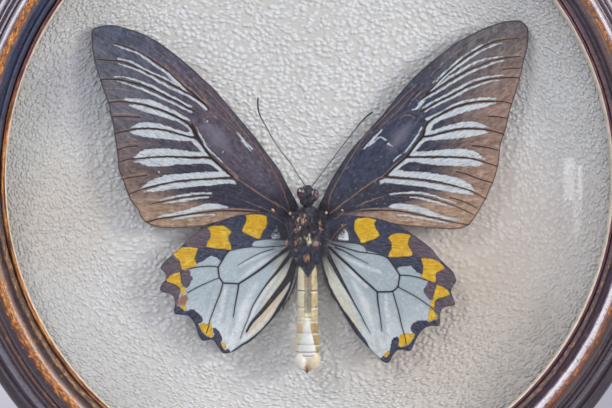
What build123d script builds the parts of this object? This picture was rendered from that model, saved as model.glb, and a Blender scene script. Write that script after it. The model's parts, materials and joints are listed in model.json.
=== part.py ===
from build123d import *
import math
import os

# Round butterfly display case. Millimetres, +Z up, +X to the right, front towards -Y.
# The origin is the centre of the rear rim, on the wall plane y = 0.
# Profiles are written as (radius, depth) with depth measured from the wall to the front.

# ---- driving dimensions -------------------------------------------------
outer_r = 127.0          # outside radius of the wooden ring
sight_r = 102.9          # radius of the visible opening, inside the slip bead
rim_inner_r = 123.0      # inside of the rear rim that stands on the wall
ledge_d = 5.5            # depth of the rear ledge behind the wall plane
rabbet_r = 107.6         # radius of the rabbet that takes glass and backing
seat_d = 25.1            # depth of the seat that the glass leans on
glass_r = 107.0
glass_t = 2.0
glass_rise = 13.0        # how far the glass bulges
glass_edge_d = 24.0
dish_t = 1.2
dish_centre_d = 11.5     # front surface of the dish in its middle
dish_flat_r = 64.0
dish_flange_r = 104.3
dish_flange_d = 20.9
cover_r = 107.3
cover_t = 3.0

button_pivot_r = 115.0
button_width = 8.0
button_reach = 12.0      # pivot to the centre of the far round end
button_t = 1.5
button_screw_r = 1.6
button_bore_r = 1.7
washer_t = 0.5

ring_pivot_z = 111.5
ring_pivot_d = 3.0
ring_wire_r = 0.95
ring_half_w = 6.5
ring_drop = 3.5          # straight sides before the round end
knuckle_r = 1.9
knuckle_bore_r = 1.05

body_x = -0.7            # specimen axis beside the case axis
wing_x = -1.0
fore_root_d = 15.2
fore_slope = 0.045       # wings rise towards the glass at their tips
hind_root_d = 16.5
hind_slope = 0.03
wing_t = 0.4
pin_z = -19.3
pin_r = 0.4

os.makedirs("parts", exist_ok=True)


def dep(r, d):
    # a profile point: radius outwards, depth towards the front
    return (r, -d)


# ---- wooden ring --------------------------------------------------------
with BuildPart() as moulding_ring:
    with BuildSketch(Plane.XY):
        with BuildLine():
            l1 = Line(dep(rim_inner_r, 0), dep(outer_r - 0.8, 0))
            l2 = Line(l1 @ 1, dep(outer_r, 0.8))
            l3 = Line(l2 @ 1, dep(outer_r, 16.8))
            a1 = ThreePointArc(l3 @ 1, dep(125.6, 20.2), dep(122.4, 21.7))
            q1 = Polyline(a1 @ 1, dep(122.0, 21.1), dep(121.3, 21.2))
            a2 = ThreePointArc(q1 @ 1, dep(120.4, 23.2), dep(118.5, 24.2))
            q2 = Polyline(a2 @ 1, dep(118.3, 23.6), dep(117.9, 24.2))
            a3 = ThreePointArc(q2 @ 1, dep(117.3, 24.7), dep(116.7, 24.4))
            q3 = Polyline(a3 @ 1, dep(116.5, 24.1), dep(115.4, 24.6))
            a4 = ThreePointArc(q3 @ 1, dep(114.4, 23.6), dep(113.5, 25.4))
            a5 = ThreePointArc(a4 @ 1, dep(110.9, 31.0), dep(108.0, 27.4))
            a6 = ThreePointArc(a5 @ 1, dep(107.3, 26.2), dep(106.7, 27.0))
            q4 = Polyline(a6 @ 1, dep(106.3, 27.2), dep(104.95, 26.9), dep(104.7, 26.2), dep(104.7, seat_d), dep(rabbet_r, seat_d), dep(rabbet_r, ledge_d), dep(rim_inner_r, ledge_d), l1 @ 0)
        make_face()
    revolve(axis=Axis.Y)
    # pilot holes of the turn-button screws
    with BuildSketch(Plane.XZ.offset(ledge_d)):
        with PolarLocations(button_pivot_r, 4, 45):
            Circle(button_screw_r)
    extrude(amount=7.5, mode=Mode.SUBTRACT)
    # pilot holes of the hanger screws
    with BuildSketch(Plane.XZ.offset(ledge_d)):
        with Locations((-12.5, 113.5), (12.5, 113.5)):
            Circle(1.3)
    extrude(amount=7.0, mode=Mode.SUBTRACT)
moulding_ring.part.label = "moulding_ring"
export_step(moulding_ring.part, "parts/moulding_ring.step")

# ---- slip bead around the opening ---------------------------------------
with BuildPart() as sight_liner:
    with BuildSketch(Plane.XY):
        with BuildLine():
            s1 = Line(dep(104.65, seat_d), dep(sight_r, seat_d))
            s2 = Line(s1 @ 1, dep(sight_r, 27.1))
            s3 = ThreePointArc(s2 @ 1, dep(103.75, 28.0), dep(104.45, 27.2))
            s4 = Polyline(s3 @ 1, dep(104.65, 26.4), s1 @ 0)
        make_face()
    revolve(axis=Axis.Y)
sight_liner.part.label = "sight_liner"
export_step(sight_liner.part, "parts/sight_liner.step")

# ---- convex glass -------------------------------------------------------
glass_R = (glass_r ** 2 + glass_rise ** 2) / (2 * glass_rise)
inner_R = glass_R - glass_t
centre_d = glass_edge_d + glass_rise - glass_R
outer_mid_r = glass_r / 2
outer_mid_d = centre_d + (glass_R ** 2 - outer_mid_r ** 2) ** 0.5
inner_mid_d = centre_d + (inner_R ** 2 - outer_mid_r ** 2) ** 0.5
inner_edge_d = centre_d + (inner_R ** 2 - glass_r ** 2) ** 0.5
with BuildPart() as glass_dome:
    with BuildSketch(Plane.XY):
        with BuildLine():
            g1 = ThreePointArc(dep(0, glass_edge_d + glass_rise), dep(outer_mid_r, outer_mid_d), dep(glass_r, glass_edge_d))
            g2 = Line(g1 @ 1, dep(glass_r, inner_edge_d))
            g3 = ThreePointArc(g2 @ 1, dep(outer_mid_r, inner_mid_d), dep(0, glass_edge_d + glass_rise - glass_t))
            g4 = Line(g3 @ 1, g1 @ 0)
        make_face()
    revolve(axis=Axis.Y)
glass_dome.part.label = "glass_dome"
export_step(glass_dome.part, "parts/glass_dome.step")
print("glass inner edge depth", round(inner_edge_d, 3), "glass radius of curvature", round(glass_R, 1))

with BuildPart() as glass_gasket:
    with BuildSketch(Plane.XZ.offset(dish_flange_d)):
        Circle(glass_r)
        Circle(104.4, mode=Mode.SUBTRACT)
    extrude(amount=inner_edge_d - dish_flange_d)
glass_gasket.part.label = "glass_gasket"
export_step(glass_gasket.part, "parts/glass_gasket.step")

# ---- backing dish -------------------------------------------------------
rise = dish_flange_d - dish_centre_d
run = dish_flange_r - dish_flat_r
curve_R = (run ** 2 + rise ** 2) / (2 * rise)
mid_r = dish_flat_r + run * 0.55
mid_d = dish_centre_d + curve_R - (curve_R ** 2 - (mid_r - dish_flat_r) ** 2) ** 0.5
back_R = curve_R + dish_t
back_end_d = dish_centre_d + curve_R - (back_R ** 2 - run ** 2) ** 0.5
back_mid_d = dish_centre_d + curve_R - (back_R ** 2 - (mid_r - dish_flat_r) ** 2) ** 0.5
with BuildPart() as backing_dish:
    with BuildSketch(Plane.XY):
        with BuildLine():
            d1 = Line(dep(0, dish_centre_d), dep(dish_flat_r, dish_centre_d))
            d2 = ThreePointArc(d1 @ 1, dep(mid_r, mid_d), dep(dish_flange_r, dish_flange_d))
            d3 = Polyline(d2 @ 1, dep(glass_r, dish_flange_d), dep(glass_r, back_end_d), dep(dish_flange_r, back_end_d))
            d4 = ThreePointArc(d3 @ 1, dep(mid_r, back_mid_d), dep(dish_flat_r, dish_centre_d - dish_t))
            d5 = Polyline(d4 @ 1, dep(0, dish_centre_d - dish_t), d1 @ 0)
        make_face()
    revolve(axis=Axis.Y)
    with BuildSketch(Plane.XZ.offset(dish_centre_d - dish_t)):
        with Locations((body_x, pin_z)):
            Circle(pin_r)
    extrude(amount=dish_t, mode=Mode.SUBTRACT)
backing_dish.part.label = "backing_dish"
export_step(backing_dish.part, "parts/backing_dish.step")
print("dish flange back depth", round(back_end_d, 3))

cover_front_d = ledge_d + cover_t
with BuildPart() as spacer_ring:
    with BuildSketch(Plane.XZ.offset(cover_front_d)):
        Circle(cover_r)
        Circle(dish_flange_r + 0.4, mode=Mode.SUBTRACT)
    extrude(amount=back_end_d - cover_front_d)
spacer_ring.part.label = "spacer_ring"
export_step(spacer_ring.part, "parts/spacer_ring.step")

with BuildPart() as backing_pad:
    with BuildSketch(Plane.XZ.offset(cover_front_d)):
        Circle(60)
        with Locations((body_x, pin_z)):
            Circle(2.5, mode=Mode.SUBTRACT)
    extrude(amount=dish_centre_d - dish_t - cover_front_d)
backing_pad.part.label = "backing_pad"
export_step(backing_pad.part, "parts/backing_pad.step")

with BuildPart() as rear_cover:
    with BuildSketch(Plane.XZ.offset(ledge_d)):
        Circle(cover_r)
    extrude(amount=cover_t)
    fillet(rear_cover.edges().sort_by(Axis.Y)[-1], radius=0.4)
rear_cover.part.label = "rear_cover"
export_step(rear_cover.part, "parts/rear_cover.step")

# ---- turn buttons, each on its own screw --------------------------------
button_d = ledge_d - washer_t - 0.05 - button_t      # depth of the outer face
for n, angle in enumerate((45, 135, 225, 315), start=1):
    spot = Location((0, 0, 0), (0, 0, angle)) * Location((button_pivot_r, 0, 0))
    place = Plane.XZ.offset(button_d) * spot
    with BuildPart() as turn_button:
        with BuildSketch(Plane(place)):
            with Locations((-button_reach / 2, 0)):
                SlotCenterToCenter(button_reach, button_width)
            Circle(button_bore_r, mode=Mode.SUBTRACT)
        extrude(amount=button_t)
        rim = turn_button.faces().sort_by(Axis.Y)[-1].outer_wire().edges()
        fillet(rim, radius=0.35)
    name = "turn_button_" + str(n)
    turn_button.part.label = name
    export_step(turn_button.part, "parts/" + name + ".step")

with BuildPart() as button_washers:
    with BuildSketch(Plane.XZ.offset(ledge_d - washer_t)):
        with PolarLocations(button_pivot_r, 4, 45):
            Circle(3.6)
            Circle(button_screw_r, mode=Mode.SUBTRACT)
    extrude(amount=washer_t)
button_washers.part.label = "button_washers"
export_step(button_washers.part, "parts/button_washers.step")

head_d = button_d - 0.1                              # underside of the screw heads
with BuildPart() as button_screws:
    with BuildSketch(Plane.XZ.offset(head_d)):
        with PolarLocations(button_pivot_r, 4, 45):
            Circle(button_screw_r)
    extrude(amount=ledge_d + 7.5 - head_d)
    with BuildSketch(Plane.XZ.offset(head_d - 1.4)):
        with PolarLocations(button_pivot_r, 4, 45):
            Circle(3.1)
    extrude(amount=1.4)
    fillet(button_screws.edges().group_by(Axis.Y)[-1], radius=0.7)
    with BuildSketch(Plane.XZ.offset(head_d - 1.4)):
        with PolarLocations(button_pivot_r, 4, 45):
            Rectangle(7.0, 0.8)
    extrude(amount=0.8, mode=Mode.SUBTRACT)
button_screws.part.label = "button_screws"
export_step(button_screws.part, "parts/button_screws.step")

# ---- hanger at the top of the back --------------------------------------
with BuildPart() as hanger_plate:
    with BuildSketch(Plane.XZ.offset(ledge_d - 1.0)):
        with Locations((0, 113.5)):
            SlotOverall(34, 8)
        with Locations((-12.5, 113.5), (12.5, 113.5)):
            Circle(1.4, mode=Mode.SUBTRACT)
    extrude(amount=1.0)
    with BuildSketch(Plane.YZ.offset(-4)):
        with Locations((-ring_pivot_d, ring_pivot_z)):
            Circle(knuckle_r)
        with Locations((-(ring_pivot_d + ledge_d) / 2 - 0.5, ring_pivot_z)):
            Rectangle(ledge_d - ring_pivot_d - 1.0, knuckle_r * 2)
    extrude(amount=8)
    with BuildSketch(Plane.YZ.offset(-5)):
        with Locations((-ring_pivot_d, ring_pivot_z)):
            Circle(knuckle_bore_r)
    extrude(amount=10, mode=Mode.SUBTRACT)
hanger_plate.part.label = "hanger_plate"
export_step(hanger_plate.part, "parts/hanger_plate.step")

with BuildPart() as hanger_ring:
    with BuildLine(Plane.XZ.offset(ring_pivot_d)):
        b0 = Line((0, ring_pivot_z), (ring_half_w - 1.6, ring_pivot_z))
        b1 = TangentArc(b0 @ 1, (ring_half_w, ring_pivot_z - 1.6), tangent=b0 % 1)
        b2 = Line(b1 @ 1, (ring_half_w, ring_pivot_z - ring_drop))
        b3 = ThreePointArc(b2 @ 1, (0, ring_pivot_z - ring_drop - ring_half_w), (-ring_half_w, ring_pivot_z - ring_drop))
        b4 = Line(b3 @ 1, (-ring_half_w, ring_pivot_z - 1.6))
        b5 = TangentArc(b4 @ 1, (-ring_half_w + 1.6, ring_pivot_z), tangent=b4 % 1)
        b6 = Line(b5 @ 1, b0 @ 0)
    with BuildSketch(Plane.YZ):
        with Locations((-ring_pivot_d, ring_pivot_z)):
            Circle(ring_wire_r)
    sweep()
hanger_ring.part.label = "hanger_ring"
export_step(hanger_ring.part, "parts/hanger_ring.step")

with BuildPart() as hanger_screws:
    with BuildSketch(Plane.XZ.offset(ledge_d - 1.0)):
        with Locations((-12.5, 113.5), (12.5, 113.5)):
            Circle(1.3)
    extrude(amount=8.0)
    with BuildSketch(Plane.XZ.offset(ledge_d - 2.3)):
        with Locations((-12.5, 113.5), (12.5, 113.5)):
            Circle(2.6)
    extrude(amount=1.3)
    fillet(hanger_screws.edges().group_by(Axis.Y)[-1], radius=0.6)
    with BuildSketch(Plane.XZ.offset(ledge_d - 2.3)):
        with Locations((-12.5, 113.5), (12.5, 113.5)):
            Rectangle(6.0, 0.7)
    extrude(amount=0.7, mode=Mode.SUBTRACT)
hanger_screws.part.label = "hanger_screws"
export_step(hanger_screws.part, "parts/hanger_screws.step")

# ---- specimen: body -----------------------------------------------------
with BuildPart() as mounting_pin:
    with BuildSketch(Plane.XZ.offset(dish_centre_d - dish_t)):
        with Locations((body_x, pin_z)):
            Circle(pin_r)
    extrude(amount=6.2)
    with BuildSketch(Plane.XZ.offset(dish_centre_d - dish_t - 0.6)):
        with Locations((body_x, pin_z)):
            Circle(1.5)
    extrude(amount=0.6)
mounting_pin.part.label = "mounting_pin"
export_step(mounting_pin.part, "parts/mounting_pin.step")

with BuildPart() as thorax:
    with BuildSketch(Plane.XZ.offset(19.0)):
        with BuildLine():
            t1 = Line((body_x, -9.4), (body_x + 2.2, -9.4))
            t2 = Spline(t1 @ 1, (body_x + 4.9, -13.2), (body_x + 5.6, -19.0), (body_x + 4.9, -25.2), (body_x + 3.3, -29.4))
            t3 = Line(t2 @ 1, (body_x, -29.4))
            t4 = Line(t3 @ 1, t1 @ 0)
        make_face()
    revolve(axis=Axis((body_x, -19.0, 0), (0, 0, 1)))
    add(mounting_pin.part, mode=Mode.SUBTRACT)
thorax.part.label = "thorax"
export_step(thorax.part, "parts/thorax.step")

with BuildPart() as specimen_pad:
    with BuildSketch(Plane.XZ.offset(dish_centre_d)):
        with Locations((body_x, pin_z)):
            RectangleRounded(5.0, 6.0, 0.8)
    extrude(amount=2.6)
    add(mounting_pin.part, mode=Mode.SUBTRACT)
    add(thorax.part, mode=Mode.SUBTRACT)
specimen_pad.part.label = "specimen_pad"
export_step(specimen_pad.part, "parts/specimen_pad.step")

with BuildPart() as head:
    with BuildSketch(Plane(origin=(-1.2, -19.4, 0), x_dir=(0, 1, 0), z_dir=(1, 0, 0))):
        with BuildLine():
            h1 = Line((0, -9.4), (1.8, -9.4))
            h2 = ThreePointArc(h1 @ 1, (2.75, -5.5), (1.2, -2.0))
            h3 = Line(h2 @ 1, (0, -2.0))
            h4 = Line(h3 @ 1, h1 @ 0)
        make_face()
    revolve(axis=Axis((-1.2, -19.4, 0), (0, 0, 1)))
head.part.label = "head"
export_step(head.part, "parts/head.step")

with BuildPart() as eyes:
    with Locations((-1.2 - 2.15, -19.6, -5.2), (-1.2 + 2.15, -19.6, -5.2)):
        Sphere(1.65)
    add(head.part, mode=Mode.SUBTRACT)
eyes.part.label = "eyes"
export_step(eyes.part, "parts/eyes.step")

antenna_pts_left = [(-1.8, -2.5), (-6.7, 5.1), (-11.5, 11.3), (-15.0, 17.4), (-17.4, 21.9), (-18.1, 25.6), (-18.0, 28.0)]
antenna_pts_right = [(0.1, -3.0), (2.9, 0.6), (7.4, 6.5), (11.5, 12.0), (16.4, 18.2), (19.0, 21.2), (21.6, 23.2)]
for name, pts in (("antenna_left", antenna_pts_left), ("antenna_right", antenna_pts_right)):
    space = [Vector(x, -19.0, z) for x, z in pts]
    radii = []
    for i in range(1, len(space) - 1):
        before = space[i] - space[i - 1]
        after = space[i + 1] - space[i]
        turn = before.get_angle(after)
        run_len = min(before.length, after.length)
        radii.append(0.45 * run_len / math.tan(math.radians(max(turn, 0.5)) / 2))
    with BuildPart() as antenna:
        with BuildLine():
            path = FilletPolyline(*space, radius=radii)
        with BuildSketch(Plane(origin=path @ 0, z_dir=path % 0)):
            Circle(0.3)
        sweep()
        with Locations(Location((space[-1].X, space[-1].Y, space[-1].Z))):
            Sphere(0.5)
        add(head.part, mode=Mode.SUBTRACT)
    antenna.part.label = name
    export_step(antenna.part, "parts/" + name + ".step")

with BuildPart() as abdomen:
    with BuildSketch(Plane.XZ.offset(18.6)):
        with BuildLine():
            m1 = Line((-1.1, -29.4), (-1.1 + 2.9, -29.4))
            m2 = Spline(m1 @ 1, (-1.1 + 3.4, -36), (-1.1 + 3.6, -46), (-1.1 + 3.7, -58), (-1.1 + 2.6, -64.5), (-1.1, -67.3), tangents=((0.1, -1), (-1, -0.3)))
            m3 = Line(m2 @ 1, m1 @ 0)
        make_face()
    revolve(axis=Axis((-1.1, -18.6, 0), (0, 0, 1)))
abdomen.part.label = "abdomen"
export_step(abdomen.part, "parts/abdomen.step")

# ---- specimen: wings, outlines in the plane of each wing ------------------
forewing_left_pts = [(-74.0, 49.7), (-73.7, 50.8), (-73.1, 51.4), (-71.7, 51.8), (-70.0, 52.3), (-68.0, 52.5), (-66.0, 52.4), (-64.3, 52.1), (-61.5, 51.3), (-58.5, 50.4), (-55.4, 49.1), (-52.3, 47.5), (-49.6, 45.8), (-47.2, 44.0), (-44.5, 42.0), (-41.7, 39.7), (-39.0, 37.4), (-36.2, 34.7), (-33.5, 32.3), (-31.1, 29.9), (-29.2, 27.6), (-26.6, 24.6), (-23.2, 20.6), (-19.7, 16.5), (-17.3, 13.6), (-14.9, 10.3), (-12.8, 7.5), (-10.0, 3.8), (-8.0, 0.3), (-6.6, -2.4), (-4.8, -5.7), (-3.1, -9.3), (-3.1, -12.8), (-5.9, -13.8), (-9.3, -14.3), (-14.5, -14.5), (-21.4, -14.5), (-28.3, -15.0), (-32.5, -15.5), (-35.6, -16.2), (-38.6, -16.6), (-42.1, -16.9), (-45.2, -17.0), (-49.6, -16.8), (-52.0, -16.4), (-54.0, -15.8), (-55.9, -14.6), (-57.4, -12.8), (-58.1, -10.7), (-59.5, -9.0), (-60.9, -7.1), (-61.9, -4.5), (-62.6, -2.8), (-63.2, -0.8), (-64.1, 1.3), (-64.8, 3.3), (-65.0, 5.0), (-65.1, 7.1), (-65.3, 9.1), (-65.6, 11.2), (-66.0, 13.6), (-66.3, 16.0), (-66.6, 17.7), (-67.1, 20.4), (-67.6, 21.8), (-67.9, 23.1), (-67.9, 24.5), (-68.3, 25.9), (-69.0, 27.6), (-69.7, 29.6), (-70.4, 31.3), (-70.9, 33.3), (-71.4, 34.7), (-72.1, 36.8), (-72.6, 38.5), (-73.1, 40.5), (-73.4, 42.5), (-73.8, 44.6), (-73.9, 47.3)]
forewing_right_pts = [(76.8, 50.9), (76.6, 52.2), (76.1, 53.0), (75.0, 54.2), (74.1, 54.8), (72.4, 55.0), (70.7, 54.9), (67.6, 54.4), (64.5, 53.4), (61.0, 52.1), (57.9, 50.6), (54.4, 48.8), (50.9, 46.7), (47.8, 44.3), (44.3, 41.7), (40.9, 38.8), (37.4, 35.7), (34.3, 32.2), (31.5, 28.9), (28.8, 25.6), (26.0, 22.1), (22.9, 18.7), (19.9, 15.3), (17.3, 12.5), (14.6, 9.3), (12.5, 6.2), (10.4, 3.1), (8.7, 0.2), (7.1, -2.8), (5.6, -6.2), (4.2, -9.3), (4.2, -12.8), (6.9, -13.8), (10.4, -14.4), (15.6, -14.5), (22.5, -14.7), (29.4, -15.6), (35.7, -16.4), (40.9, -16.8), (45.7, -17.2), (48.8, -17.4), (51.6, -17.4), (53.7, -17.0), (55.8, -16.1), (57.3, -14.5), (58.6, -12.8), (59.8, -10.7), (61.0, -8.6), (62.2, -6.6), (63.2, -4.1), (64.3, -1.9), (65.1, 0.5), (65.9, 3.1), (66.5, 5.9), (66.7, 8.0), (67.0, 10.1), (67.2, 12.1), (68.1, 14.7), (69.0, 17.3), (69.7, 20.5), (70.4, 23.6), (71.2, 26.2), (72.1, 28.9), (72.9, 31.5), (73.7, 34.3), (74.5, 37.4), (75.1, 40.4), (75.8, 43.0), (76.4, 45.7), (76.7, 48.2)]
hindwing_left_pts = [(-2.8, -23.1), (-2.8, -16.9), (-5.9, -13.8), (-9.4, -12.6), (-12.8, -11.9), (-15.6, -11.7), (-18.4, -11.8), (-20.8, -12.1), (-23.5, -12.5), (-25.9, -13.1), (-29.0, -14.1), (-31.8, -15.2), (-34.5, -16.5), (-38.3, -18.6), (-40.7, -20.3), (-43.1, -23.0), (-46.5, -26.1), (-48.9, -28.2), (-50.2, -29.9), (-50.2, -30.9), (-48.9, -32.3), (-48.5, -33.6), (-49.0, -35.0), (-49.9, -36.0), (-50.6, -37.7), (-49.9, -38.8), (-48.2, -39.1), (-46.5, -39.8), (-45.6, -41.5), (-45.6, -43.9), (-45.8, -45.3), (-45.3, -46.3), (-43.1, -46.7), (-41.0, -47.0), (-39.3, -48.8), (-38.3, -50.8), (-37.8, -52.5), (-37.3, -53.9), (-35.9, -55.6), (-34.2, -55.3), (-32.5, -55.3), (-31.1, -57.1), (-29.7, -59.1), (-28.5, -60.0), (-25.9, -59.5), (-22.5, -57.8), (-19.0, -55.4), (-15.6, -52.2), (-12.2, -48.6), (-8.7, -44.1), (-6.6, -40.0), (-4.9, -35.4), (-3.9, -30.7), (-3.2, -26.9)]
hindwing_right_pts = [(3.7, -23.1), (3.7, -17.6), (6.2, -14.5), (9.3, -13.1), (12.7, -12.6), (16.9, -12.7), (20.7, -13.1), (24.8, -13.8), (29.3, -15.2), (32.8, -16.9), (36.3, -19.0), (39.7, -21.4), (43.2, -24.2), (45.3, -27.0), (48.0, -29.7), (50.5, -32.2), (51.5, -35.1), (50.5, -37.0), (49.8, -38.4), (50.1, -40.1), (51.2, -42.9), (50.5, -43.8), (48.4, -44.1), (46.7, -45.0), (46.0, -46.7), (46.0, -49.4), (45.3, -50.8), (42.5, -50.8), (40.1, -52.0), (38.3, -54.3), (37.0, -57.0), (35.6, -59.4), (33.5, -59.1), (31.4, -59.1), (29.7, -60.8), (28.6, -62.9), (27.4, -63.6), (25.5, -62.5), (24.1, -61.1), (20.7, -57.7), (16.9, -53.5), (13.8, -48.7), (11.0, -43.9), (7.9, -38.3), (6.2, -32.8), (4.8, -27.3)]

for name, pts, root_d, slope, side in (
    ("forewing_left", forewing_left_pts, fore_root_d, fore_slope, -1),
    ("forewing_right", forewing_right_pts, fore_root_d, fore_slope, 1),
    ("hindwing_left", hindwing_left_pts, hind_root_d, hind_slope, -1),
    ("hindwing_right", hindwing_right_pts, hind_root_d, hind_slope, 1),
):
    wing_plane = Plane(origin=(wing_x, -root_d, 0), x_dir=(1, -side * slope, 0), z_dir=(-side * slope, -1, 0))
    with BuildPart() as wing:
        with BuildSketch(wing_plane):
            with BuildLine():
                Polyline(*pts, close=True)
            make_face()
        extrude(amount=wing_t)
        add(thorax.part, mode=Mode.SUBTRACT)
        add(abdomen.part, mode=Mode.SUBTRACT)
        add(head.part, mode=Mode.SUBTRACT)
    wing.part.label = name
    export_step(wing.part, "parts/" + name + ".step")
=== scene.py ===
"""Round butterfly display case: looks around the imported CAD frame."""

import json
import math

import bpy
import numpy as np
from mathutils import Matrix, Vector
from mathutils.geometry import delaunay_2d_cdt

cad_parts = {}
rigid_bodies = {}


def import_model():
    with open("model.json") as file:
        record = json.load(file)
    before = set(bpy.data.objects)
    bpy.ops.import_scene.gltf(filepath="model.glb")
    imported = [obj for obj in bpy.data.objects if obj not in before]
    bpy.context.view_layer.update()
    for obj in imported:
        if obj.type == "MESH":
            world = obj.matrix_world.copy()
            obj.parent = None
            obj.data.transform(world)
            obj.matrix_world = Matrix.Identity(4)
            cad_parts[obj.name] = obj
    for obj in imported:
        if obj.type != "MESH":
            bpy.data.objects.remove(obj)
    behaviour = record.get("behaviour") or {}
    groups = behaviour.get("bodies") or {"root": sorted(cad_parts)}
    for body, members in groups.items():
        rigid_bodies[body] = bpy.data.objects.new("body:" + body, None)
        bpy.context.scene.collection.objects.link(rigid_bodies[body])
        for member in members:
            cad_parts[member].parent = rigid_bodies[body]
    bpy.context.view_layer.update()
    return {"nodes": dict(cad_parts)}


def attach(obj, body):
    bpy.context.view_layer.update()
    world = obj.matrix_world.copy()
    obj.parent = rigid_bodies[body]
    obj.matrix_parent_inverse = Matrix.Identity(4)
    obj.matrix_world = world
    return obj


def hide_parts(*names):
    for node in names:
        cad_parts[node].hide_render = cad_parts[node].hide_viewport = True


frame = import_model()
nodes = frame["nodes"]
scene = bpy.context.scene
MM = 0.001
TAU = 2 * math.pi


# ------------------------------------------------------------------ helpers
def lin(*c):
    """sRGB 0-255 to a linear colour."""
    out = []
    for v in c[:3]:
        v = v / 255.0
        out.append(v / 12.92 if v <= 0.04045 else ((v + 0.055) / 1.055) ** 2.4)
    return (out[0], out[1], out[2], 1.0)


def new_mesh(name, verts, faces, smooth=True):
    """verts in mm."""
    me = bpy.data.meshes.new(name)
    me.from_pydata((np.asarray(verts, float) * MM).tolist(), [], [list(map(int, f)) for f in faces])
    me.validate()
    me.update()
    if smooth:
        me.polygons.foreach_set("use_smooth", [True] * len(me.polygons))
    ob = bpy.data.objects.new(name, me)
    scene.collection.objects.link(ob)
    return ob


def put(ob, mat, body="case", replaces=None):
    ob.data.materials.clear()
    ob.data.materials.append(mat)
    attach(ob, body)
    if replaces:
        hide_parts(*([replaces] if isinstance(replaces, str) else replaces))
    return ob


def float_attr(ob, name, values):
    a = ob.data.attributes.new(name, "FLOAT", "POINT")
    a.data.foreach_set("value", np.asarray(values, np.float32))


def colour_attr(ob, name, values):
    a = ob.data.attributes.new(name, "FLOAT_COLOR", "POINT")
    v = np.ones((len(values), 4), np.float32)
    v[:, :3] = values
    a.data.foreach_set("color", v.ravel())


def vector_attr(ob, name, values):
    a = ob.data.attributes.new(name, "FLOAT_VECTOR", "POINT")
    a.data.foreach_set("vector", np.asarray(values, np.float32).ravel())


def sstep(a, b, x):
    t = np.clip((np.asarray(x, float) - a) / (b - a), 0, 1)
    return t * t * (3 - 2 * t)


def wave(P, seed, n=5, lo=0.05, hi=0.5):
    """Smooth random sum of sines over points P (n, k), about -1..1."""
    rng = np.random.default_rng(seed)
    P = np.asarray(P, float)
    out = np.zeros(len(P))
    for _ in range(n):
        k = rng.normal(size=P.shape[1])
        k *= rng.uniform(lo, hi) * TAU / np.linalg.norm(k)
        out += np.sin(P @ k + rng.uniform(0, TAU))
    return out / math.sqrt(n) / 1.2


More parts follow.
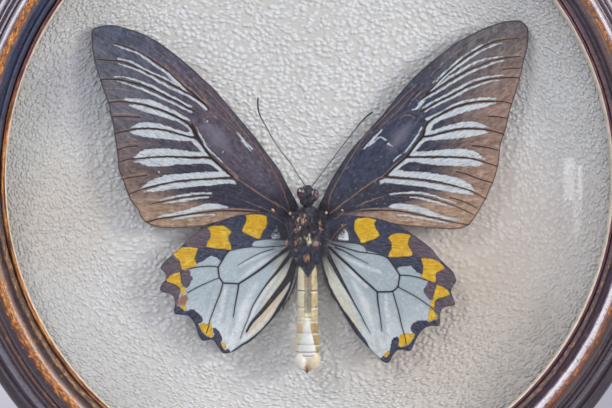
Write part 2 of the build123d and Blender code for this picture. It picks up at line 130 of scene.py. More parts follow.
class Mat:
    """A small node-tree writer. Sockets in, sockets out."""

    def __init__(self, name, rough=0.5, metal=0.0, spec=0.5, coat=0.0, coat_rough=0.1, sheen=0.0, sheen_rough=0.5, ior=1.5):
        self.mat = bpy.data.materials.new(name)
        self.mat.use_nodes = True
        self.t = self.mat.node_tree
        self.p = self.t.nodes["Principled BSDF"]
        i = self.p.inputs
        i["Roughness"].default_value = rough
        i["Metallic"].default_value = metal
        i["Specular IOR Level"].default_value = spec
        i["Coat Weight"].default_value = coat
        i["Coat Roughness"].default_value = coat_rough
        i["Sheen Weight"].default_value = sheen
        i["Sheen Roughness"].default_value = sheen_rough
        i["IOR"].default_value = ior
        self._obj = None

    def n(self, kind, **kw):
        nd = self.t.nodes.new(kind)
        for k, v in kw.items():
            setattr(nd, k, v)
        return nd

    def link(self, value, socket):
        if isinstance(value, bpy.types.NodeSocket):
            self.t.links.new(value, socket)
        elif value is not None:
            socket.default_value = value

    def obj(self):
        if self._obj is None:
            self._obj = self.n("ShaderNodeTexCoord").outputs["Object"]
        return self._obj

    def attr(self, name, out="Fac"):
        nd = self.n("ShaderNodeAttribute", attribute_name=name)
        return nd.outputs[out]

    def math(self, op, a, b=None, c=None, clamp=False):
        nd = self.n("ShaderNodeMath", operation=op, use_clamp=clamp)
        self.link(a, nd.inputs[0])
        self.link(b, nd.inputs[1])
        self.link(c, nd.inputs[2])
        return nd.outputs[0]

    def vmath(self, op, a, b=None):
        nd = self.n("ShaderNodeVectorMath", operation=op)
        self.link(a, nd.inputs[0])
        self.link(b, nd.inputs[1])
        return nd.outputs["Value"] if op in ("LENGTH", "DISTANCE", "DOT_PRODUCT") else nd.outputs["Vector"]

    def scale(self, v, s):
        """Vector v times a constant 3-tuple."""
        return self.vmath("MULTIPLY", v, s)

    def noise(self, vec, scale=1.0, detail=3.0, rough=0.55, distort=0.0, colour=False):
        nd = self.n("ShaderNodeTexNoise", noise_dimensions="3D")
        self.link(vec, nd.inputs["Vector"])
        nd.inputs["Scale"].default_value = scale
        nd.inputs["Detail"].default_value = detail
        nd.inputs["Roughness"].default_value = rough
        nd.inputs["Distortion"].default_value = distort
        return nd.outputs["Color" if colour else "Fac"]

    def vor(self, vec, scale=1.0, feature="F1", rand=1.0, out="Distance", smooth=None):
        nd = self.n("ShaderNodeTexVoronoi", feature=feature)
        self.link(vec, nd.inputs["Vector"])
        nd.inputs["Scale"].default_value = scale
        nd.inputs["Randomness"].default_value = rand
        if smooth is not None:
            nd.inputs["Smoothness"].default_value = smooth
        return nd.outputs[out]

    def mr(self, v, a, b, c=0.0, d=1.0, smooth=True):
        nd = self.n("ShaderNodeMapRange", interpolation_type="SMOOTHSTEP" if smooth else "LINEAR")
        self.link(v, nd.inputs["Value"])
        for k, x in (("From Min", a), ("From Max", b), ("To Min", c), ("To Max", d)):
            self.link(x, nd.inputs[k])
        return nd.outputs["Result"]

    def ramp(self, fac, stops, interp="LINEAR"):
        nd = self.n("ShaderNodeValToRGB")
        cr = nd.color_ramp
        cr.interpolation = interp
        while len(cr.elements) > 1:
            cr.elements.remove(cr.elements[0])
        cr.elements[0].position = stops[0][0]
        cr.elements[0].color = stops[0][1]
        for pos, col in stops[1:]:
            e = cr.elements.new(pos)
            e.color = col
        self.link(fac, nd.inputs[0])
        return nd.outputs["Color"]

    def mix(self, fac, a, b, blend="MIX"):
        nd = self.n("ShaderNodeMix", data_type="RGBA", blend_type=blend)
        self.link(fac, nd.inputs["Factor"])
        self.link(a, nd.inputs[6])
        self.link(b, nd.inputs[7])
        return nd.outputs[2]

    def hsv(self, col, h=0.5, s=1.0, v=1.0):
        nd = self.n("ShaderNodeHueSaturation")
        self.link(h, nd.inputs["Hue"])
        self.link(s, nd.inputs["Saturation"])
        self.link(v, nd.inputs["Value"])
        self.link(col, nd.inputs["Color"])
        return nd.outputs["Color"]

    def sep(self, vec):
        nd = self.n("ShaderNodeSeparateXYZ")
        self.link(vec, nd.inputs[0])
        return nd.outputs[0], nd.outputs[1], nd.outputs[2]

    def comb(self, x, y, z):
        nd = self.n("ShaderNodeCombineXYZ")
        for i, v in enumerate((x, y, z)):
            self.link(v, nd.inputs[i])
        return nd.outputs[0]

    def bump(self, height, strength=0.5, distance=0.0001, normal=None):
        nd = self.n("ShaderNodeBump")
        nd.inputs["Strength"].default_value = strength
        nd.inputs["Distance"].default_value = distance
        self.link(height, nd.inputs["Height"])
        self.link(normal, nd.inputs["Normal"])
        return nd.outputs["Normal"]

    def out(self, colour=None, rough=None, normal=None):
        if colour is not None:
            self.link(colour, self.p.inputs["Base Color"])
        if rough is not None:
            self.link(rough, self.p.inputs["Roughness"])
        if normal is not None:
            self.link(normal, self.p.inputs["Normal"])
        return self.mat


# ------------------------------------------------------------------ camera
cam = bpy.data.objects.new("camera", bpy.data.cameras.new("camera"))
cam.location = (-0.038018, -0.615276, -0.008644)
cam.rotation_euler = (math.radians(90), 0, math.radians(-3.5))
cam.data.lens = 102.29
cam.data.sensor_width = 36.0
cam.data.dof.use_dof = False
scene.collection.objects.link(cam)
scene.camera = cam

scene.view_settings.view_transform = "Standard"
scene.view_settings.look = "None"

# ------------------------------------------------------------------ light
world = bpy.data.worlds.new("studio")
scene.world = world
world.use_nodes = True
world.node_tree.nodes["Background"].inputs["Color"].default_value = lin(206, 204, 216)
world.node_tree.nodes["Background"].inputs["Strength"].default_value = WORLD_STRENGTH = 0.49


def area(name, place, target, size, power, colour, size_y=None):
    data = bpy.data.lights.new(name, "AREA")
    data.energy = power
    data.color = colour[:3]
    if size_y:
        data.shape = "RECTANGLE"
        data.size_y = size_y
    data.size = size
    ob = bpy.data.objects.new(name, data)
    ob.location = place
    ob.rotation_euler = (Vector(target) - Vector(place)).to_track_quat("-Z", "Y").to_euler()
    scene.collection.objects.link(ob)
    return ob


def show(ob, diffuse=True, glossy=True):
    """Which rays a lamp answers: a fill lamp leaves no mirror image in the glass."""
    ob.visible_diffuse = diffuse
    ob.visible_glossy = glossy
    return ob


show(area("front_soft", (-0.30, -1.10, 0.30), (0, 0, 0), 0.9, 1.5, (0.97, 0.985, 1.0), 0.7), glossy=False)
show(area("key_left", (-0.62, -0.72, 0.66), (0, 0, 0), 0.26, 4.0, (0.95, 0.98, 1.0)), glossy=False)
show(area("key_right", (0.95, -0.52, 0.22), (0, 0, 0), 0.34, 8.4, (1.0, 0.96, 0.91)), glossy=False)
show(area("fill_low", (0.50, -0.90, -0.03), (0, 0, 0), 0.9, 1.55, (1.0, 0.985, 0.97), 0.16), glossy=False)
area("rear_soft", (-0.55, 1.00, 0.62), (0, 0, 0), 0.9, 7.0, (0.98, 0.98, 1.0))
show(area("window_left", (-1.02, -0.26, 0.84), (0, 0, 0), 1.1, 34.0, (0.93, 0.95, 1.0), 1.1), diffuse=False)
show(area("window_right", (1.00, -0.30, 0.80), (0, 0, 0), 0.8, 16.0, (1.0, 0.93, 0.86), 0.8), diffuse=False)


def glass_mirror(px, py, dist):
    """Where something stands that the camera sees mirrored in the front of the glass at that pixel."""
    f = 612 * 102.29 / 36.0
    a = math.radians(3.5)
    fwd = np.array([math.sin(a), math.cos(a), 0])
    right = np.array([math.cos(a), -math.sin(a), 0])
    ray = fwd + (px - 306) / f * right - (py - 204) / f * np.array([0, 0, 1.0])
    ray /= np.linalg.norm(ray)
    c = np.array(cam.location)
    centre = np.array([0, 0.4098, 0])
    oc = c - centre
    b = oc @ ray
    t = -b - math.sqrt(b * b - (oc @ oc - 0.4468 ** 2))
    p = c + t * ray
    nrm = (p - centre) / 0.4468
    refl = ray - 2 * (ray @ nrm) * nrm
    return p + refl * dist


def streak(name, corners, dist, power, colour):
    """A slim lamp whose mirror image covers the pixel box (x0, y0, x1, y1)."""
    x0, y0, x1, y1 = corners
    m = glass_mirror((x0 + x1) / 2, (y0 + y1) / 2, dist)
    w = np.linalg.norm(glass_mirror(x1, (y0 + y1) / 2, dist) - glass_mirror(x0, (y0 + y1) / 2, dist))
    h = np.linalg.norm(glass_mirror((x0 + x1) / 2, y1, dist) - glass_mirror((x0 + x1) / 2, y0, dist))
    p = glass_mirror((x0 + x1) / 2, (y0 + y1) / 2, 0)
    return area(name, tuple(m), tuple(p), float(w), power, colour, float(h))


streak("strip_a", (565, 158, 576, 200), 1.1, 0.035, (1, 1, 1))
streak("strip_b", (579, 165, 583, 200), 1.1, 0.016, (1, 0.98, 1))
streak("strip_c", (574, 201, 582, 236), 1.1, 0.012, (0.95, 0.93, 1))

# floor
fme = bpy.data.meshes.new("floor")
fme.from_pydata([(-3, -3, -0.1271), (3, -3, -0.1271), (3, 3, -0.1271), (-3, 3, -0.1271)], [], [(0, 1, 2, 3)])
floor = bpy.data.objects.new("floor", fme)
scene.collection.objects.link(floor)
fm = Mat("floor_paper", rough=0.85, spec=0.2)
fn = fm.noise(fm.obj(), 60, 3)
fm.out(colour=fm.mix(fn, lin(218, 216, 224), lin(224, 222, 229)))
fme.materials.append(fm.mat)


# ------------------------------------------------------------------ turned rings
def arc3(p, q, r, n):
    """Points on the circular arc from p through q to r, p left out."""
    ax, ay, bx, by, cx, cy = *p, *q, *r
    d = 2 * (ax * (by - cy) + bx * (cy - ay) + cx * (ay - by))
    ux = ((ax * ax + ay * ay) * (by - cy) + (bx * bx + by * by) * (cy - ay) + (cx * cx + cy * cy) * (ay - by)) / d
    uy = ((ax * ax + ay * ay) * (cx - bx) + (bx * bx + by * by) * (ax - cx) + (cx * cx + cy * cy) * (bx - ax)) / d
    a0, a1, a2 = (math.atan2(y - uy, x - ux) for x, y in (p, q, r))
    rad = math.hypot(ax - ux, ay - uy)
    while a1 - a0 > math.pi: a1 -= TAU
    while a1 - a0 < -math.pi: a1 += TAU
    while a2 - a1 > math.pi: a2 -= TAU
    while a2 - a1 < -math.pi: a2 += TAU
    return [(ux + rad * math.cos(a0 + (a2 - a0) * k / n), uy + rad * math.sin(a0 + (a2 - a0) * k / n)) for k in range(1, n + 1)]


def line(p, q, n):
    return [(p[0] + (q[0] - p[0]) * k / n, p[1] + (q[1] - p[1]) * k / n) for k in range(1, n + 1)]


def profile(start, steps):
    """steps: ('l', point, n) or ('a', mid, point, n). Closed, start not repeated."""
    pts = [start]
    for s in steps:
        pts += line(pts[-1], s[1], s[2]) if s[0] == "l" else arc3(pts[-1], s[1], s[2], s[3])
    if math.dist(pts[0], pts[-1]) < 1e-6:
        pts.pop()
    return pts


def revolve(name, prof, seg, wobble=None):
    """prof in (r, d) mm round the case axis, closed."""
    th = np.arange(seg) * TAU / seg
    prof = np.array(prof)
    m = len(prof)
    T, K = np.meshgrid(np.arange(seg), np.arange(m), indexing="ij")
    r = prof[K, 0]
    d = prof[K, 1]
    if wobble is not None:
        dr, dd = wobble(th[T], r, d)
        r, d = r + dr, d + dd
    v = np.stack([r * np.cos(th[T]), -d, r * np.sin(th[T])], -1).reshape(-1, 3)
    i, k = T.ravel(), K.ravel()
    i2, k2 = (i + 1) % seg, (k + 1) % m
    f = np.stack([i * m + k, i * m + k2, i2 * m + k2, i2 * m + k], -1)
    ob = new_mesh(name, v, f)
    return ob


def out_of(ob):
    """Faces point outwards."""
    import bmesh
    bm = bmesh.new()
    bm.from_mesh(ob.data)
    bmesh.ops.recalc_face_normals(bm, faces=bm.faces)
    bm.to_mesh(ob.data)
    bm.free()
    ob.data.update()
    return ob


ring_prof = profile((123, 0), [
    ("l", (126.2, 0), 2), ("l", (127, 0.8), 2), ("l", (127, 16.8), 10),
    ("a", (125.6, 20.2), (122.4, 21.7), 9),
    ("l", (122.0, 21.1), 2), ("l", (121.3, 21.2), 2),
    ("a", (120.4, 23.2), (118.5, 24.2), 7),
    ("l", (118.3, 23.6), 2), ("l", (117.9, 24.2), 2),
    ("a", (117.3, 24.7), (116.7, 24.4), 4),
    ("l", (116.5, 24.1), 1), ("l", (115.4, 24.6), 3),
    ("a", (114.4, 23.6), (113.5, 25.4), 7),
    ("a", (110.9, 31.0), (108.0, 27.4), 16),
    ("a", (107.3, 26.2), (106.7, 27.0), 6),
    ("l", (106.3, 27.2), 2), ("l", (104.95, 26.9), 4), ("l", (104.7, 26.2), 2),
    ("l", (104.7, 25.1), 2), ("l", (107.6, 25.1), 3), ("l", (107.6, 5.5), 5), ("l", (123, 5.5), 5), ("l", (123, 0), 2)])


def ring_wobble(th, r, d):
    P = np.stack([np.cos(th).ravel() * 9, np.sin(th).ravel() * 9, r.ravel() * 0.35, d.ravel() * 0.35], -1)
    a = wave(P, 3, 7, 0.12, 0.5).reshape(th.shape)
    b = wave(P * [2.4, 2.4, 1.6, 1.6], 4, 7, 0.2, 0.6).reshape(th.shape)
    front = sstep(14, 20, d)
    dd = -0.11 * front * (0.6 + a * 0.5 + b * 0.35).clip(0, 1.4)
    dr = -0.07 * sstep(118, 124, r) * (0.5 + a * 0.5).clip(0, 1)
    return dr, dd


ring = out_of(revolve("moulding", ring_prof, 540, ring_wobble))

w = Mat("bronzed_wood", rough=0.4, spec=0.5, coat=0.5, coat_rough=0.2)
P = w.obj()
px, py, pz = w.sep(P)
rad = w.vmath("LENGTH", w.comb(px, 0.0, pz))
rmm = w.math("MULTIPLY", rad, 1000.0)
dmm = w.math("MULTIPLY", py, -1000.0)
# a slow wander of the bands, as in hand-laid gilding
turned = w.comb(w.math("MULTIPLY", px, 14.0), w.math("MULTIPLY", rmm, 0.9), w.math("MULTIPLY", pz, 14.0))
wander = w.noise(w.comb(w.math("MULTIPLY", px, 60.0), py, w.math("MULTIPLY", pz, 60.0)), 2.2, 3, 0.6)
r2 = w.math("ADD", rmm, w.mr(wander, 0.3, 0.7, -0.25, 0.25, smooth=False))
fac = w.mr(r2, 102.0, 128.0, 0.0, 1.0, smooth=False)


def at(r):
    return (r - 102.0) / 26.0


# upper half painted cool slate with lavender bands, a painted reflection of light from above; lower half brown and more
# worn, with a painted pale highlight on the bead's inner flank and a painted light-grey highlight band further out
upper = [
    (104.6, (40, 20, 30)), (105.1, (58, 54, 74)), (105.8, (70, 78, 104)), (106.5, (96, 106, 134)), (107.0, (58, 64, 90)),
    (107.6, (84, 96, 126)), (108.2, (64, 70, 98)), (108.9, (86, 88, 108)), (109.5, (118, 98, 88)), (110.1, (128, 88, 58)),
    (111.6, (120, 80, 54)), (112.2, (96, 74, 78)), (112.8, (142, 134, 152)), (113.8, (98, 72, 80)), (114.6, (146, 138, 154)),
    (115.6, (84, 62, 72)), (116.6, (128, 118, 134)), (117.5, (80, 60, 68)), (118.6, (122, 112, 128)), (120.2, (96, 84, 96)),
    (121.6, (66, 52, 62)), (122.8, (84, 72, 84)), (124.4, (60, 48, 54)), (125.8, (54, 40, 50)), (127.2, (44, 33, 40))]
lower = [
    (104.6, (30, 18, 20)), (105.0, (112, 88, 74)), (105.6, (134, 108, 90)), (106.5, (126, 104, 92)), (107.1, (104, 84, 82)),
    (107.6, (92, 76, 80)), (108.2, (140, 122, 120)), (109.0, (156, 128, 110)), (109.6, (138, 90, 52)), (110.6, (128, 78, 44)),
    (111.6, (98, 62, 46)), (112.3, (74, 52, 54)), (113.2, (76, 60, 70)), (113.9, (70, 68, 94)), (114.6, (88, 70, 78)),
    (115.4, (128, 92, 74)), (116.3, (112, 84, 80)), (117.1, (96, 76, 86)), (117.7, (112, 96, 102)), (118.5, (92, 82, 90)),
    (119.4, (134, 126, 136)), (120.6, (144, 136, 148)), (121.3, (92, 80, 94)), (121.9, (66, 52, 64)), (122.8, (84, 74, 84)),
    (123.6, (62, 50, 58)), (125.8, (52, 42, 48)), (127.2, (46, 35, 44))]
height_ = w.math("DIVIDE", pz, w.math("MAXIMUM", rad, 0.001))
turn_n = w.noise(w.comb(w.math("MULTIPLY", px, 22.0), 0.0, w.math("MULTIPLY", pz, 22.0)), 1.0, 3, 0.6)
low = w.mr(w.math("ADD", height_, w.mr(turn_n, 0.3, 0.7, -0.35, 0.35, smooth=False)), 0.30, -0.30)
base = w.mix(low, w.ramp(fac, [(at(r), lin(*c)) for r, c in upper]), w.ramp(fac, [(at(r), lin(*c)) for r, c in lower]))
# the right side is painted darker and browner as painted shade, with a painted white highlight on the bead's inner
# flank lower down and painted pale reflections on the outer slope higher up
across = w.math("DIVIDE", px, w.math("MAXIMUM", rad, 0.001))
right = w.mr(w.math("ADD", across, w.mr(turn_n, 0.3, 0.7, -0.15, 0.15, smooth=False)), 0.35, 0.65)
right_shade_and_highlight = w.ramp(fac, [(at(r), lin(*c)) for r, c in [
    (104.6, (48, 30, 46)), (105.0, (110, 90, 92)), (105.8, (122, 106, 108)), (106.6, (100, 84, 96)), (107.2, (128, 104, 96)), (107.8, (84, 64, 92)),
    (108.4, (110, 88, 110)), (108.9, (230, 224, 232)), (109.3, (255, 252, 250)), (109.9, (250, 240, 240)), (110.4, (150, 104, 118)), (111.0, (140, 88, 54)), (112.2, (100, 66, 50)),
    (113.0, (66, 52, 54)), (114.0, (92, 86, 98)), (115.2, (66, 54, 60)), (116.4, (96, 86, 92)), (117.6, (70, 60, 68)), (119.0, (104, 98, 108)),
    (120.4, (82, 72, 82)), (121.8, (62, 52, 62)), (123.4, (80, 72, 80)), (125.4, (52, 44, 50)), (127.2, (46, 36, 46))]])
right_top_reflection = w.ramp(fac, [(at(r), lin(*c)) for r, c in [
    (104.6, (70, 44, 50)), (105.2, (136, 104, 100)), (106.2, (112, 92, 96)), (107.2, (94, 82, 92)), (108.2, (116, 96, 98)), (109.2, (130, 106, 102)),
    (110.2, (138, 98, 70)), (111.6, (120, 84, 62)), (112.4, (150, 134, 142)), (113.4, (178, 168, 180)), (114.6, (150, 138, 150)), (116.0, (98, 80, 88)),
    (118.0, (122, 110, 120)), (121.0, (80, 66, 74)), (124.0, (70, 58, 66)), (127.2, (46, 36, 46))]])
base = w.mix(w.math("MULTIPLY", right, w.mr(height_, 0.75, 0.35, 0.55, 0.92)), base, w.mix(w.mr(w.math("ADD", height_, w.mr(turn_n, 0.3, 0.7, -0.1, 0.1, smooth=False)), -0.30, 0.05), right_shade_and_highlight, right_top_reflection))
side = w.mr(dmm, 17.5, 15.5)
grain = w.noise(w.scale(turned, (1.0, 1.0, 1.0)), 3.0, 5, 0.6)
base = w.mix(side, base, w.ramp(grain, [(0.3, lin(38, 27, 32)), (0.7, lin(66, 50, 56))]))
# fine turning lines
lines = w.noise(w.comb(w.math("MULTIPLY", px, 6.0), w.math("MULTIPLY", rmm, 2.6), w.math("MULTIPLY", pz, 6.0)), 1.0, 2, 0.5)
base = w.mix(w.mr(lines, 0.38, 0.66, 0.0, 0.55), base, w.hsv(base, v=0.45))
streaks = w.noise(w.comb(w.math("MULTIPLY", px, 20.0), w.math("MULTIPLY", rmm, 2.4), w.math("MULTIPLY", pz, 20.0)), 1.3, 4, 0.6)
base = w.mix(w.mr(streaks, 0.56, 0.70, 0.0, 0.55), base, lin(164, 152, 164))
long_n = w.noise(w.comb(w.math("MULTIPLY", px, 90.0), w.math("MULTIPLY", rmm, 1.9), w.math("MULTIPLY", pz, 90.0)), 1.0, 4, 0.65)
base = w.mix(w.mr(long_n, 0.56, 0.68, 0.0, 0.5), base, w.hsv(base, 0.5, 1.1, 0.5))
base = w.mix(w.mr(long_n, 0.44, 0.33, 0.0, 0.4), base, w.hsv(base, 0.5, 0.9, 1.5))
# copper and gold where the dark coat is rubbed through, drawn out along the turning
spot = w.noise(w.comb(w.math("MULTIPLY", px, 430.0), w.math("MULTIPLY", rmm, 1.15), w.math("MULTIPLY", pz, 430.0)), 1.0, 4, 0.66)
spot2 = w.noise(w.comb(w.math("MULTIPLY", px, 700.0), w.math("MULTIPLY", rmm, 2.4), w.math("MULTIPLY", pz, 700.0)), 1.0, 3, 0.6)
rub_up = w.ramp(fac, [(at(r), (v, v, v, 1)) for r, v in (
    (104.6, 0.0), (105.2, 0.06), (106.8, 0.06), (108.6, 0.10), (109.5, 0.50), (110.6, 0.86), (111.5, 0.74), (112.3, 0.20), (113.5, 0.04), (115.2, 0.10), (119.5, 0.06), (127.0, 0.03))])
rub_low = w.ramp(fac, [(at(r), (v, v, v, 1)) for r, v in (
    (104.6, 0.0), (105.2, 0.56), (106.3, 0.60), (107.1, 0.40), (108.2, 0.34), (109.2, 0.60), (110.4, 0.78), (111.5, 0.62), (112.5, 0.30), (113.8, 0.10),
    (114.8, 0.34), (115.6, 0.50), (116.6, 0.36), (118.0, 0.10), (119.5, 0.18), (121.5, 0.06), (125.0, 0.12), (127.0, 0.05))])
rub = w.mix(low, rub_up, rub_low)
# less copper on the right, and none under the painted white highlight on the inner flank there
rub = w.math("MULTIPLY", rub, w.mr(right, 0.0, 1.0, 1.0, 0.78))
rub = w.math("MULTIPLY", rub, w.math("SUBTRACT", 1.0, w.math("MULTIPLY", right, w.math("MULTIPLY", w.mr(rmm, 108.3, 108.7), w.mr(rmm, 110.6, 110.1)))))
thr = w.math("SUBTRACT", 0.80, w.math("MULTIPLY", rub, 0.46))
m_rub = w.mr(w.math("SUBTRACT", spot, thr), -0.06, 0.07)
copper = w.ramp(spot2, [(0.32, lin(104, 58, 32)), (0.45, lin(170, 98, 42)), (0.56, lin(222, 140, 60)), (0.68, lin(250, 196, 116))])
gold = w.ramp(spot2, [(0.30, lin(128, 100, 72)), (0.5, lin(190, 158, 112)), (0.72, lin(230, 210, 172))])
metal_col = w.mix(w.mr(rmm, 107.2, 108.4), w.mix(w.mr(spot2, 0.45, 0.6), gold, copper), copper)
metal_col = w.mix(w.mr(rmm, 112.4, 114.4, 0.0, 0.5), metal_col, w.hsv(copper, 0.5, 0.8, 0.75))
col = w.mix(w.math("MULTIPLY", w.math("MULTIPLY", m_rub, 0.88), w.mr(dmm, 15.0, 18.0)), base, metal_col)
# dark specks in the copper
speck = w.mr(w.noise(P, 900.0, 4, 0.72), 0.54, 0.62)
col = w.mix(w.math("MULTIPLY", speck, 0.62), col, lin(58, 38, 34))
rough = w.mr(spot, 0.3, 0.7, 0.26, 0.50, smooth=False)
h = w.math("ADD", w.math("MULTIPLY", spot, 0.5), w.math("ADD", w.math("MULTIPLY", lines, 0.7), w.math("MULTIPLY", long_n, 0.4)))
mat_ring = w.out(col, rough, w.bump(h, 0.40, 0.00022))
put(ring, mat_ring, replaces="moulding_ring")

# slip round the opening
slip_prof = profile((104.65, 25.1), [("l", (102.9, 25.1), 3), ("l", (102.9, 27.1), 4), ("a", (103.75, 28.0), (104.45, 27.2), 12), ("l", (104.65, 26.4), 2), ("l", (104.65, 25.1), 2)])


def slip_wobble(th, r, d):
    P = np.stack([np.cos(th).ravel() * 12, np.sin(th).ravel() * 12, r.ravel() * 0.5, d.ravel() * 0.5], -1)
    a = wave(P, 9, 7, 0.15, 0.7).reshape(th.shape)
    k = sstep(26.6, 27.4, d)
    return 0.0 * r, -0.05 * k * (0.7 + 0.6 * a).clip(0, 1.3)


slip = out_of(revolve("slip", slip_prof, 540, slip_wobble))
w = Mat("copper_slip", rough=0.35, spec=0.5, coat=0.3, coat_rough=0.2)
P = w.obj()
px, py, pz = w.sep(P)
rmm = w.math("MULTIPLY", w.vmath("LENGTH", w.comb(px, 0.0, pz)), 1000.0)
a1 = w.noise(w.comb(w.math("MULTIPLY", px, 300.0), w.math("MULTIPLY", rmm, 2.2), w.math("MULTIPLY", pz, 300.0)), 1.3, 4, 0.62)
a2 = w.noise(w.comb(w.math("MULTIPLY", px, 60.0), w.math("MULTIPLY", rmm, 1.7), w.math("MULTIPLY", pz, 60.0)), 1.0, 3, 0.65)
c1 = w.ramp(a1, [(0.30, lin(74, 40, 30)), (0.42, lin(140, 80, 40)), (0.55, lin(206, 128, 56)), (0.68, lin(232, 162, 84)), (0.8, lin(240, 206, 150))])
c1 = w.mix(w.mr(a2, 0.49, 0.57, 0.0, 0.88), c1, lin(56, 28, 32))
c1 = w.mix(w.mr(a2, 0.43, 0.36, 0.0, 0.5), c1, lin(246, 206, 146))
c1 = w.mix(w.mr(w.noise(P, 1100.0, 4, 0.72), 0.53, 0.62, 0.0, 0.6), c1, lin(70, 36, 36))
across = w.math("DIVIDE", px, w.math("MAXIMUM", w.vmath("LENGTH", w.comb(px, 0.0, pz)), 0.001))
upward = w.math("DIVIDE", pz, w.math("MAXIMUM", w.vmath("LENGTH", w.comb(px, 0.0, pz)), 0.001))
dim_n = w.noise(P, 16.0, 2, 0.5)
# the upper part of the slip painted maroon and the right part purple: painted shade on the copper
maroon_shade = w.ramp(a1, [(0.35, lin(58, 28, 40)), (0.60, lin(104, 56, 62)), (0.72, lin(196, 146, 92))])
up_left = w.math("MULTIPLY", w.mr(w.math("ADD", upward, w.mr(dim_n, 0.3, 0.7, -0.3, 0.3)), 0.10, 0.42), 0.92)
c1 = w.mix(up_left, c1, maroon_shade)
right_m = w.mr(w.math("ADD", across, w.mr(dim_n, 0.3, 0.7, -0.12, 0.12)), 0.45, 0.72)
c1 = w.mix(right_m, c1, w.ramp(a1, [(0.35, lin(60, 32, 52)), (0.62, lin(112, 68, 84)), (0.75, lin(176, 130, 120))]))
# a cream edge at the opening in its own colour, painted wider on the right as a painted highlight where its wall faces
# the light
lip_edge = w.mr(right_m, 0.0, 1.0, 103.12, 103.46)
lip = w.mr(w.math("SUBTRACT", rmm, lip_edge), 0.10, -0.08)
c1 = w.mix(w.math("MULTIPLY", lip, 0.92), c1, w.ramp(a1, [(0.3, lin(206, 186, 160)), (0.6, lin(240, 230, 206))]))
mat_slip = w.out(c1, w.mr(a1, 0.3, 0.7, 0.25, 0.45, smooth=False), w.bump(a1, 0.35, 0.00015))
put(slip, mat_slip, replaces="sight_liner")


# ------------------------------------------------------------------ glass
def dome(name, r_edge, R, apex, t, seg=144, rings=30):
    """Convex disc, d measured forwards in mm."""
    v, f = [], []
    c = apex - R

    def cap(RR):
        start = len(v)
        v.append((0, -(c + RR), 0))
        for k in range(1, rings + 1):
            r = r_edge * k / rings
            d = c + math.sqrt(RR * RR - r * r)
            v.extend((r * math.cos(TAU * s / seg), -d, r * math.sin(TAU * s / seg)) for s in range(seg))
        return start

    a = cap(R)
    b = cap(R - t)
    for base_i in (a, b):
        for s in range(seg):
            f.append((base_i, base_i + 1 + s, base_i + 1 + (s + 1) % seg))
        for k in range(rings - 1):
            o = base_i + 1 + k * seg
            for s in range(seg):
                s2 = (s + 1) % seg
                f.append((o + s, o + seg + s, o + seg + s2, o + s2))
    oa, ob_ = a + 1 + (rings - 1) * seg, b + 1 + (rings - 1) * seg
    for s in range(seg):
        s2 = (s + 1) % seg
        f.append((oa + s, ob_ + s, ob_ + s2, oa + s2))
    return out_of(new_mesh(name, v, f))


glass = dome("glass", 107.0, 446.8, 37.0, 2.0)
gm = bpy.data.materials.new("clear_glass")
gm.use_nodes = True
t = gm.node_tree
t.nodes.remove(t.nodes["Principled BSDF"])
tr = t.nodes.new("ShaderNodeBsdfTransparent")
tr.inputs["Color"].default_value = (0.985, 0.99, 0.988, 1)
gl = t.nodes.new("ShaderNodeBsdfGlossy")
gl.inputs["Roughness"].default_value = 0.02
gl.inputs["Color"].default_value = (1, 1, 1, 1)
lw = t.nodes.new("ShaderNodeLayerWeight")
lw.inputs["Blend"].default_value = 0.5
pw = t.nodes.new("ShaderNodeMath")
pw.operation = "POWER"
pw.inputs[1].default_value = 4.0
t.links.new(lw.outputs["Facing"], pw.inputs[0])
ma = t.nodes.new("ShaderNodeMath")
ma.operation = "MULTIPLY_ADD"
ma.inputs[1].default_value = 0.55
ma.inputs[2].default_value = 0.022
t.links.new(pw.outputs[0], ma.inputs[0])
mx = t.nodes.new("ShaderNodeMixShader")
t.links.new(ma.outputs[0], mx.inputs[0])
t.links.new(tr.outputs[0], mx.inputs[1])
t.links.new(gl.outputs[0], mx.inputs[2])
t.links.new(mx.outputs[0], t.nodes["Material Output"].inputs["Surface"])
put(glass, gm, replaces="glass_dome")

# ------------------------------------------------------------------ backing
R_FLAT, D_FLAT, R_FLANGE, D_FLANGE, R_DISH, T_DISH = 64.0, 11.5, 104.3, 20.9, 107.0, 1.2
R_ARC = ((R_FLANGE - R_FLAT) ** 2 + (D_FLANGE - D_FLAT) ** 2) / (2 * (D_FLANGE - D_FLAT))


def dish_d(r):
    r = np.asarray(r, float)
    q = np.clip(r, R_FLAT, R_FLANGE) - R_FLAT
    return D_FLAT + R_ARC - np.sqrt(R_ARC ** 2 - q ** 2)


def disc_grid(n, R):
    """An n by n grid drawn out to a disc, no piece much larger than another."""
    u = np.linspace(-1, 1, n + 1)
    a, b = np.meshgrid(u, u, indexing="ij")
    big = np.abs(a) > np.abs(b)
    with np.errstate(divide="ignore", invalid="ignore"):
        r = np.where(big, a, b)
        ph = np.where(big, math.pi / 4 * b / a, math.pi / 2 - math.pi / 4 * a / b)
    ph = np.where(r == 0, 0, ph)
    return (r * np.cos(ph) * R).ravel(), (r * np.sin(ph) * R).ravel()


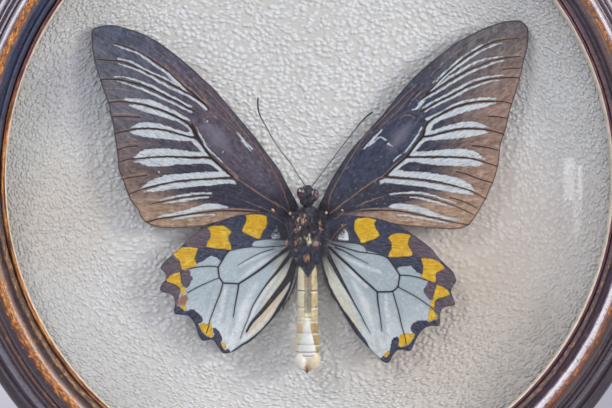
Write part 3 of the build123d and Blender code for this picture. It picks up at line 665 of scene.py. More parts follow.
NG = 292
gx, gz = disc_grid(NG, R_DISH)
gr = np.hypot(gx, gz)
front = np.stack([gx, -dish_d(gr), gz], -1)
idx = np.arange((NG + 1) ** 2).reshape(NG + 1, NG + 1)
quads = np.stack([idx[:-1, :-1], idx[1:, :-1], idx[1:, 1:], idx[:-1, 1:]], -1).reshape(-1, 4)
border = np.concatenate([idx[:-1, 0], idx[-1, :-1], idx[:0:-1, -1], idx[0, :0:-1]])
verts = [tuple(p) for p in front]
faces = [tuple(q) for q in quads]
back_r = [107.0, 104.3, 98, 90, 81, 72, 64, 48, 32, 16]
prev = list(border)
nb = len(border)
step = 8
for bi, br in enumerate(back_r):
    ids = prev if bi else border
    here = []
    pick = border if bi == 0 else border[::step]
    for j in pick:
        x, z = gx[j] / R_DISH * br, gz[j] / R_DISH * br
        here.append(len(verts))
        verts.append((x, -(float(dish_d(br)) - T_DISH), z))
    if bi == 0:
        for k in range(nb):
            faces.append((prev[k], prev[(k + 1) % nb], here[(k + 1) % nb], here[k]))
    elif bi == 1:
        m = len(here)
        for k in range(m):
            o = k * step
            for s in range(step):
                faces.append((prev[(o + s) % nb], prev[(o + s + 1) % nb], here[k]))
            faces.append((prev[(o + step) % nb], here[(k + 1) % m], here[k]))
    else:
        m = len(here)
        for k in range(m):
            faces.append((prev[k], prev[(k + 1) % m], here[(k + 1) % m], here[k]))
    prev = here
mid = len(verts)
verts.append((0, -(D_FLAT - T_DISH), 0))
for k in range(len(prev)):
    faces.append((prev[k], prev[(k + 1) % len(prev)], mid))
backing = out_of(new_mesh("backing", verts, faces))

# the paper's grain runs closer together on the rim that was pressed up
allv = np.array(verts)
vr = np.hypot(allv[:, 0], allv[:, 2])
r_map = vr + 0.45 * np.clip(vr - 74, 0, None) + 0.010 * np.clip(vr - 74, 0, None) ** 2
k_map = np.where(vr > 0, r_map / np.maximum(vr, 1e-6), 1)
grain_xyz = np.stack([allv[:, 0] * k_map / 1.80, allv[:, 2] * k_map / 1.40, np.where(allv[:, 1] > -dish_d(vr) + 0.6, 9.0, 0.0)], -1)
warp = np.stack([wave(allv[:, [0, 2]], 21, 6, 0.01, 0.06), wave(allv[:, [0, 2]], 22, 6, 0.01, 0.06), np.zeros(len(allv))], -1)
vector_attr(backing, "grain", grain_xyz + 0.5 * warp)
float_attr(backing, "emboss", (np.abs(allv[:, 1] + dish_d(vr)) < 0.05) * 1.0)


def emboss_shape(ob, depth):
    """Presses the grain pattern into the front of the paper, by the same noise as its shader."""
    ng = bpy.data.node_groups.new("press", "GeometryNodeTree")
    ng.interface.new_socket("Geometry", in_out="INPUT", socket_type="NodeSocketGeometry")
    ng.interface.new_socket("Geometry", in_out="OUTPUT", socket_type="NodeSocketGeometry")
    N = ng.nodes.new
    L = ng.links.new
    gi, go = N("NodeGroupInput"), N("NodeGroupOutput")
    at_g = N("GeometryNodeInputNamedAttribute")
    at_g.data_type = "FLOAT_VECTOR"
    at_g.inputs["Name"].default_value = "grain"
    at_e = N("GeometryNodeInputNamedAttribute")
    at_e.data_type = "FLOAT"
    at_e.inputs["Name"].default_value = "emboss"
    nz = N("ShaderNodeTexNoise")
    nz.inputs["Scale"].default_value = 0.9
    nz.inputs["Detail"].default_value = 2.0
    L(at_g.outputs["Attribute"], nz.inputs["Vector"])
    sub = N("ShaderNodeVectorMath")
    sub.operation = "SUBTRACT"
    sub.inputs[1].default_value = (0.5, 0.5, 0.5)
    L(nz.outputs["Color"], sub.inputs[0])
    sc = N("ShaderNodeVectorMath")
    sc.operation = "MULTIPLY"
    sc.inputs[1].default_value = (0.5, 0.5, 0.0)
    L(sub.outputs["Vector"], sc.inputs[0])
    ad = N("ShaderNodeVectorMath")
    ad.operation = "ADD"
    L(at_g.outputs["Attribute"], ad.inputs[0])
    L(sc.outputs["Vector"], ad.inputs[1])
    vo = N("ShaderNodeTexVoronoi")
    vo.feature = "SMOOTH_F1"
    vo.inputs["Scale"].default_value = 1.0
    vo.inputs["Smoothness"].default_value = 0.35
    L(ad.outputs["Vector"], vo.inputs["Vector"])
    mr = N("ShaderNodeMapRange")
    mr.inputs["From Min"].default_value = 0.15
    mr.inputs["From Max"].default_value = 0.75
    mr.inputs["To Min"].default_value = depth * MM
    mr.inputs["To Max"].default_value = -depth * MM
    L(vo.outputs["Distance"], mr.inputs["Value"])
    mu = N("ShaderNodeMath")
    mu.operation = "MULTIPLY"
    L(mr.outputs["Result"], mu.inputs[0])
    L(at_e.outputs["Attribute"], mu.inputs[1])
    nrm = N("GeometryNodeInputNormal")
    vs = N("ShaderNodeVectorMath")
    vs.operation = "SCALE"
    L(nrm.outputs["Normal"], vs.inputs[0])
    L(mu.outputs[0], vs.inputs["Scale"])
    sp = N("GeometryNodeSetPosition")
    L(gi.outputs[0], sp.inputs["Geometry"])
    L(vs.outputs["Vector"], sp.inputs["Offset"])
    L(sp.outputs["Geometry"], go.inputs[0])
    md = ob.modifiers.new("press", "NODES")
    md.node_group = ng
    dg = bpy.context.evaluated_depsgraph_get()
    me = bpy.data.meshes.new_from_object(ob.evaluated_get(dg))
    ob.modifiers.clear()
    ob.data = me
    bpy.data.node_groups.remove(ng)


emboss_shape(backing, 0.035)
w = Mat("leatherette", rough=0.5, spec=0.45, sheen=0.1, sheen_rough=0.4)
G = w.attr("grain", "Vector")
warped = w.vmath("ADD", G, w.scale(w.vmath("SUBTRACT", w.noise(G, 0.9, 2, 0.5, colour=True), (0.5, 0.5, 0.5)), (0.5, 0.5, 0.0)))
v1 = w.vor(warped, 1.0, "SMOOTH_F1", smooth=0.35)
v2 = w.vor(warped, 1.0, "DISTANCE_TO_EDGE")
fine = w.noise(G, 7.0, 3, 0.6)
mid_n = w.noise(G, 1.1, 2, 0.5)
height = w.math("ADD", w.mr(v1, 0.10, 0.74, 1.0, 0.0), w.math("ADD", w.math("MULTIPLY", mid_n, 0.4), w.math("MULTIPLY", fine, 0.02)))
tone = w.noise(w.obj(), 18.0, 3, 0.5)
ox, oy, oz = w.sep(w.obj())
c0 = w.ramp(tone, [(0.3, lin(223, 224, 225)), (0.7, lin(234, 235, 236))])
# a warm darker patch right of the body: a painted shadow of the right wings
warm_r = w.vmath("LENGTH", w.comb(w.math("SUBTRACT", ox, 0.066), 0.0, w.math("ADD", oz, 0.016)))
warm_painted_shade = w.mr(w.math("ADD", warm_r, w.mr(tone, 0.3, 0.7, -0.006, 0.006, smooth=False)), 0.050, 0.014)
c0 = w.mix(w.math("MULTIPLY", warm_painted_shade, 0.75), c0, lin(214, 199, 188))
# painted shade in the hollows of the grain and a painted highlight on its tops
c0 = w.mix(w.mr(v1, 0.34, 0.70, 0.0, 0.55), c0, lin(194, 188, 180))
c0 = w.mix(w.mr(v1, 0.34, 0.16, 0.0, 0.35), c0, lin(238, 241, 246))
c0 = w.mix(w.mr(w.vor(warped, 1.0, "F1", out="Color"), 0.0, 1.0, 0.0, 0.10, smooth=False), c0, lin(206, 202, 198))
rr = w.vmath("LENGTH", w.comb(ox, 0.0, oz))
deep = w.math("MULTIPLY", w.mr(warm_r, 0.012, 0.045, 0.45, 1.0), w.mr(rr, 0.080, 0.100, 1.0, 1.2))
height = w.math("MULTIPLY", height, deep)
# painted shade: the paper darker towards the top
top_painted_shade = w.mr(oz, 0.018, 0.058, 0.0, 0.20)
c0 = w.mix(top_painted_shade, c0, w.hsv(c0, 0.5, 1.0, 0.90))
# soft darker patches: painted shadows of the wings and of the moulding on the paper
for fx, fz, fr, amount, shadow_tint in [(0.052, -0.052, 0.044, 0.72, (200, 187, 174)), (-0.087, -0.014, 0.024, 0.45, (214, 200, 186)), (-0.081, 0.031, 0.017, 0.55, (182, 182, 194)), (-0.099, 0.020, 0.020, 0.30, (204, 206, 198))]:
    near = w.vmath("LENGTH", w.comb(w.math("SUBTRACT", ox, fx), 0.0, w.math("SUBTRACT", oz, fz)))
    near = w.math("ADD", near, w.mr(tone, 0.3, 0.7, -0.004, 0.004, smooth=False))
    c0 = w.mix(w.mr(near, fr * 1.15, fr * 0.35, 0.0, amount), c0, lin(*shadow_tint))
rim_light = w.math("MULTIPLY", w.mr(rr, 0.068, 0.090), w.mr(ox, -0.060, -0.030))
c0 = w.mix(rim_light, c0, w.hsv(c0, 0.5, 1.0, 1.12))
mat_paper = w.out(c0, w.mr(fine, 0.3, 0.7, 0.40, 0.56, smooth=False), w.bump(height, 1.0, 0.00050))
put(backing, mat_paper, replaces="backing_dish")


# ------------------------------------------------------------------ traced outlines and markings, mm
FORE_L_OUT = [(-74.0, 49.7), (-73.7, 50.8), (-73.1, 51.4), (-71.7, 51.8), (-70.0, 52.3), (-68.0, 52.5), (-66.0, 52.4), (-64.3, 52.1), (-61.5, 51.3), (-58.5, 50.4), (-55.4, 49.1), (-52.3, 47.5), (-49.6, 45.8), (-47.2, 44.0), (-44.5, 42.0), (-41.7, 39.7), (-39.0, 37.4), (-36.2, 34.7), (-33.5, 32.3), (-31.1, 29.9), (-29.2, 27.6), (-26.6, 24.6), (-23.2, 20.6), (-19.7, 16.5), (-17.3, 13.6), (-14.9, 10.3), (-12.8, 7.5), (-10.0, 3.8), (-8.0, 0.3), (-6.6, -2.4), (-4.8, -5.7), (-3.1, -9.3), (-3.1, -12.8), (-5.9, -13.8), (-9.3, -14.3), (-14.5, -14.5), (-21.4, -14.5), (-28.3, -15.0), (-32.5, -15.5), (-35.6, -16.2), (-38.6, -16.6), (-42.1, -16.9), (-45.2, -17.0), (-49.6, -16.8), (-52.0, -16.4), (-54.0, -15.8), (-55.9, -14.6), (-57.4, -12.8), (-58.1, -10.7), (-59.5, -9.0), (-60.9, -7.1), (-61.9, -4.5), (-62.6, -2.8), (-63.2, -0.8), (-64.1, 1.3), (-64.8, 3.3), (-65.0, 5.0), (-65.1, 7.1), (-65.3, 9.1), (-65.6, 11.2), (-66.0, 13.6), (-66.3, 16.0), (-66.6, 17.7), (-67.1, 20.4), (-67.6, 21.8), (-67.9, 23.1), (-67.9, 24.5), (-68.3, 25.9), (-69.0, 27.6), (-69.7, 29.6), (-70.4, 31.3), (-70.9, 33.3), (-71.4, 34.7), (-72.1, 36.8), (-72.6, 38.5), (-73.1, 40.5), (-73.4, 42.5), (-73.8, 44.6), (-73.9, 47.3)]
FORE_R_OUT = [(76.8, 50.9), (76.6, 52.2), (76.1, 53.0), (75.0, 54.2), (74.1, 54.8), (72.4, 55.0), (70.7, 54.9), (67.6, 54.4), (64.5, 53.4), (61.0, 52.1), (57.9, 50.6), (54.4, 48.8), (50.9, 46.7), (47.8, 44.3), (44.3, 41.7), (40.9, 38.8), (37.4, 35.7), (34.3, 32.2), (31.5, 28.9), (28.8, 25.6), (26.0, 22.1), (22.9, 18.7), (19.9, 15.3), (17.3, 12.5), (14.6, 9.3), (12.5, 6.2), (10.4, 3.1), (8.7, 0.2), (7.1, -2.8), (5.6, -6.2), (4.2, -9.3), (4.2, -12.8), (6.9, -13.8), (10.4, -14.4), (15.6, -14.5), (22.5, -14.7), (29.4, -15.6), (35.7, -16.4), (40.9, -16.8), (45.7, -17.2), (48.8, -17.4), (51.6, -17.4), (53.7, -17.0), (55.8, -16.1), (57.3, -14.5), (58.6, -12.8), (59.8, -10.7), (61.0, -8.6), (62.2, -6.6), (63.2, -4.1), (64.3, -1.9), (65.1, 0.5), (65.9, 3.1), (66.5, 5.9), (66.7, 8.0), (67.0, 10.1), (67.2, 12.1), (68.1, 14.7), (69.0, 17.3), (69.7, 20.5), (70.4, 23.6), (71.2, 26.2), (72.1, 28.9), (72.9, 31.5), (73.7, 34.3), (74.5, 37.4), (75.1, 40.4), (75.8, 43.0), (76.4, 45.7), (76.7, 48.2)]
HIND_L_OUT = [(-2.8, -23.1), (-2.8, -16.9), (-5.9, -13.8), (-9.4, -12.6), (-12.8, -11.9), (-15.6, -11.7), (-18.4, -11.8), (-20.8, -12.1), (-23.5, -12.5), (-25.9, -13.1), (-29.0, -14.1), (-31.8, -15.2), (-34.5, -16.5), (-38.3, -18.6), (-40.7, -20.3), (-43.1, -23.0), (-46.5, -26.1), (-48.9, -28.2), (-50.2, -29.9), (-50.2, -30.9), (-48.9, -32.3), (-48.5, -33.6), (-49.0, -35.0), (-49.9, -36.0), (-50.6, -37.7), (-49.9, -38.8), (-48.2, -39.1), (-46.5, -39.8), (-45.6, -41.5), (-45.6, -43.9), (-45.8, -45.3), (-45.3, -46.3), (-43.1, -46.7), (-41.0, -47.0), (-39.3, -48.8), (-38.3, -50.8), (-37.8, -52.5), (-37.3, -53.9), (-35.9, -55.6), (-34.2, -55.3), (-32.5, -55.3), (-31.1, -57.1), (-29.7, -59.1), (-28.5, -60.0), (-25.9, -59.5), (-22.5, -57.8), (-19.0, -55.4), (-15.6, -52.2), (-12.2, -48.6), (-8.7, -44.1), (-6.6, -40.0), (-4.9, -35.4), (-3.9, -30.7), (-3.2, -26.9)]
HIND_R_OUT = [(3.7, -23.1), (3.7, -17.6), (6.2, -14.5), (9.3, -13.1), (12.7, -12.6), (16.9, -12.7), (20.7, -13.1), (24.8, -13.8), (29.3, -15.2), (32.8, -16.9), (36.3, -19.0), (39.7, -21.4), (43.2, -24.2), (45.3, -27.0), (48.0, -29.7), (50.5, -32.2), (51.5, -35.1), (50.5, -37.0), (49.8, -38.4), (50.1, -40.1), (51.2, -42.9), (50.5, -43.8), (48.4, -44.1), (46.7, -45.0), (46.0, -46.7), (46.0, -49.4), (45.3, -50.8), (42.5, -50.8), (40.1, -52.0), (38.3, -54.3), (37.0, -57.0), (35.6, -59.4), (33.5, -59.1), (31.4, -59.1), (29.7, -60.8), (28.6, -62.9), (27.4, -63.6), (25.5, -62.5), (24.1, -61.1), (20.7, -57.7), (16.9, -53.5), (13.8, -48.7), (11.0, -43.9), (7.9, -38.3), (6.2, -32.8), (4.8, -27.3)]
FORE_L = {
    "pale": [
        [(-64.32,27.09),(-62.79,27.41),(-61.27,27.49),(-58.41,27.27),(-55.55,27.15),(-53.13,26.58),(-50.75,25.4),(-48.36,24.18),(-45.97,22.99),(-44.05,21.8),(-41.9,20.61),(-40.94,19.9),(-41.66,19.86),(-43.58,20.57),(-45.97,21.76),(-48.36,22.88),(-50.75,23.89),(-53.13,24.73),(-56.03,25.57),(-59.36,26.27),(-62.46,26.52)],
        [(-62.46,25.05),(-60.31,25.34),(-57.46,24.84),(-54.6,24.04),(-51.7,23.2),(-48.84,22.02),(-46.45,20.97),(-44.05,19.64),(-42.14,18.21),(-40.7,16.54),(-40.15,15.24),(-40.46,14.69),(-41.66,14.82),(-43.58,15.29),(-45.97,16.0),(-48.36,16.71),(-51.22,17.18),(-53.13,17.51),(-55.55,17.63),(-58.41,17.48),(-61.64,17.33),(-60.31,18.36),(-58.89,18.99),(-56.98,19.34),(-55.08,19.35),(-53.41,19.12),(-51.22,18.78),(-49.79,18.18),(-48.36,17.7),(-46.45,17.09),(-44.05,16.39),(-42.38,15.91),(-41.42,16.12),(-41.76,17.01),(-42.86,17.97),(-44.29,18.92),(-45.97,19.87),(-48.36,20.48),(-49.79,21.05),(-52.18,21.66),(-55.08,22.36),(-57.46,23.17),(-60.31,24.11)],
        [(-62.59,15.82),(-61.27,16.31),(-58.41,16.7),(-55.08,16.75),(-52.18,16.59),(-49.31,16.02),(-46.92,15.41),(-44.53,14.6),(-42.14,14.13),(-40.22,13.9),(-39.09,13.11),(-37.79,11.61),(-36.35,9.55),(-34.98,7.77),(-36.18,7.87),(-40.22,7.76),(-44.05,7.81),(-47.4,7.84),(-50.27,7.83),(-53.13,7.79),(-55.55,7.57),(-58.41,7.09),(-60.55,7.08),(-59.36,8.42),(-58.17,9.24),(-56.74,9.97),(-54.12,10.21),(-51.22,10.36),(-48.36,10.23),(-45.49,10.0),(-43.1,9.67),(-40.46,9.2),(-37.55,9.24),(-38.51,10.51),(-39.74,11.74),(-40.94,12.93),(-43.1,12.93),(-45.49,13.16),(-47.88,13.49),(-49.79,13.72),(-52.18,13.88),(-54.6,14.08),(-56.51,14.35),(-58.41,14.78),(-60.31,15.25)],
        [(-60.76,5.92),(-58.41,6.37),(-55.55,6.86),(-52.66,7.1),(-49.79,7.11),(-46.45,7.12),(-43.1,6.96),(-39.74,6.83),(-36.18,6.94),(-34.47,6.67),(-33.09,5.72),(-31.03,3.73),(-28.97,2.01),(-27.25,0.78),(-31.03,0.67),(-36.18,0.21),(-39.23,0.04),(-42.62,-0.21),(-45.97,-0.56),(-48.84,-1.18),(-51.7,-1.66),(-54.12,-2.28),(-56.03,-2.86),(-58.51,-3.58),(-56.98,-2.28),(-55.08,-0.81),(-53.13,0.02),(-51.22,0.64),(-49.79,1.22),(-48.36,1.36),(-45.01,1.61),(-41.32,2.02),(-37.89,2.27),(-34.47,2.42),(-31.38,2.56),(-32.41,3.55),(-33.78,4.65),(-35.49,5.23),(-37.89,5.39),(-41.66,4.97),(-43.58,4.87),(-45.49,4.96),(-47.88,4.58),(-49.79,4.34),(-52.66,4.33),(-55.31,4.32),(-56.98,4.7),(-58.41,5.31)],
        [(-57.15,-4.54),(-55.55,-3.72),(-53.13,-3.0),(-50.27,-2.14),(-47.4,-1.52),(-44.05,-1.17),(-40.22,-0.86),(-36.18,-0.54),(-31.03,-0.22),(-26.57,-0.39),(-25.53,-1.25),(-25.43,-1.97),(-27.6,-1.53),(-31.03,-1.81),(-34.47,-2.29),(-39.23,-2.54),(-42.62,-2.81),(-45.97,-3.37),(-48.84,-3.78),(-51.7,-4.23),(-54.6,-4.4)],
        [(-52.59,-13.06),(-49.86,-12.21),(-46.45,-11.49),(-43.03,-10.74),(-39.61,-9.71),(-36.18,-8.64),(-33.78,-8.4),(-31.03,-8.75),(-28.97,-9.43),(-28.11,-9.88),(-30.35,-10.16),(-34.47,-10.5),(-38.58,-11.12),(-41.32,-11.73),(-44.74,-12.28),(-48.84,-12.93),(-52.59,-13.37)],
    ],
    "strokes": [
        (0.28,0.69,0.55,'p',[(-67.21,45.61),(-64.49,44.82),(-61.78,43.82),(-59.4,42.99),(-56.68,41.3),(-54.29,39.61),(-51.57,37.75),(-49.18,36.06),(-47.47,34.33),(-45.42,32.35)]),
        (0.41,0.62,0.55,'p',[(-49.52,36.71),(-47.47,35.11),(-45.76,33.31),(-44.05,31.4),(-42.34,29.84),(-40.81,28.34)]),
        (0.17,0.35,0.28,'t',[(-61.44,45.5),(-58.38,43.92),(-54.97,41.87),(-52.25,39.97),(-49.52,37.84),(-47.47,35.9),(-45.42,34.0),(-43.37,32.09),(-41.66,30.39)]),
        (0.17,0.35,0.28,'t',[(-50.2,39.44),(-47.47,37.07),(-44.74,34.55),(-42.34,31.83),(-41.15,30.46)]),
        (0.14,0.31,0.28,'t',[(-62.79,49.01),(-60.08,47.91),(-57.36,46.6),(-54.29,44.75),(-51.57,42.89),(-48.84,40.52),(-46.11,38.14),(-43.37,35.59),(-40.63,33.01)]),
        (0.35,0.72,0.41,'p',[(-65.85,40.95),(-63.71,40.59),(-61.81,40.03),(-59.91,39.19),(-58.0,38.14),(-56.1,37.07),(-54.19,36.23),(-51.8,35.29),(-49.42,34.11),(-47.51,33.06),(-45.35,31.87)]),
        (0.35,0.79,0.83,'p',[(-65.61,39.38),(-63.71,38.68),(-61.81,38.11),(-59.91,37.41),(-58.0,36.57),(-56.1,35.63),(-54.19,34.69),(-51.8,33.27),(-49.42,32.08),(-47.51,31.0),(-45.11,29.96),(-42.72,28.77),(-39.68,27.11),(-37.21,25.34),(-35.67,23.87)]),
        (0.35,0.86,0.55,'p',[(-66.8,34.83),(-64.66,34.84),(-62.29,34.38),(-60.38,33.92),(-58.48,33.32),(-56.57,32.51),(-54.67,31.81),(-52.76,30.73),(-50.37,29.68),(-47.98,28.36),(-45.59,27.18),(-43.2,25.75),(-40.81,24.7)]),
        (0.35,0.83,0.52,'p',[(-66.09,33.26),(-63.71,32.7),(-61.33,31.86),(-59.43,31.29),(-57.05,30.35),(-54.67,29.41),(-52.28,28.33),(-49.89,27.15),(-47.51,26.1),(-45.11,24.92),(-42.72,23.73),(-40.81,22.88)]),
        (0.28,0.79,0.52,'p',[(-51.57,-7.41),(-49.18,-6.73),(-46.45,-6.18),(-43.03,-5.56),(-39.61,-5.08),(-36.87,-4.97),(-34.12,-5.07)]),
        (0.28,0.76,0.55,'p',[(-50.54,-8.51),(-47.47,-7.96),(-43.03,-7.2),(-40.63,-6.86),(-37.89,-6.52),(-34.98,-6.41)]),
        (0.28,0.76,0.35,'p',[(-47.47,-13.99),(-44.74,-13.44),(-41.32,-12.9),(-37.89,-12.52),(-35.15,-12.42),(-32.75,-12.35)]),
        (0.31,0.55,0.38,'p',[(-38.92,17.61),(-38.24,15.72),(-36.87,13.47),(-35.84,11.27),(-34.12,9.22),(-32.06,7.51),(-30.35,5.79)]),
        (0.35,0.55,0.41,'m',[(-30.69,6.13),(-28.97,4.42),(-26.91,2.6),(-24.84,0.64)]),
        (0.41,0.59,0.48,'m',[(-28.28,2.7),(-25.53,0.3),(-22.43,-1.76),(-18.99,-4.1),(-15.54,-6.34),(-12.08,-8.54),(-10.7,-9.68)]),
        (0.28,0.41,0.41,'t',[(-32.41,22.62),(-30.35,21.05),(-27.94,18.69),(-25.53,16.64),(-24.5,15.44)]),
        (0.31,0.59,0.31,'p',[(-25.36,16.12),(-23.64,14.21),(-21.92,12.28),(-20.02,10.47)]),
        (0.17,0.35,0.17,'p',[(-23.64,13.21),(-22.09,11.46),(-20.37,9.6)]),
        (0.41,0.62,0.41,'r',[(-37.38,20.88),(-36.35,21.98),(-34.81,22.88),(-33.44,23.1),(-32.06,22.28)]),
        (0.28,0.41,0.28,'t',[(-36.52,20.37),(-35.15,21.44),(-33.44,21.52),(-32.24,20.8)]),
        (0.45,0.52,0.28,'t',[(-7.06,-10.71),(-7.76,-8.3),(-8.62,-5.71),(-9.83,-2.43),(-11.73,1.18),(-13.81,4.46),(-15.88,7.55),(-17.61,9.96),(-20.02,12.7),(-22.09,15.11),(-24.16,17.68),(-25.88,20.08),(-28.28,22.64),(-31.03,25.72),(-33.78,28.63),(-36.87,31.52),(-40.29,34.72)]),
        (0.21,0.35,0.28,'r',[(-8.97,-7.61),(-10.01,-3.81),(-11.73,-0.37),(-14.5,4.11),(-16.92,7.72),(-18.99,10.13),(-21.4,12.7),(-23.81,15.62),(-26.22,18.53),(-28.97,21.61),(-31.72,24.69),(-34.81,27.76),(-37.89,30.83)]),
        (0.28,0.41,0.28,'t',[(-41.32,34.03),(-39.26,31.64),(-37.21,28.91),(-35.49,26.55),(-33.78,24.33)]),
        (0.28,0.48,0.35,'t',[(-41.32,31.49),(-39.26,29.31),(-37.21,27.2),(-35.15,25.63)]),
        (0.28,0.41,0.21,'t',[(-66.19,10.62),(-64.15,11.51),(-61.78,12.0),(-58.38,12.22),(-54.97,12.3)]),
        (0.28,0.41,0.21,'t',[(-64.59,0.37),(-62.46,1.06),(-59.36,1.58),(-55.99,2.03)]),
        (0.28,0.35,0.21,'t',[(-67.95,22.08),(-65.51,22.23),(-62.69,22.11),(-59.4,21.93)]),
        (0.28,0.35,0.21,'t',[(-68.9,26.72),(-67.21,26.87),(-65.51,27.02),(-63.81,27.23)]),
        (0.21,0.31,0.17,'t',[(-69.92,30.74),(-67.54,30.89),(-64.49,30.64),(-61.44,29.98)]),
        (0.28,0.38,0.21,'t',[(-60.25,-9.05),(-58.38,-8.1),(-55.65,-7.21),(-52.93,-6.52)]),
        (0.28,0.38,0.21,'t',[(-58.04,-10.83),(-55.65,-9.67),(-52.93,-8.58)]),
        (0.35,0.52,0.28,'o',[(-28.97,-10.4),(-25.53,-10.33),(-22.09,-10.5),(-18.64,-10.99)]),
        (0.21,0.35,0.21,'m',[(-22.09,-7.78),(-19.33,-8.82),(-16.57,-9.95),(-13.12,-11.4),(-10.35,-12.78)]),
    ],
    "veins": [
        (0.28,0.52,'k',[(-67.54,46.33),(-65.17,45.84),(-61.78,44.68),(-58.38,43.17),(-54.97,41.15),(-51.57,38.95),(-48.84,36.92),(-46.45,34.54),(-43.71,32.16),(-41.15,29.95),(-38.58,27.74),(-35.84,25.35)]),
        (0.28,0.52,'k',[(-72.96,40.75),(-70.59,40.56),(-67.99,40.31),(-66.09,40.23),(-63.71,39.77),(-61.33,38.83),(-58.95,37.9),(-56.57,36.82),(-54.19,35.64),(-51.33,34.33),(-48.46,32.81),(-45.59,31.15),(-42.72,29.73),(-39.68,27.87),(-36.87,26.03),(-34.81,23.98)]),
        (0.35,0.52,'k',[(-71.78,33.7),(-70.36,33.95),(-67.99,33.96),(-65.61,33.88),(-63.24,33.42),(-60.86,32.82),(-58.48,32.26),(-56.1,31.42),(-53.71,30.48),(-51.33,29.3),(-48.94,28.01),(-46.55,26.93),(-44.16,25.75),(-42.24,24.45),(-39.68,23.1)]),
        (0.35,0.55,'k',[(-69.41,25.9),(-66.49,26.26),(-63.64,26.28),(-60.31,25.85),(-56.98,25.22),(-53.64,24.39),(-50.75,23.44),(-47.88,22.26),(-45.49,21.08),(-43.1,19.89),(-41.66,18.69),(-40.22,16.75),(-39.26,14.69)]),
        (0.41,0.48,'k',[(-67.24,15.22),(-65.78,15.71),(-64.12,16.06),(-62.22,16.44),(-60.31,16.93),(-57.46,17.15),(-54.6,17.19),(-51.7,16.9),(-48.84,16.43),(-46.45,15.79),(-44.05,15.08),(-41.66,14.48),(-39.47,14.14),(-37.79,12.98)]),
        (0.35,0.52,'k',[(-66.02,5.36),(-63.41,6.36),(-61.74,6.74),(-59.36,6.85),(-56.98,7.09),(-53.64,7.41),(-50.27,7.56),(-46.92,7.57),(-43.1,7.37),(-40.22,7.28),(-36.18,7.39),(-33.78,6.95)]),
        (0.35,0.48,'b',[(-62.79,-5.4),(-60.31,-4.61),(-58.41,-3.79),(-56.03,-3.17),(-53.13,-2.38),(-49.79,-1.66),(-46.45,-1.04),(-43.1,-0.52),(-39.74,-0.27),(-36.18,-0.13),(-31.03,0.26),(-26.57,0.44)]),
        (0.21,0.31,'b',[(-54.97,-8.85),(-52.25,-8.1),(-48.15,-7.34),(-44.74,-6.66),(-41.32,-6.04),(-37.89,-5.73),(-33.78,-5.66)]),
        (0.35,0.45,'b',[(-55.99,-14.8),(-52.25,-13.75),(-48.84,-13.27),(-44.74,-12.69),(-41.32,-12.21),(-37.89,-11.66),(-32.75,-11.05),(-28.28,-10.91),(-22.43,-11.12),(-17.95,-11.4)]),
        (0.62,0.76,'k',[(-40.63,18.8),(-39.78,17.09),(-38.92,15.04),(-37.72,12.81),(-36.18,10.24),(-34.12,7.67),(-31.72,5.27),(-28.97,2.87),(-26.57,0.81)]),
        (0.35,0.41,'k',[(-66.19,9.66),(-64.15,10.49),(-61.78,11.04),(-59.06,11.26)]),
        (0.28,0.35,'k',[(-64.83,-0.58),(-62.46,0.24),(-59.4,0.72),(-55.99,1.28)]),
        (0.35,0.41,'k',[(-67.71,21.06),(-65.51,21.21),(-62.46,21.22),(-58.38,20.97)]),
    ],
    "glow": [
        (2.76,5.87,2.42,[(-36.18,18.14),(-33.78,16.09),(-31.03,13.35),(-28.28,9.92)]),
    ],
    "dots": [
        (-51.94,2.31,0.35,'p'),
        (-56.51,12.4,0.35,'t'),
        (-35.32,19.86,0.35,'p'),
        (-30.07,9.23,0.31,'p'),
        (-40.98,22.92,0.38,'p'),
        (-49.18,31.95,0.24,'p'),
    ],
}
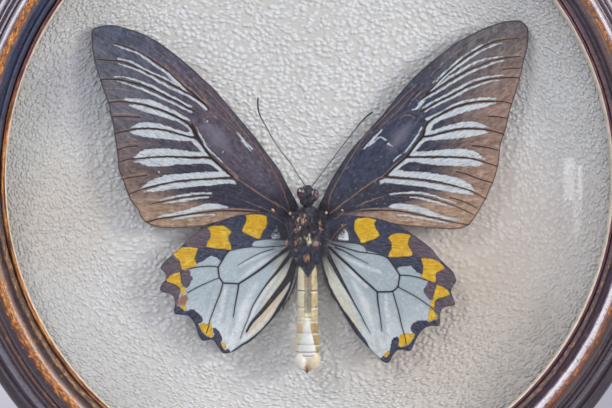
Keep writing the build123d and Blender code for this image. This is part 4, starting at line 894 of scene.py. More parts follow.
FORE_R = {
    "pale": [
        [(39.78,20.89),(42.62,22.14),(45.67,23.67),(48.71,25.47),(51.76,26.78),(54.8,27.58),(58.37,28.07),(61.9,28.28),(64.71,28.01),(63.32,27.49),(59.86,27.45),(56.33,27.07),(52.76,26.3),(49.23,25.05),(45.67,23.25),(42.55,21.24),(40.65,20.06)],
        [(40.82,18.96),(43.14,20.79),(46.67,22.56),(50.23,24.33),(54.28,25.37),(58.37,26.13),(61.42,26.38),(64.36,26.38),(63.43,26.0),(61.66,25.31),(59.13,24.54),(55.81,23.78),(52.24,22.74),(48.71,21.49),(45.15,20.21),(42.72,18.82),(41.62,16.68),(45.15,17.61),(48.71,18.89),(52.24,19.59),(55.32,19.94),(58.09,19.59),(60.14,18.9),(62.08,17.87),(59.86,17.79),(56.33,18.0),(53.28,17.93),(49.71,17.51),(46.67,16.82),(43.62,15.92),(40.58,15.15),(39.54,15.12),(39.89,16.6)],
        [(39.44,14.18),(41.62,14.53),(43.59,15.02),(46.67,15.71),(49.71,16.47),(53.28,16.89),(56.85,16.96),(59.86,16.76),(62.11,16.27),(60.9,15.79),(58.37,15.27),(55.32,14.68),(52.24,14.26),(48.19,13.84),(44.66,13.49),(41.62,13.42),(39.44,12.8),(37.92,11.07),(36.53,9.41),(39.78,9.48),(43.24,9.83),(45.67,10.14),(49.71,10.38),(52.76,10.52),(55.32,10.01),(57.85,9.25),(59.13,8.0),(60.55,6.86),(57.85,7.14),(55.32,7.62),(52.24,7.89),(48.19,8.03),(43.14,8.1),(38.05,7.96),(34.25,7.96),(34.94,9.34),(36.32,10.9),(37.53,12.63)],
        [(33.56,7.19),(38.05,7.16),(45.67,7.2),(51.76,7.06),(55.81,6.82),(58.37,6.17),(60.48,5.13),(59.13,4.89),(57.33,4.26),(55.81,4.64),(52.24,4.43),(49.23,4.64),(45.67,4.67),(41.62,5.12),(38.78,5.4),(36.15,6.05),(34.04,5.78),(32.17,4.74),(30.44,3.08),(33.49,2.7),(38.78,2.42),(41.62,2.15),(45.15,1.6),(48.71,0.9),(51.24,0.39),(53.28,-0.65),(55.57,-1.9),(56.57,-3.42),(57.99,-4.63),(55.32,-3.59),(52.76,-2.83),(49.23,-1.79),(45.67,-1.0),(41.62,-0.2),(38.75,0.14),(34.8,0.59),(30.86,0.9),(26.61,1.31),(28.2,3.01),(29.79,4.39),(31.62,5.88)],
        [(23.88,-0.69),(26.09,0.17),(30.86,-0.14),(36.15,-0.52),(39.44,-1.0),(43.14,-1.52),(48.19,-2.49),(52.24,-3.42),(54.8,-4.18),(56.53,-5.25),(56.33,-5.63),(52.76,-5.01),(49.23,-4.6),(45.67,-3.94),(41.62,-3.08),(38.78,-2.63),(34.8,-2.07),(31.38,-1.87),(28.2,-1.38),(25.95,-1.28),(24.43,-1.83)],
        [(51.76,-14.04),(49.23,-13.45),(46.67,-12.83),(43.62,-11.79),(40.58,-10.48),(38.05,-9.65),(34.59,-8.85),(31.14,-8.44),(28.37,-8.78),(26.99,-9.68),(29.75,-10.17),(33.9,-10.72),(37.36,-11.55),(40.82,-12.41),(44.28,-13.21),(47.74,-14.04),(51.2,-14.49)],
    ],
    "strokes": [
        (0.28,0.76,0.62,'p',[(66.44,47.12),(64.95,46.73),(62.42,45.86),(59.86,44.58),(56.85,42.91),(54.32,41.28),(51.24,39.0),(48.19,36.71),(44.63,33.56),(41.86,30.79)]),
        (0.17,0.52,0.35,'p',[(62.28,47.63),(60.38,46.8),(58.37,45.69),(55.36,43.95),(52.24,41.77),(48.19,38.3),(45.32,35.77),(42.55,33.21)]),
        (0.14,0.31,0.28,'t',[(63.67,51.99),(59.86,49.74),(56.05,47.48),(51.76,44.33),(48.09,41.86),(44.97,39.09),(41.62,35.63)]),
        (0.14,0.35,0.28,'t',[(67.48,48.99),(64.71,48.6),(61.59,47.63)]),
        (0.28,0.76,0.48,'p',[(66.79,42.44),(64.71,42.16),(61.94,41.75),(59.62,41.19),(57.33,40.32),(54.32,38.86),(51.76,37.16),(48.19,35.15),(44.14,32.1),(41.34,30.23)]),
        (0.28,0.76,0.69,'p',[(67.13,40.96),(65.4,40.64),(63.43,40.09),(60.9,39.11),(58.37,38.07),(55.32,36.89),(52.24,35.09),(48.71,33.01),(45.67,31.03),(42.1,28.99),(39.58,27.91),(37.71,26.08)]),
        (0.14,0.31,0.21,'t',[(72.33,42.94),(69.91,43.04),(67.48,42.79)]),
        (0.35,0.83,0.48,'p',[(66.99,36.01),(64.47,35.73),(62.18,35.45),(59.62,34.96),(56.85,34.16),(54.28,32.95),(51.24,31.21),(48.19,29.51),(44.63,27.75),(41.62,26.22),(39.16,24.7)]),
        (0.28,0.83,0.48,'p',[(65.57,34.17),(63.43,33.99),(61.42,33.58),(58.37,32.54),(55.32,31.29),(52.24,29.76),(48.19,27.72),(43.62,25.6),(39.78,23.31)]),
        (0.28,0.76,0.48,'p',[(50.51,-8.51),(49.23,-7.88),(47.19,-7.26),(44.14,-6.33),(41.1,-5.39),(38.05,-4.84),(34.59,-4.7),(30.86,-4.91),(27.68,-5.26)]),
        (0.28,0.69,0.41,'p',[(49.23,-9.61),(47.71,-9.3),(44.66,-8.3),(41.1,-7.4),(38.05,-6.64),(34.59,-6.22)]),
        (0.28,0.69,0.41,'p',[(47.71,-15.29),(45.67,-14.84),(42.1,-14.11),(38.05,-13.28),(33.9,-12.66),(30.44,-12.52)]),
        (0.28,0.9,0.41,'p',[(18.69,10.44),(21.32,13.07),(22.91,14.86),(24.91,16.94)]),
        (0.21,0.48,0.28,'p',[(20.28,11.27),(22.63,13.21),(24.22,14.66)]),
        (0.28,0.55,0.35,'t',[(31.1,20.85),(32.17,21.65),(33.49,22.06),(35.08,22.0),(36.32,21.03)]),
        (0.35,0.48,0.35,'r',[(26.99,18.67),(28.47,19.78),(30.86,21.79),(32.97,23.21),(34.56,23.38),(36.15,22.65)]),
        (0.28,0.69,0.55,'p',[(38.61,17.99),(37.78,15.91),(36.6,14.18),(35.46,12.59),(34.73,11.34),(32.97,9.55)]),
        (0.35,0.62,0.35,'p',[(31.48,8.44),(30.1,7.47),(28.92,6.22)]),
        (0.21,0.41,0.21,'p',[(24.78,14.38),(26.64,13.35)]),
        (0.21,0.41,0.21,'p',[(27.06,12.24),(28.47,11.34)]),
        (0.41,0.59,0.48,'m',[(10.47,-8.99),(13.92,-6.64),(17.62,-3.74),(20.8,-1.63),(23.7,0.24),(25.57,1.21)]),
        (0.28,0.41,0.28,'m',[(26.3,1.9),(28.2,3.8),(30.1,5.43),(32.17,6.71)]),
        (0.45,0.55,0.28,'t',[(6.33,-10.03),(6.53,-8.23),(7.46,-4.53),(9.71,-0.56),(11.82,3.38),(13.92,7.08),(16.03,10.26),(17.62,12.93),(20.28,16.11),(22.63,18.46),(25.02,20.85),(28.2,24.31),(30.86,26.94),(33.9,30.09),(37.02,32.86)]),
        (0.21,0.35,0.28,'r',[(14.55,6.22),(16.96,10.02),(19.38,13.13),(21.8,15.73),(24.57,18.5),(26.99,21.09),(29.75,23.86),(32.52,26.63),(35.29,29.4),(38.4,32.17)]),
        (0.21,0.38,0.28,'t',[(23.18,16.59),(25.95,19.36),(28.72,21.96),(31.48,24.73),(33.9,27.49),(36.32,30.09),(39.09,32.86)]),
        (0.21,0.45,0.28,'t',[(33.9,24.9),(35.29,26.98),(37.36,29.05),(39.78,31.13)]),
        (0.35,0.83,0.35,'p',[(35.49,24.0),(36.67,24.28),(38.05,25.6),(39.78,26.98)]),
        (0.21,0.45,0.28,'t',[(52.24,11.77),(55.32,12.12),(58.37,12.12),(60.9,11.77),(63.43,11.15),(65.68,10.6)]),
        (0.21,0.38,0.21,'t',[(60.9,1.18),(62.98,0.7),(64.22,0.15)]),
        (0.21,0.38,0.21,'t',[(50.48,-8.51),(53.28,-9.75),(56.85,-11.76)]),
        (0.21,0.35,0.21,'t',[(49.13,-12.1),(51.9,-12.66),(54.67,-13.83)]),
        (0.21,0.35,0.21,'t',[(62.98,22.5),(65.4,22.37),(67.48,21.82)]),
        (0.21,0.31,0.17,'t',[(65.05,38.57),(68.52,38.92),(73.02,39.13)]),
        (0.21,0.31,0.17,'t',[(65.75,31.37),(68.52,31.51),(70.94,31.37)]),
        (0.35,0.55,0.28,'o',[(28.37,-10.58),(24.22,-10.23),(20.07,-10.3),(15.93,-10.86)]),
        (0.28,0.55,0.35,'t',[(12.47,-7.47),(10.75,-9.06),(8.92,-10.48),(6.95,-11.89)]),
        (0.21,0.35,0.21,'m',[(25.95,-5.88),(22.49,-6.92),(19.04,-8.16),(15.93,-9.54)]),
    ],
    "veins": [
        (0.28,0.55,'k',[(72.33,48.65),(68.87,48.47),(65.75,48.01),(63.43,47.39),(60.9,46.31),(58.37,44.92),(55.81,43.36),(52.24,40.83),(49.23,38.3),(46.01,35.43),(42.9,32.17),(40.13,29.4)]),
        (0.28,0.55,'k',[(72.85,42.38),(69.91,42.24),(66.99,41.79),(63.43,41.12),(60.9,40.22),(58.37,39.18),(55.32,37.9),(51.76,36.02),(47.71,33.7),(44.14,31.48),(41.62,29.68),(38.4,27.46)]),
        (0.28,0.52,'k',[(72.47,34.97),(69.91,35.18),(66.99,35.07),(63.95,34.83),(60.9,34.3),(57.85,33.43),(54.8,32.15),(51.76,30.59),(48.19,28.65),(44.14,26.54),(40.58,24.46),(38.05,23.17)]),
        (0.28,0.55,'k',[(69.77,26.11),(66.48,26.83),(63.43,26.93),(59.86,26.86),(56.33,26.51),(52.76,25.68),(49.23,24.43),(45.67,22.63),(41.86,20.55),(40.34,19.03),(39.58,16.95),(39.09,14.87)]),
        (0.31,0.48,'k',[(67.13,15.52),(63.43,16.62),(60.9,17.17),(57.85,17.38),(54.28,17.51),(50.75,17.17),(47.71,16.47),(44.66,15.6),(41.62,14.91),(39.2,14.7)]),
        (0.31,0.52,'k',[(64.92,4.3),(62.42,5.2),(60.38,5.82),(57.85,6.58),(54.8,7.24),(51.24,7.51),(46.67,7.61),(42.1,7.65),(38.05,7.65),(33.56,7.61)]),
        (0.31,0.48,'b',[(61.94,-7.26),(59.86,-6.36),(58.13,-5.39),(55.81,-4.15),(53.28,-3.32),(49.71,-2.28),(46.18,-1.38),(42.1,-0.62),(38.05,-0.21),(34.8,0.14),(30.86,0.42),(25.6,0.9)]),
        (0.21,0.31,'b',[(56.85,-12.55),(54.28,-11.14),(51.76,-10.03),(48.71,-8.75),(45.67,-7.78),(41.62,-6.81),(38.05,-5.95),(34.59,-5.64),(29.41,-5.53)]),
        (0.31,0.45,'b',[(55.36,-15.91),(52.24,-15.43),(50.23,-15.08),(47.19,-14.46),(44.14,-13.69),(41.1,-13.07),(38.05,-12.38),(33.9,-11.55),(29.41,-10.93),(24.22,-10.79),(18.0,-10.99)]),
        (0.62,0.83,'k',[(39.78,16.6),(38.95,14.67),(37.64,13.14),(35.98,11.07),(34.59,9.13),(33.07,7.4),(30.96,5.53),(28.89,3.8),(27.16,2.07),(25.78,0.97)]),
        (0.28,0.38,'k',[(65.05,10.05),(62.28,10.67),(59.51,11.22),(56.05,11.56)]),
        (0.28,0.41,'k',[(62.98,-1.24),(58.85,-0.06),(56.33,0.84),(53.8,1.81),(50.51,2.57)]),
        (0.28,0.35,'k',[(57.78,-10.03),(54.8,-8.57),(51.76,-7.33),(48.43,-6.43)]),
        (0.28,0.35,'k',[(68.17,20.99),(65.05,21.54),(61.59,21.67)]),
        (0.21,0.31,'k',[(73.02,38.44),(69.91,38.29),(66.79,37.94)]),
    ],
    "glow": [
        (1.73,4.49,1.73,[(34.59,19.02),(32.52,16.6),(30.1,13.49),(28.02,10.37)]),
    ],
    "dots": [
        (27.16,12.14,0.41,'p'),
        (33.73,20.23,0.31,'t'),
        (34.94,26.15,0.35,'p'),
        (18.0,4.84,0.24,'m'),
        (22.84,1.73,0.24,'m'),
        (16.83,1.03,0.24,'m'),
    ],
}
HIND_L = {
    "yellow": [
        [(-22.32,-12.49),(-20.05,-12.22),(-17.23,-12.22),(-14.96,-12.77),(-14.85,-14.6),(-15.13,-16.69),(-16.16,-17.76),(-16.71,-19.17),(-17.23,-20.51),(-17.92,-20.68),(-20.05,-19.85),(-22.15,-18.82),(-23.56,-18.02),(-23.01,-16.51),(-22.32,-15.31),(-21.98,-13.56)],
        [(-35.16,-16.88),(-34.47,-16.46),(-32.65,-16.06),(-29.84,-16.16),(-28.99,-16.51),(-27.41,-17.78),(-27.06,-18.16),(-27.92,-19.49),(-28.26,-20.21),(-28.09,-21.24),(-27.41,-22.31),(-27.06,-24.41),(-29.16,-24.23),(-32.65,-23.88),(-35.81,-23.32),(-35.46,-21.57),(-34.4,-20.2),(-34.23,-18.8),(-34.68,-17.73)],
        [(-45.93,-24.36),(-44.18,-23.47),(-41.38,-23.31),(-38.58,-23.86),(-39.13,-25.44),(-39.71,-27.19),(-39.64,-28.04),(-38.78,-29.28),(-39.64,-30.13),(-41.72,-30.67),(-44.18,-31.35),(-44.42,-29.95),(-44.87,-28.2),(-46.27,-26.79),(-47.12,-26.27),(-46.78,-25.21)],
        [(-44.7,-31.86),(-46.61,-32.4),(-48.01,-33.08),(-49.06,-34.14),(-49.58,-34.99),(-48.35,-35.55),(-46.27,-36.24),(-44.87,-37.31),(-44.53,-37.99),(-44.53,-40.08),(-43.47,-39.4),(-42.27,-38.35),(-43.13,-37.49),(-44.18,-36.59),(-44.42,-34.84),(-44.53,-33.44)],
        [(-45.04,-43.23),(-43.81,-43.07),(-42.95,-43.07),(-42.61,-44.31),(-42.51,-45.33),(-43.47,-44.99),(-44.53,-43.92)],
        [(-38.41,-49.75),(-36.49,-49.41),(-35.46,-49.93),(-34.06,-49.6),(-33.72,-51.7),(-33.17,-54.13),(-34.4,-54.3),(-35.46,-53.95),(-36.15,-53.43),(-37.21,-52.36),(-37.89,-50.95)],
        [(-30.91,-56.28),(-29.84,-56.29),(-28.81,-57.67),(-29.12,-58.49),(-30.01,-58.14)],
    ],
    "orange": [
        [(-44.53,-40.25),(-43.47,-39.75),(-42.27,-39.75),(-41.9,-41.16),(-42.78,-42.73),(-43.81,-43.07),(-45.55,-43.4),(-45.38,-42.17),(-44.87,-40.97)],
    ],
    "peach": [
        [(-7.85,-35.3),(-8.26,-37.4),(-9.51,-39.63),(-11.37,-42.45),(-13.65,-45.46),(-16.33,-48.47),(-19.02,-51.28),(-20.88,-53.12),(-22.46,-54.42),(-21.36,-52.57),(-19.57,-50.1),(-17.16,-47.16),(-14.68,-44.01),(-12.27,-40.79),(-9.92,-37.63)],
    ],
    "black": [
        [(-3.5,-23.12),(-6.78,-22.28),(-9.02,-21.11),(-13.16,-20.83),(-16.61,-21.09),(-18.68,-21.37),(-19.85,-22.26),(-20.05,-23.36),(-24.25,-23.83),(-27.06,-24.37),(-28.09,-24.85),(-29.16,-26.08),(-29.84,-27.21),(-30.91,-28.24),(-31.97,-27.21),(-32.65,-26.83),(-34.06,-26.48),(-35.46,-27.2),(-36.49,-28.05),(-37.89,-28.56),(-38.72,-29.07),(-39.64,-30.2),(-41.72,-30.74),(-44.32,-31.39),(-43.13,-31.35),(-41.72,-31.19),(-41.31,-31.7),(-41.04,-33.11),(-40.32,-34.0),(-41.04,-35.58),(-41.72,-36.94),(-42.61,-37.49),(-43.64,-36.94),(-44.22,-35.87),(-44.53,-36.04),(-44.53,-38.1),(-45.07,-40.49),(-45.62,-43.43),(-44.53,-43.99),(-43.47,-45.05),(-42.61,-45.44),(-41.04,-44.66),(-39.98,-44.83),(-38.24,-46.25),(-37.14,-47.46),(-36.9,-48.69),(-37.38,-49.41),(-38.44,-49.71),(-37.89,-50.95),(-37.21,-52.36),(-36.15,-53.46),(-35.46,-53.98),(-34.4,-54.33),(-33.17,-54.2),(-33.0,-53.11),(-33.51,-52.04),(-33.34,-51.18),(-32.31,-51.19),(-31.25,-52.57),(-30.39,-54.15),(-30.29,-55.56),(-30.77,-56.21),(-30.08,-58.0),(-29.12,-58.9),(-28.71,-58.29),(-27.68,-58.57),(-27.54,-59.26),(-25.55,-60.16),(-29.67,-62.88),(-39.6,-58.0),(-49.85,-50.05),(-54.28,-41.47),(-54.96,-28.48),(-48.14,-7.28),(-16.61,-7.27),(-3.5,-9.33)],
    ],
    "white": [
        [(-11.61,-16.35),(-11.23,-17.42),(-10.37,-19.18),(-10.2,-20.25),(-11.23,-20.59),(-13.03,-20.52),(-13.2,-19.52),(-12.47,-17.76)],
    ],
    "veins": [
        (0.35,0.35,'k',[(-31.66,-30.33),(-32.65,-30.09),(-34.74,-29.98),(-37.55,-30.14),(-39.3,-30.37),(-42.0,-30.98)]),
        (0.28,0.35,'b',[(-31.25,-34.04),(-32.76,-34.51),(-34.06,-35.06),(-37.55,-36.62),(-40.32,-38.01),(-42.17,-39.07)]),
        (0.35,0.31,'k',[(-30.01,-35.76),(-30.91,-39.12),(-32.31,-42.61),(-33.34,-45.39),(-34.4,-48.19),(-35.09,-51.0),(-35.74,-52.88)]),
        (0.52,0.24,'k',[(-24.59,-36.06),(-24.87,-38.19),(-25.31,-40.52),(-25.93,-44.02),(-26.45,-47.45)]),
        (0.48,0.48,'k',[(-28.09,-24.92),(-29.16,-26.15),(-30.22,-27.9),(-31.25,-29.65),(-31.66,-30.43),(-31.52,-32.08),(-31.25,-33.83),(-30.56,-34.9),(-29.95,-35.73),(-27.61,-35.87),(-24.59,-36.06)]),
        (0.48,0.9,'k',[(-24.59,-36.06),(-22.46,-34.69),(-20.05,-33.12),(-16.54,-30.66),(-13.03,-27.95)]),
        (0.83,1.45,'k',[(-13.03,-27.95),(-9.47,-25.24),(-6.78,-23.28)]),
        (0.14,0.28,'k',[(-24.93,-29.67),(-22.46,-28.23),(-20.05,-26.86),(-16.61,-25.29),(-12.65,-24.1)]),
        (0.28,0.28,'k',[(-27.96,-24.78),(-24.18,-23.9),(-20.05,-23.39),(-16.61,-23.54),(-13.16,-23.3),(-9.02,-23.04)]),
        (0.17,0.41,'k',[(-23.97,-54.78),(-22.63,-50.91),(-21.36,-48.0),(-20.16,-44.5),(-18.5,-41.48),(-16.33,-38.02)]),
        (0.41,1.52,'k',[(-16.33,-38.02),(-14.2,-35.21),(-11.37,-31.95),(-8.85,-28.75),(-6.36,-25.45)]),
        (0.69,2.21,'k',[(-21.91,-52.49),(-20.16,-49.48),(-16.71,-45.69),(-12.89,-41.1),(-9.89,-37.39),(-7.54,-34.23)]),
        (2.07,1.52,'k',[(-7.54,-34.23),(-6.43,-31.03),(-5.4,-27.59)]),
        (0.48,1.17,'k',[(-27.27,-59.67),(-23.56,-57.09),(-20.95,-55.59),(-17.13,-52.56),(-13.27,-48.35),(-10.4,-43.76)]),
        (1.17,2.21,'k',[(-10.4,-43.76),(-8.3,-40.74),(-6.4,-37.23),(-5.6,-33.86),(-5.43,-28.63)]),
    ],
    "shine": [
        (0.41,1.04,0.41,[(-8.44,-24.69),(-12.47,-26.82),(-16.54,-28.94),(-20.05,-31.33),(-23.15,-33.73)]),
        (0.28,0.69,0.35,[(-13.16,-24.68),(-16.61,-25.98),(-20.05,-27.48),(-24.18,-29.6)]),
        (0.69,3.11,1.04,[(-18.33,-35.81),(-20.74,-40.27),(-22.8,-44.38),(-24.18,-48.49),(-25.21,-52.95)]),
        (0.35,1.38,0.69,[(-26.58,-51.91),(-27.27,-54.66),(-27.96,-57.06)]),
        (0.35,1.04,0.35,[(-28.99,-37.14),(-29.84,-40.91),(-30.7,-45.02),(-31.52,-49.14)]),
        (0.28,0.76,0.35,[(-9.37,-28.96),(-12.13,-33.42),(-15.23,-37.88),(-17.99,-42.34),(-20.4,-47.14),(-22.12,-51.26)]),
    ],
    "shade": [
        (0.35,1.38,0.52,[(-25.55,-45.74),(-26.58,-49.17),(-27.44,-52.6),(-27.96,-55.68)]),
        (0.35,1.04,0.35,[(-27.27,-36.8),(-28.3,-40.57),(-29.19,-45.03),(-30.01,-49.15)]),
        (0.35,1.04,0.41,[(-11.78,-25.03),(-16.61,-27.01),(-20.74,-29.13),(-24.87,-31.66)]),
        (0.28,0.55,0.28,[(-7.64,-28.62),(-10.4,-33.09),(-13.51,-37.55),(-16.61,-42.01),(-19.02,-46.46)]),
        (0.28,0.76,0.28,[(-33.1,-36.78),(-34.81,-41.23),(-35.84,-45.34)]),
    ],
    "brown": [
        [(-47.12,-26.1),(-49.51,-28.15),(-51.89,-30.54),(-50.53,-32.6),(-49.68,-34.79),(-48.14,-33.08),(-44.73,-31.86),(-44.39,-31.25),(-44.42,-29.95),(-44.87,-28.2),(-46.27,-26.79)],
        [(-44.22,-31.76),(-41.79,-31.39),(-41.31,-31.94),(-41.11,-33.32),(-40.63,-34.0),(-41.31,-35.71),(-42.0,-36.74),(-42.68,-37.25),(-43.64,-36.73),(-44.12,-35.02)],
        [(-43.36,-22.35),(-41.66,-19.61),(-38.24,-17.21),(-35.5,-16.19),(-34.47,-18.59),(-35.29,-21.33),(-36.05,-23.18),(-38.58,-23.73),(-41.31,-23.17)],
        [(-49.85,-35.16),(-51.55,-38.07),(-49.85,-39.44),(-47.46,-40.48),(-47.26,-43.56),(-45.41,-42.89),(-44.73,-40.15),(-44.73,-37.96),(-46.27,-36.38)],
    ],
    "cell": [
        (-7.71,-22.87), (-13.72,-23.44), (-20.05,-23.49), (-24.25,-23.97), (-28.09,-24.99), (-30.22,-27.9), (-31.59,-30.4), (-31.18,-33.83), (-29.95,-35.62), (-24.59,-35.92), (-20.05,-33.12), (-13.03,-27.95), (-7.02,-23.18),
    ],
}
HIND_R = {
    "yellow": [
        [(15.45,-14.27),(16.52,-13.58),(19.67,-13.27),(23.19,-14.2),(22.16,-15.17),(22.5,-16.72),(23.4,-18.14),(24.2,-19.55),(22.5,-20.62),(20.05,-21.48),(18.29,-22.14),(17.39,-22.03),(17.22,-20.96),(16.14,-19.2),(15.28,-17.79),(15.18,-16.03)],
        [(26.93,-20.28),(28.14,-19.21),(30.63,-18.59),(33.81,-19.04),(35.02,-19.56),(34.16,-20.63),(33.81,-22.39),(34.33,-23.81),(35.19,-24.84),(35.4,-26.61),(31.66,-26.88),(26.93,-27.01),(27.27,-25.56),(28.14,-24.15),(28.14,-22.04)],
        [(38.21,-27.33),(39.8,-27.27),(42.26,-27.68),(44.75,-28.72),(46.17,-30.14),(46.45,-30.87),(45.44,-31.56),(43.68,-32.45),(43.5,-33.66),(43.61,-35.25),(42.98,-35.8),(40.87,-35.07),(38.03,-33.65),(38.72,-32.96),(39.04,-31.55),(39.04,-29.79)],
        [(43.85,-36.5),(45.82,-37.19),(47.59,-38.44),(48.46,-40.03),(46.86,-40.54),(44.4,-41.27),(43.16,-42.13),(42.98,-43.89),(42.81,-45.65),(41.91,-44.23),(41.39,-42.85),(42.46,-41.43),(42.98,-38.95)],
        [(41.22,-44.61),(42.64,-45.3),(43.33,-46.38),(43.95,-47.42),(43.85,-48.49),(42.26,-48.83),(41.22,-49.52),(40.7,-48.48),(41.04,-46.72)],
        [(30.97,-53.74),(32.74,-53.4),(36.27,-53.48),(35.57,-55.17),(34.33,-56.93),(32.74,-57.79),(30.97,-57.96),(30.45,-57.44),(30.8,-55.5)],
        [(25.72,-60.29),(27.62,-59.19),(27.45,-60.43),(26.55,-61.67),(25.68,-61.6),(25.37,-61.05)],
    ],
    "orange": [
    ],
    "peach": [
    ],
    "black": [
        [(2.03,-22.44),(5.13,-21.06),(7.89,-21.27),(12.28,-21.68),(16.52,-22.24),(18.6,-23.0),(19.88,-24.83),(22.74,-25.7),(25.34,-26.6),(27.1,-27.49),(28.14,-28.7),(29.21,-30.12),(30.07,-31.19),(30.63,-30.47),(33.08,-30.13),(34.85,-30.06),(35.92,-31.2),(36.96,-32.27),(38.21,-32.79),(38.66,-33.03),(38.03,-33.69),(40.87,-35.25),(40.14,-36.84),(39.28,-37.91),(39.11,-38.94),(40.14,-40.36),(41.22,-41.78),(42.08,-41.95),(41.39,-42.85),(41.91,-44.23),(42.88,-45.62),(43.33,-46.38),(43.95,-47.42),(43.85,-48.49),(42.26,-48.83),(41.22,-49.48),(40.49,-48.89),(37.34,-48.89),(35.92,-49.58),(34.85,-50.92),(34.85,-52.34),(35.68,-53.27),(36.3,-53.55),(35.57,-55.2),(34.33,-56.96),(32.74,-57.82),(30.97,-58.03),(30.49,-57.54),(30.8,-55.85),(30.63,-54.81),(29.9,-54.43),(28.86,-54.81),(28.14,-55.84),(27.79,-57.26),(27.62,-59.12),(25.72,-60.36),(25.3,-60.98),(24.47,-61.81),(23.3,-61.66),(22.05,-60.21),(20.12,-57.58),(19.5,-55.93),(16.73,-52.12),(14.25,-48.6),(11.48,-45.07),(9.07,-40.86),(7.07,-37.06),(5.27,-32.09),(3.96,-28.64),(2.72,-28.64),(3.75,-33.13),(5.48,-38.3),(7.89,-43.0),(10.65,-47.28),(13.76,-51.63),(17.22,-55.92),(21.36,-61.45),(26.2,-66.64),(30.35,-64.58),(37.96,-58.39),(48.35,-52.19),(54.59,-41.84),(52.51,-30.77),(44.89,-21.08),(31.04,-12.79),(17.22,-8.99),(2.03,-10.02)],
    ],
    "white": [
        [(9.48,-20.61),(10.52,-18.51),(11.59,-17.27),(12.28,-17.44),(13.0,-18.86),(13.28,-20.27),(13.17,-21.2),(11.59,-21.2),(10.17,-21.06)],
    ],
    "veins": [
        (0.35,0.41,'k',[(40.49,-35.07),(36.96,-33.93),(33.81,-33.34),(30.9,-33.23)]),
        (0.28,0.35,'b',[(42.64,-44.96),(39.8,-42.85),(36.61,-40.7),(33.43,-38.93),(30.35,-37.3)]),
        (0.24,0.38,'k',[(33.26,-57.27),(32.74,-54.44),(31.66,-50.57),(30.63,-45.97),(29.55,-42.45),(28.59,-38.99)]),
        (0.17,0.55,'k',[(24.82,-52.49),(24.47,-49.38),(23.92,-45.58),(23.44,-42.44),(23.19,-39.02)]),
        (0.48,0.55,'k',[(27.1,-27.67),(28.52,-29.43),(29.9,-31.54),(30.9,-33.3),(30.63,-35.41),(30.28,-37.17),(28.52,-38.75),(25.85,-38.96),(23.19,-38.99)]),
        (0.55,0.83,'k',[(23.19,-38.99),(20.74,-36.74),(17.56,-33.9),(14.04,-30.52),(10.52,-27.31),(8.07,-24.96),(6.51,-23.47)]),
        (0.14,0.41,'k',[(20.81,-53.17),(18.98,-49.85),(17.22,-46.33),(15.11,-42.66)]),
        (0.41,1.45,'k',[(15.11,-42.66),(13.0,-38.8),(10.86,-35.03),(8.76,-31.17)]),
        (1.24,1.59,'k',[(8.76,-31.17),(7.0,-27.75),(5.58,-24.51)]),
        (0.14,0.35,'k',[(19.98,-29.21),(17.22,-27.83),(14.45,-26.38),(11.35,-24.72),(8.58,-23.48)]),
        (0.28,0.41,'k',[(26.89,-27.49),(25.34,-26.6),(22.5,-25.9),(19.67,-25.49),(16.52,-25.1),(13.07,-24.03),(9.62,-22.99),(7.2,-22.3)]),
        (0.28,0.41,'b',[(19.63,-24.73),(18.6,-23.21),(16.52,-22.38),(12.38,-21.75),(8.24,-21.27)]),
    ],
    "shine": [
        (0.28,0.62,0.28,[(10.31,-25.55),(14.45,-28.17),(18.6,-30.18),(24.13,-32.12)]),
        (0.35,1.04,0.41,[(8.93,-26.24),(12.38,-30.03),(15.83,-33.49),(19.63,-37.15)]),
        (0.69,2.76,1.04,[(14.45,-34.87),(17.56,-40.39),(19.98,-45.92),(22.05,-51.44)]),
        (0.35,1.04,0.41,[(26.2,-40.41),(26.55,-44.55),(27.1,-48.69),(27.24,-52.84)]),
        (0.35,0.86,0.35,[(7.2,-28.99),(10.31,-35.55),(14.11,-41.77),(17.56,-47.64)]),
    ],
    "shade": [
        (0.35,1.04,0.41,[(24.3,-40.4),(24.82,-45.24),(25.51,-50.76),(25.85,-55.6)]),
        (0.28,0.62,0.28,[(6.51,-28.65),(9.27,-33.82),(12.38,-39.35),(15.83,-44.87),(18.6,-50.06)]),
        (0.35,1.04,0.41,[(13.07,-26.58),(17.22,-28.87),(21.36,-30.39)]),
        (0.35,1.04,0.41,[(22.74,-54.21),(23.09,-56.97),(23.78,-59.39)]),
        (0.35,1.04,0.41,[(29.66,-40.41),(31.39,-45.25),(32.77,-49.4)]),
    ],
    "brown": [
        [(35.19,-19.21),(37.96,-20.73),(41.43,-23.16),(43.85,-26.27),(45.24,-28.69),(42.26,-27.51),(38.31,-27.16),(35.54,-26.47),(35.06,-24.74),(34.02,-23.15),(34.33,-20.73)],
        [(40.87,-35.87),(42.26,-35.39),(43.5,-36.15),(43.57,-37.19),(43.09,-38.95),(42.74,-40.64),(42.08,-41.81),(41.22,-41.61),(40.25,-40.36),(39.31,-38.94),(39.45,-37.91),(40.25,-36.84)],
        [(46.48,-30.42),(49.05,-31.8),(50.78,-34.57),(48.84,-38.02),(47.52,-38.23),(45.82,-37.05),(43.85,-36.36),(43.64,-35.25),(43.68,-32.63),(45.44,-31.69)],
        [(48.91,-39.75),(50.43,-42.17),(50.09,-43.56),(46.62,-44.59),(45.37,-45.62),(45.44,-48.73),(44.89,-50.8),(43.5,-50.8),(43.95,-47.35),(43.02,-45.62),(43.23,-42.3),(46.86,-40.72)],
    ],
    "cell": [
        (8.76,-24.13), (12.28,-24.13), (16.52,-25.17), (19.67,-25.49), (22.5,-25.9), (25.34,-26.6), (27.1,-27.67), (28.52,-29.43), (29.9,-31.54), (30.9,-33.3), (30.63,-35.41), (30.28,-37.17), (28.52,-38.82), (23.19,-38.99), (20.74,-36.74), (17.56,-33.9), (14.04,-30.45), (10.52,-27.31), (8.07,-24.82),
    ],
}


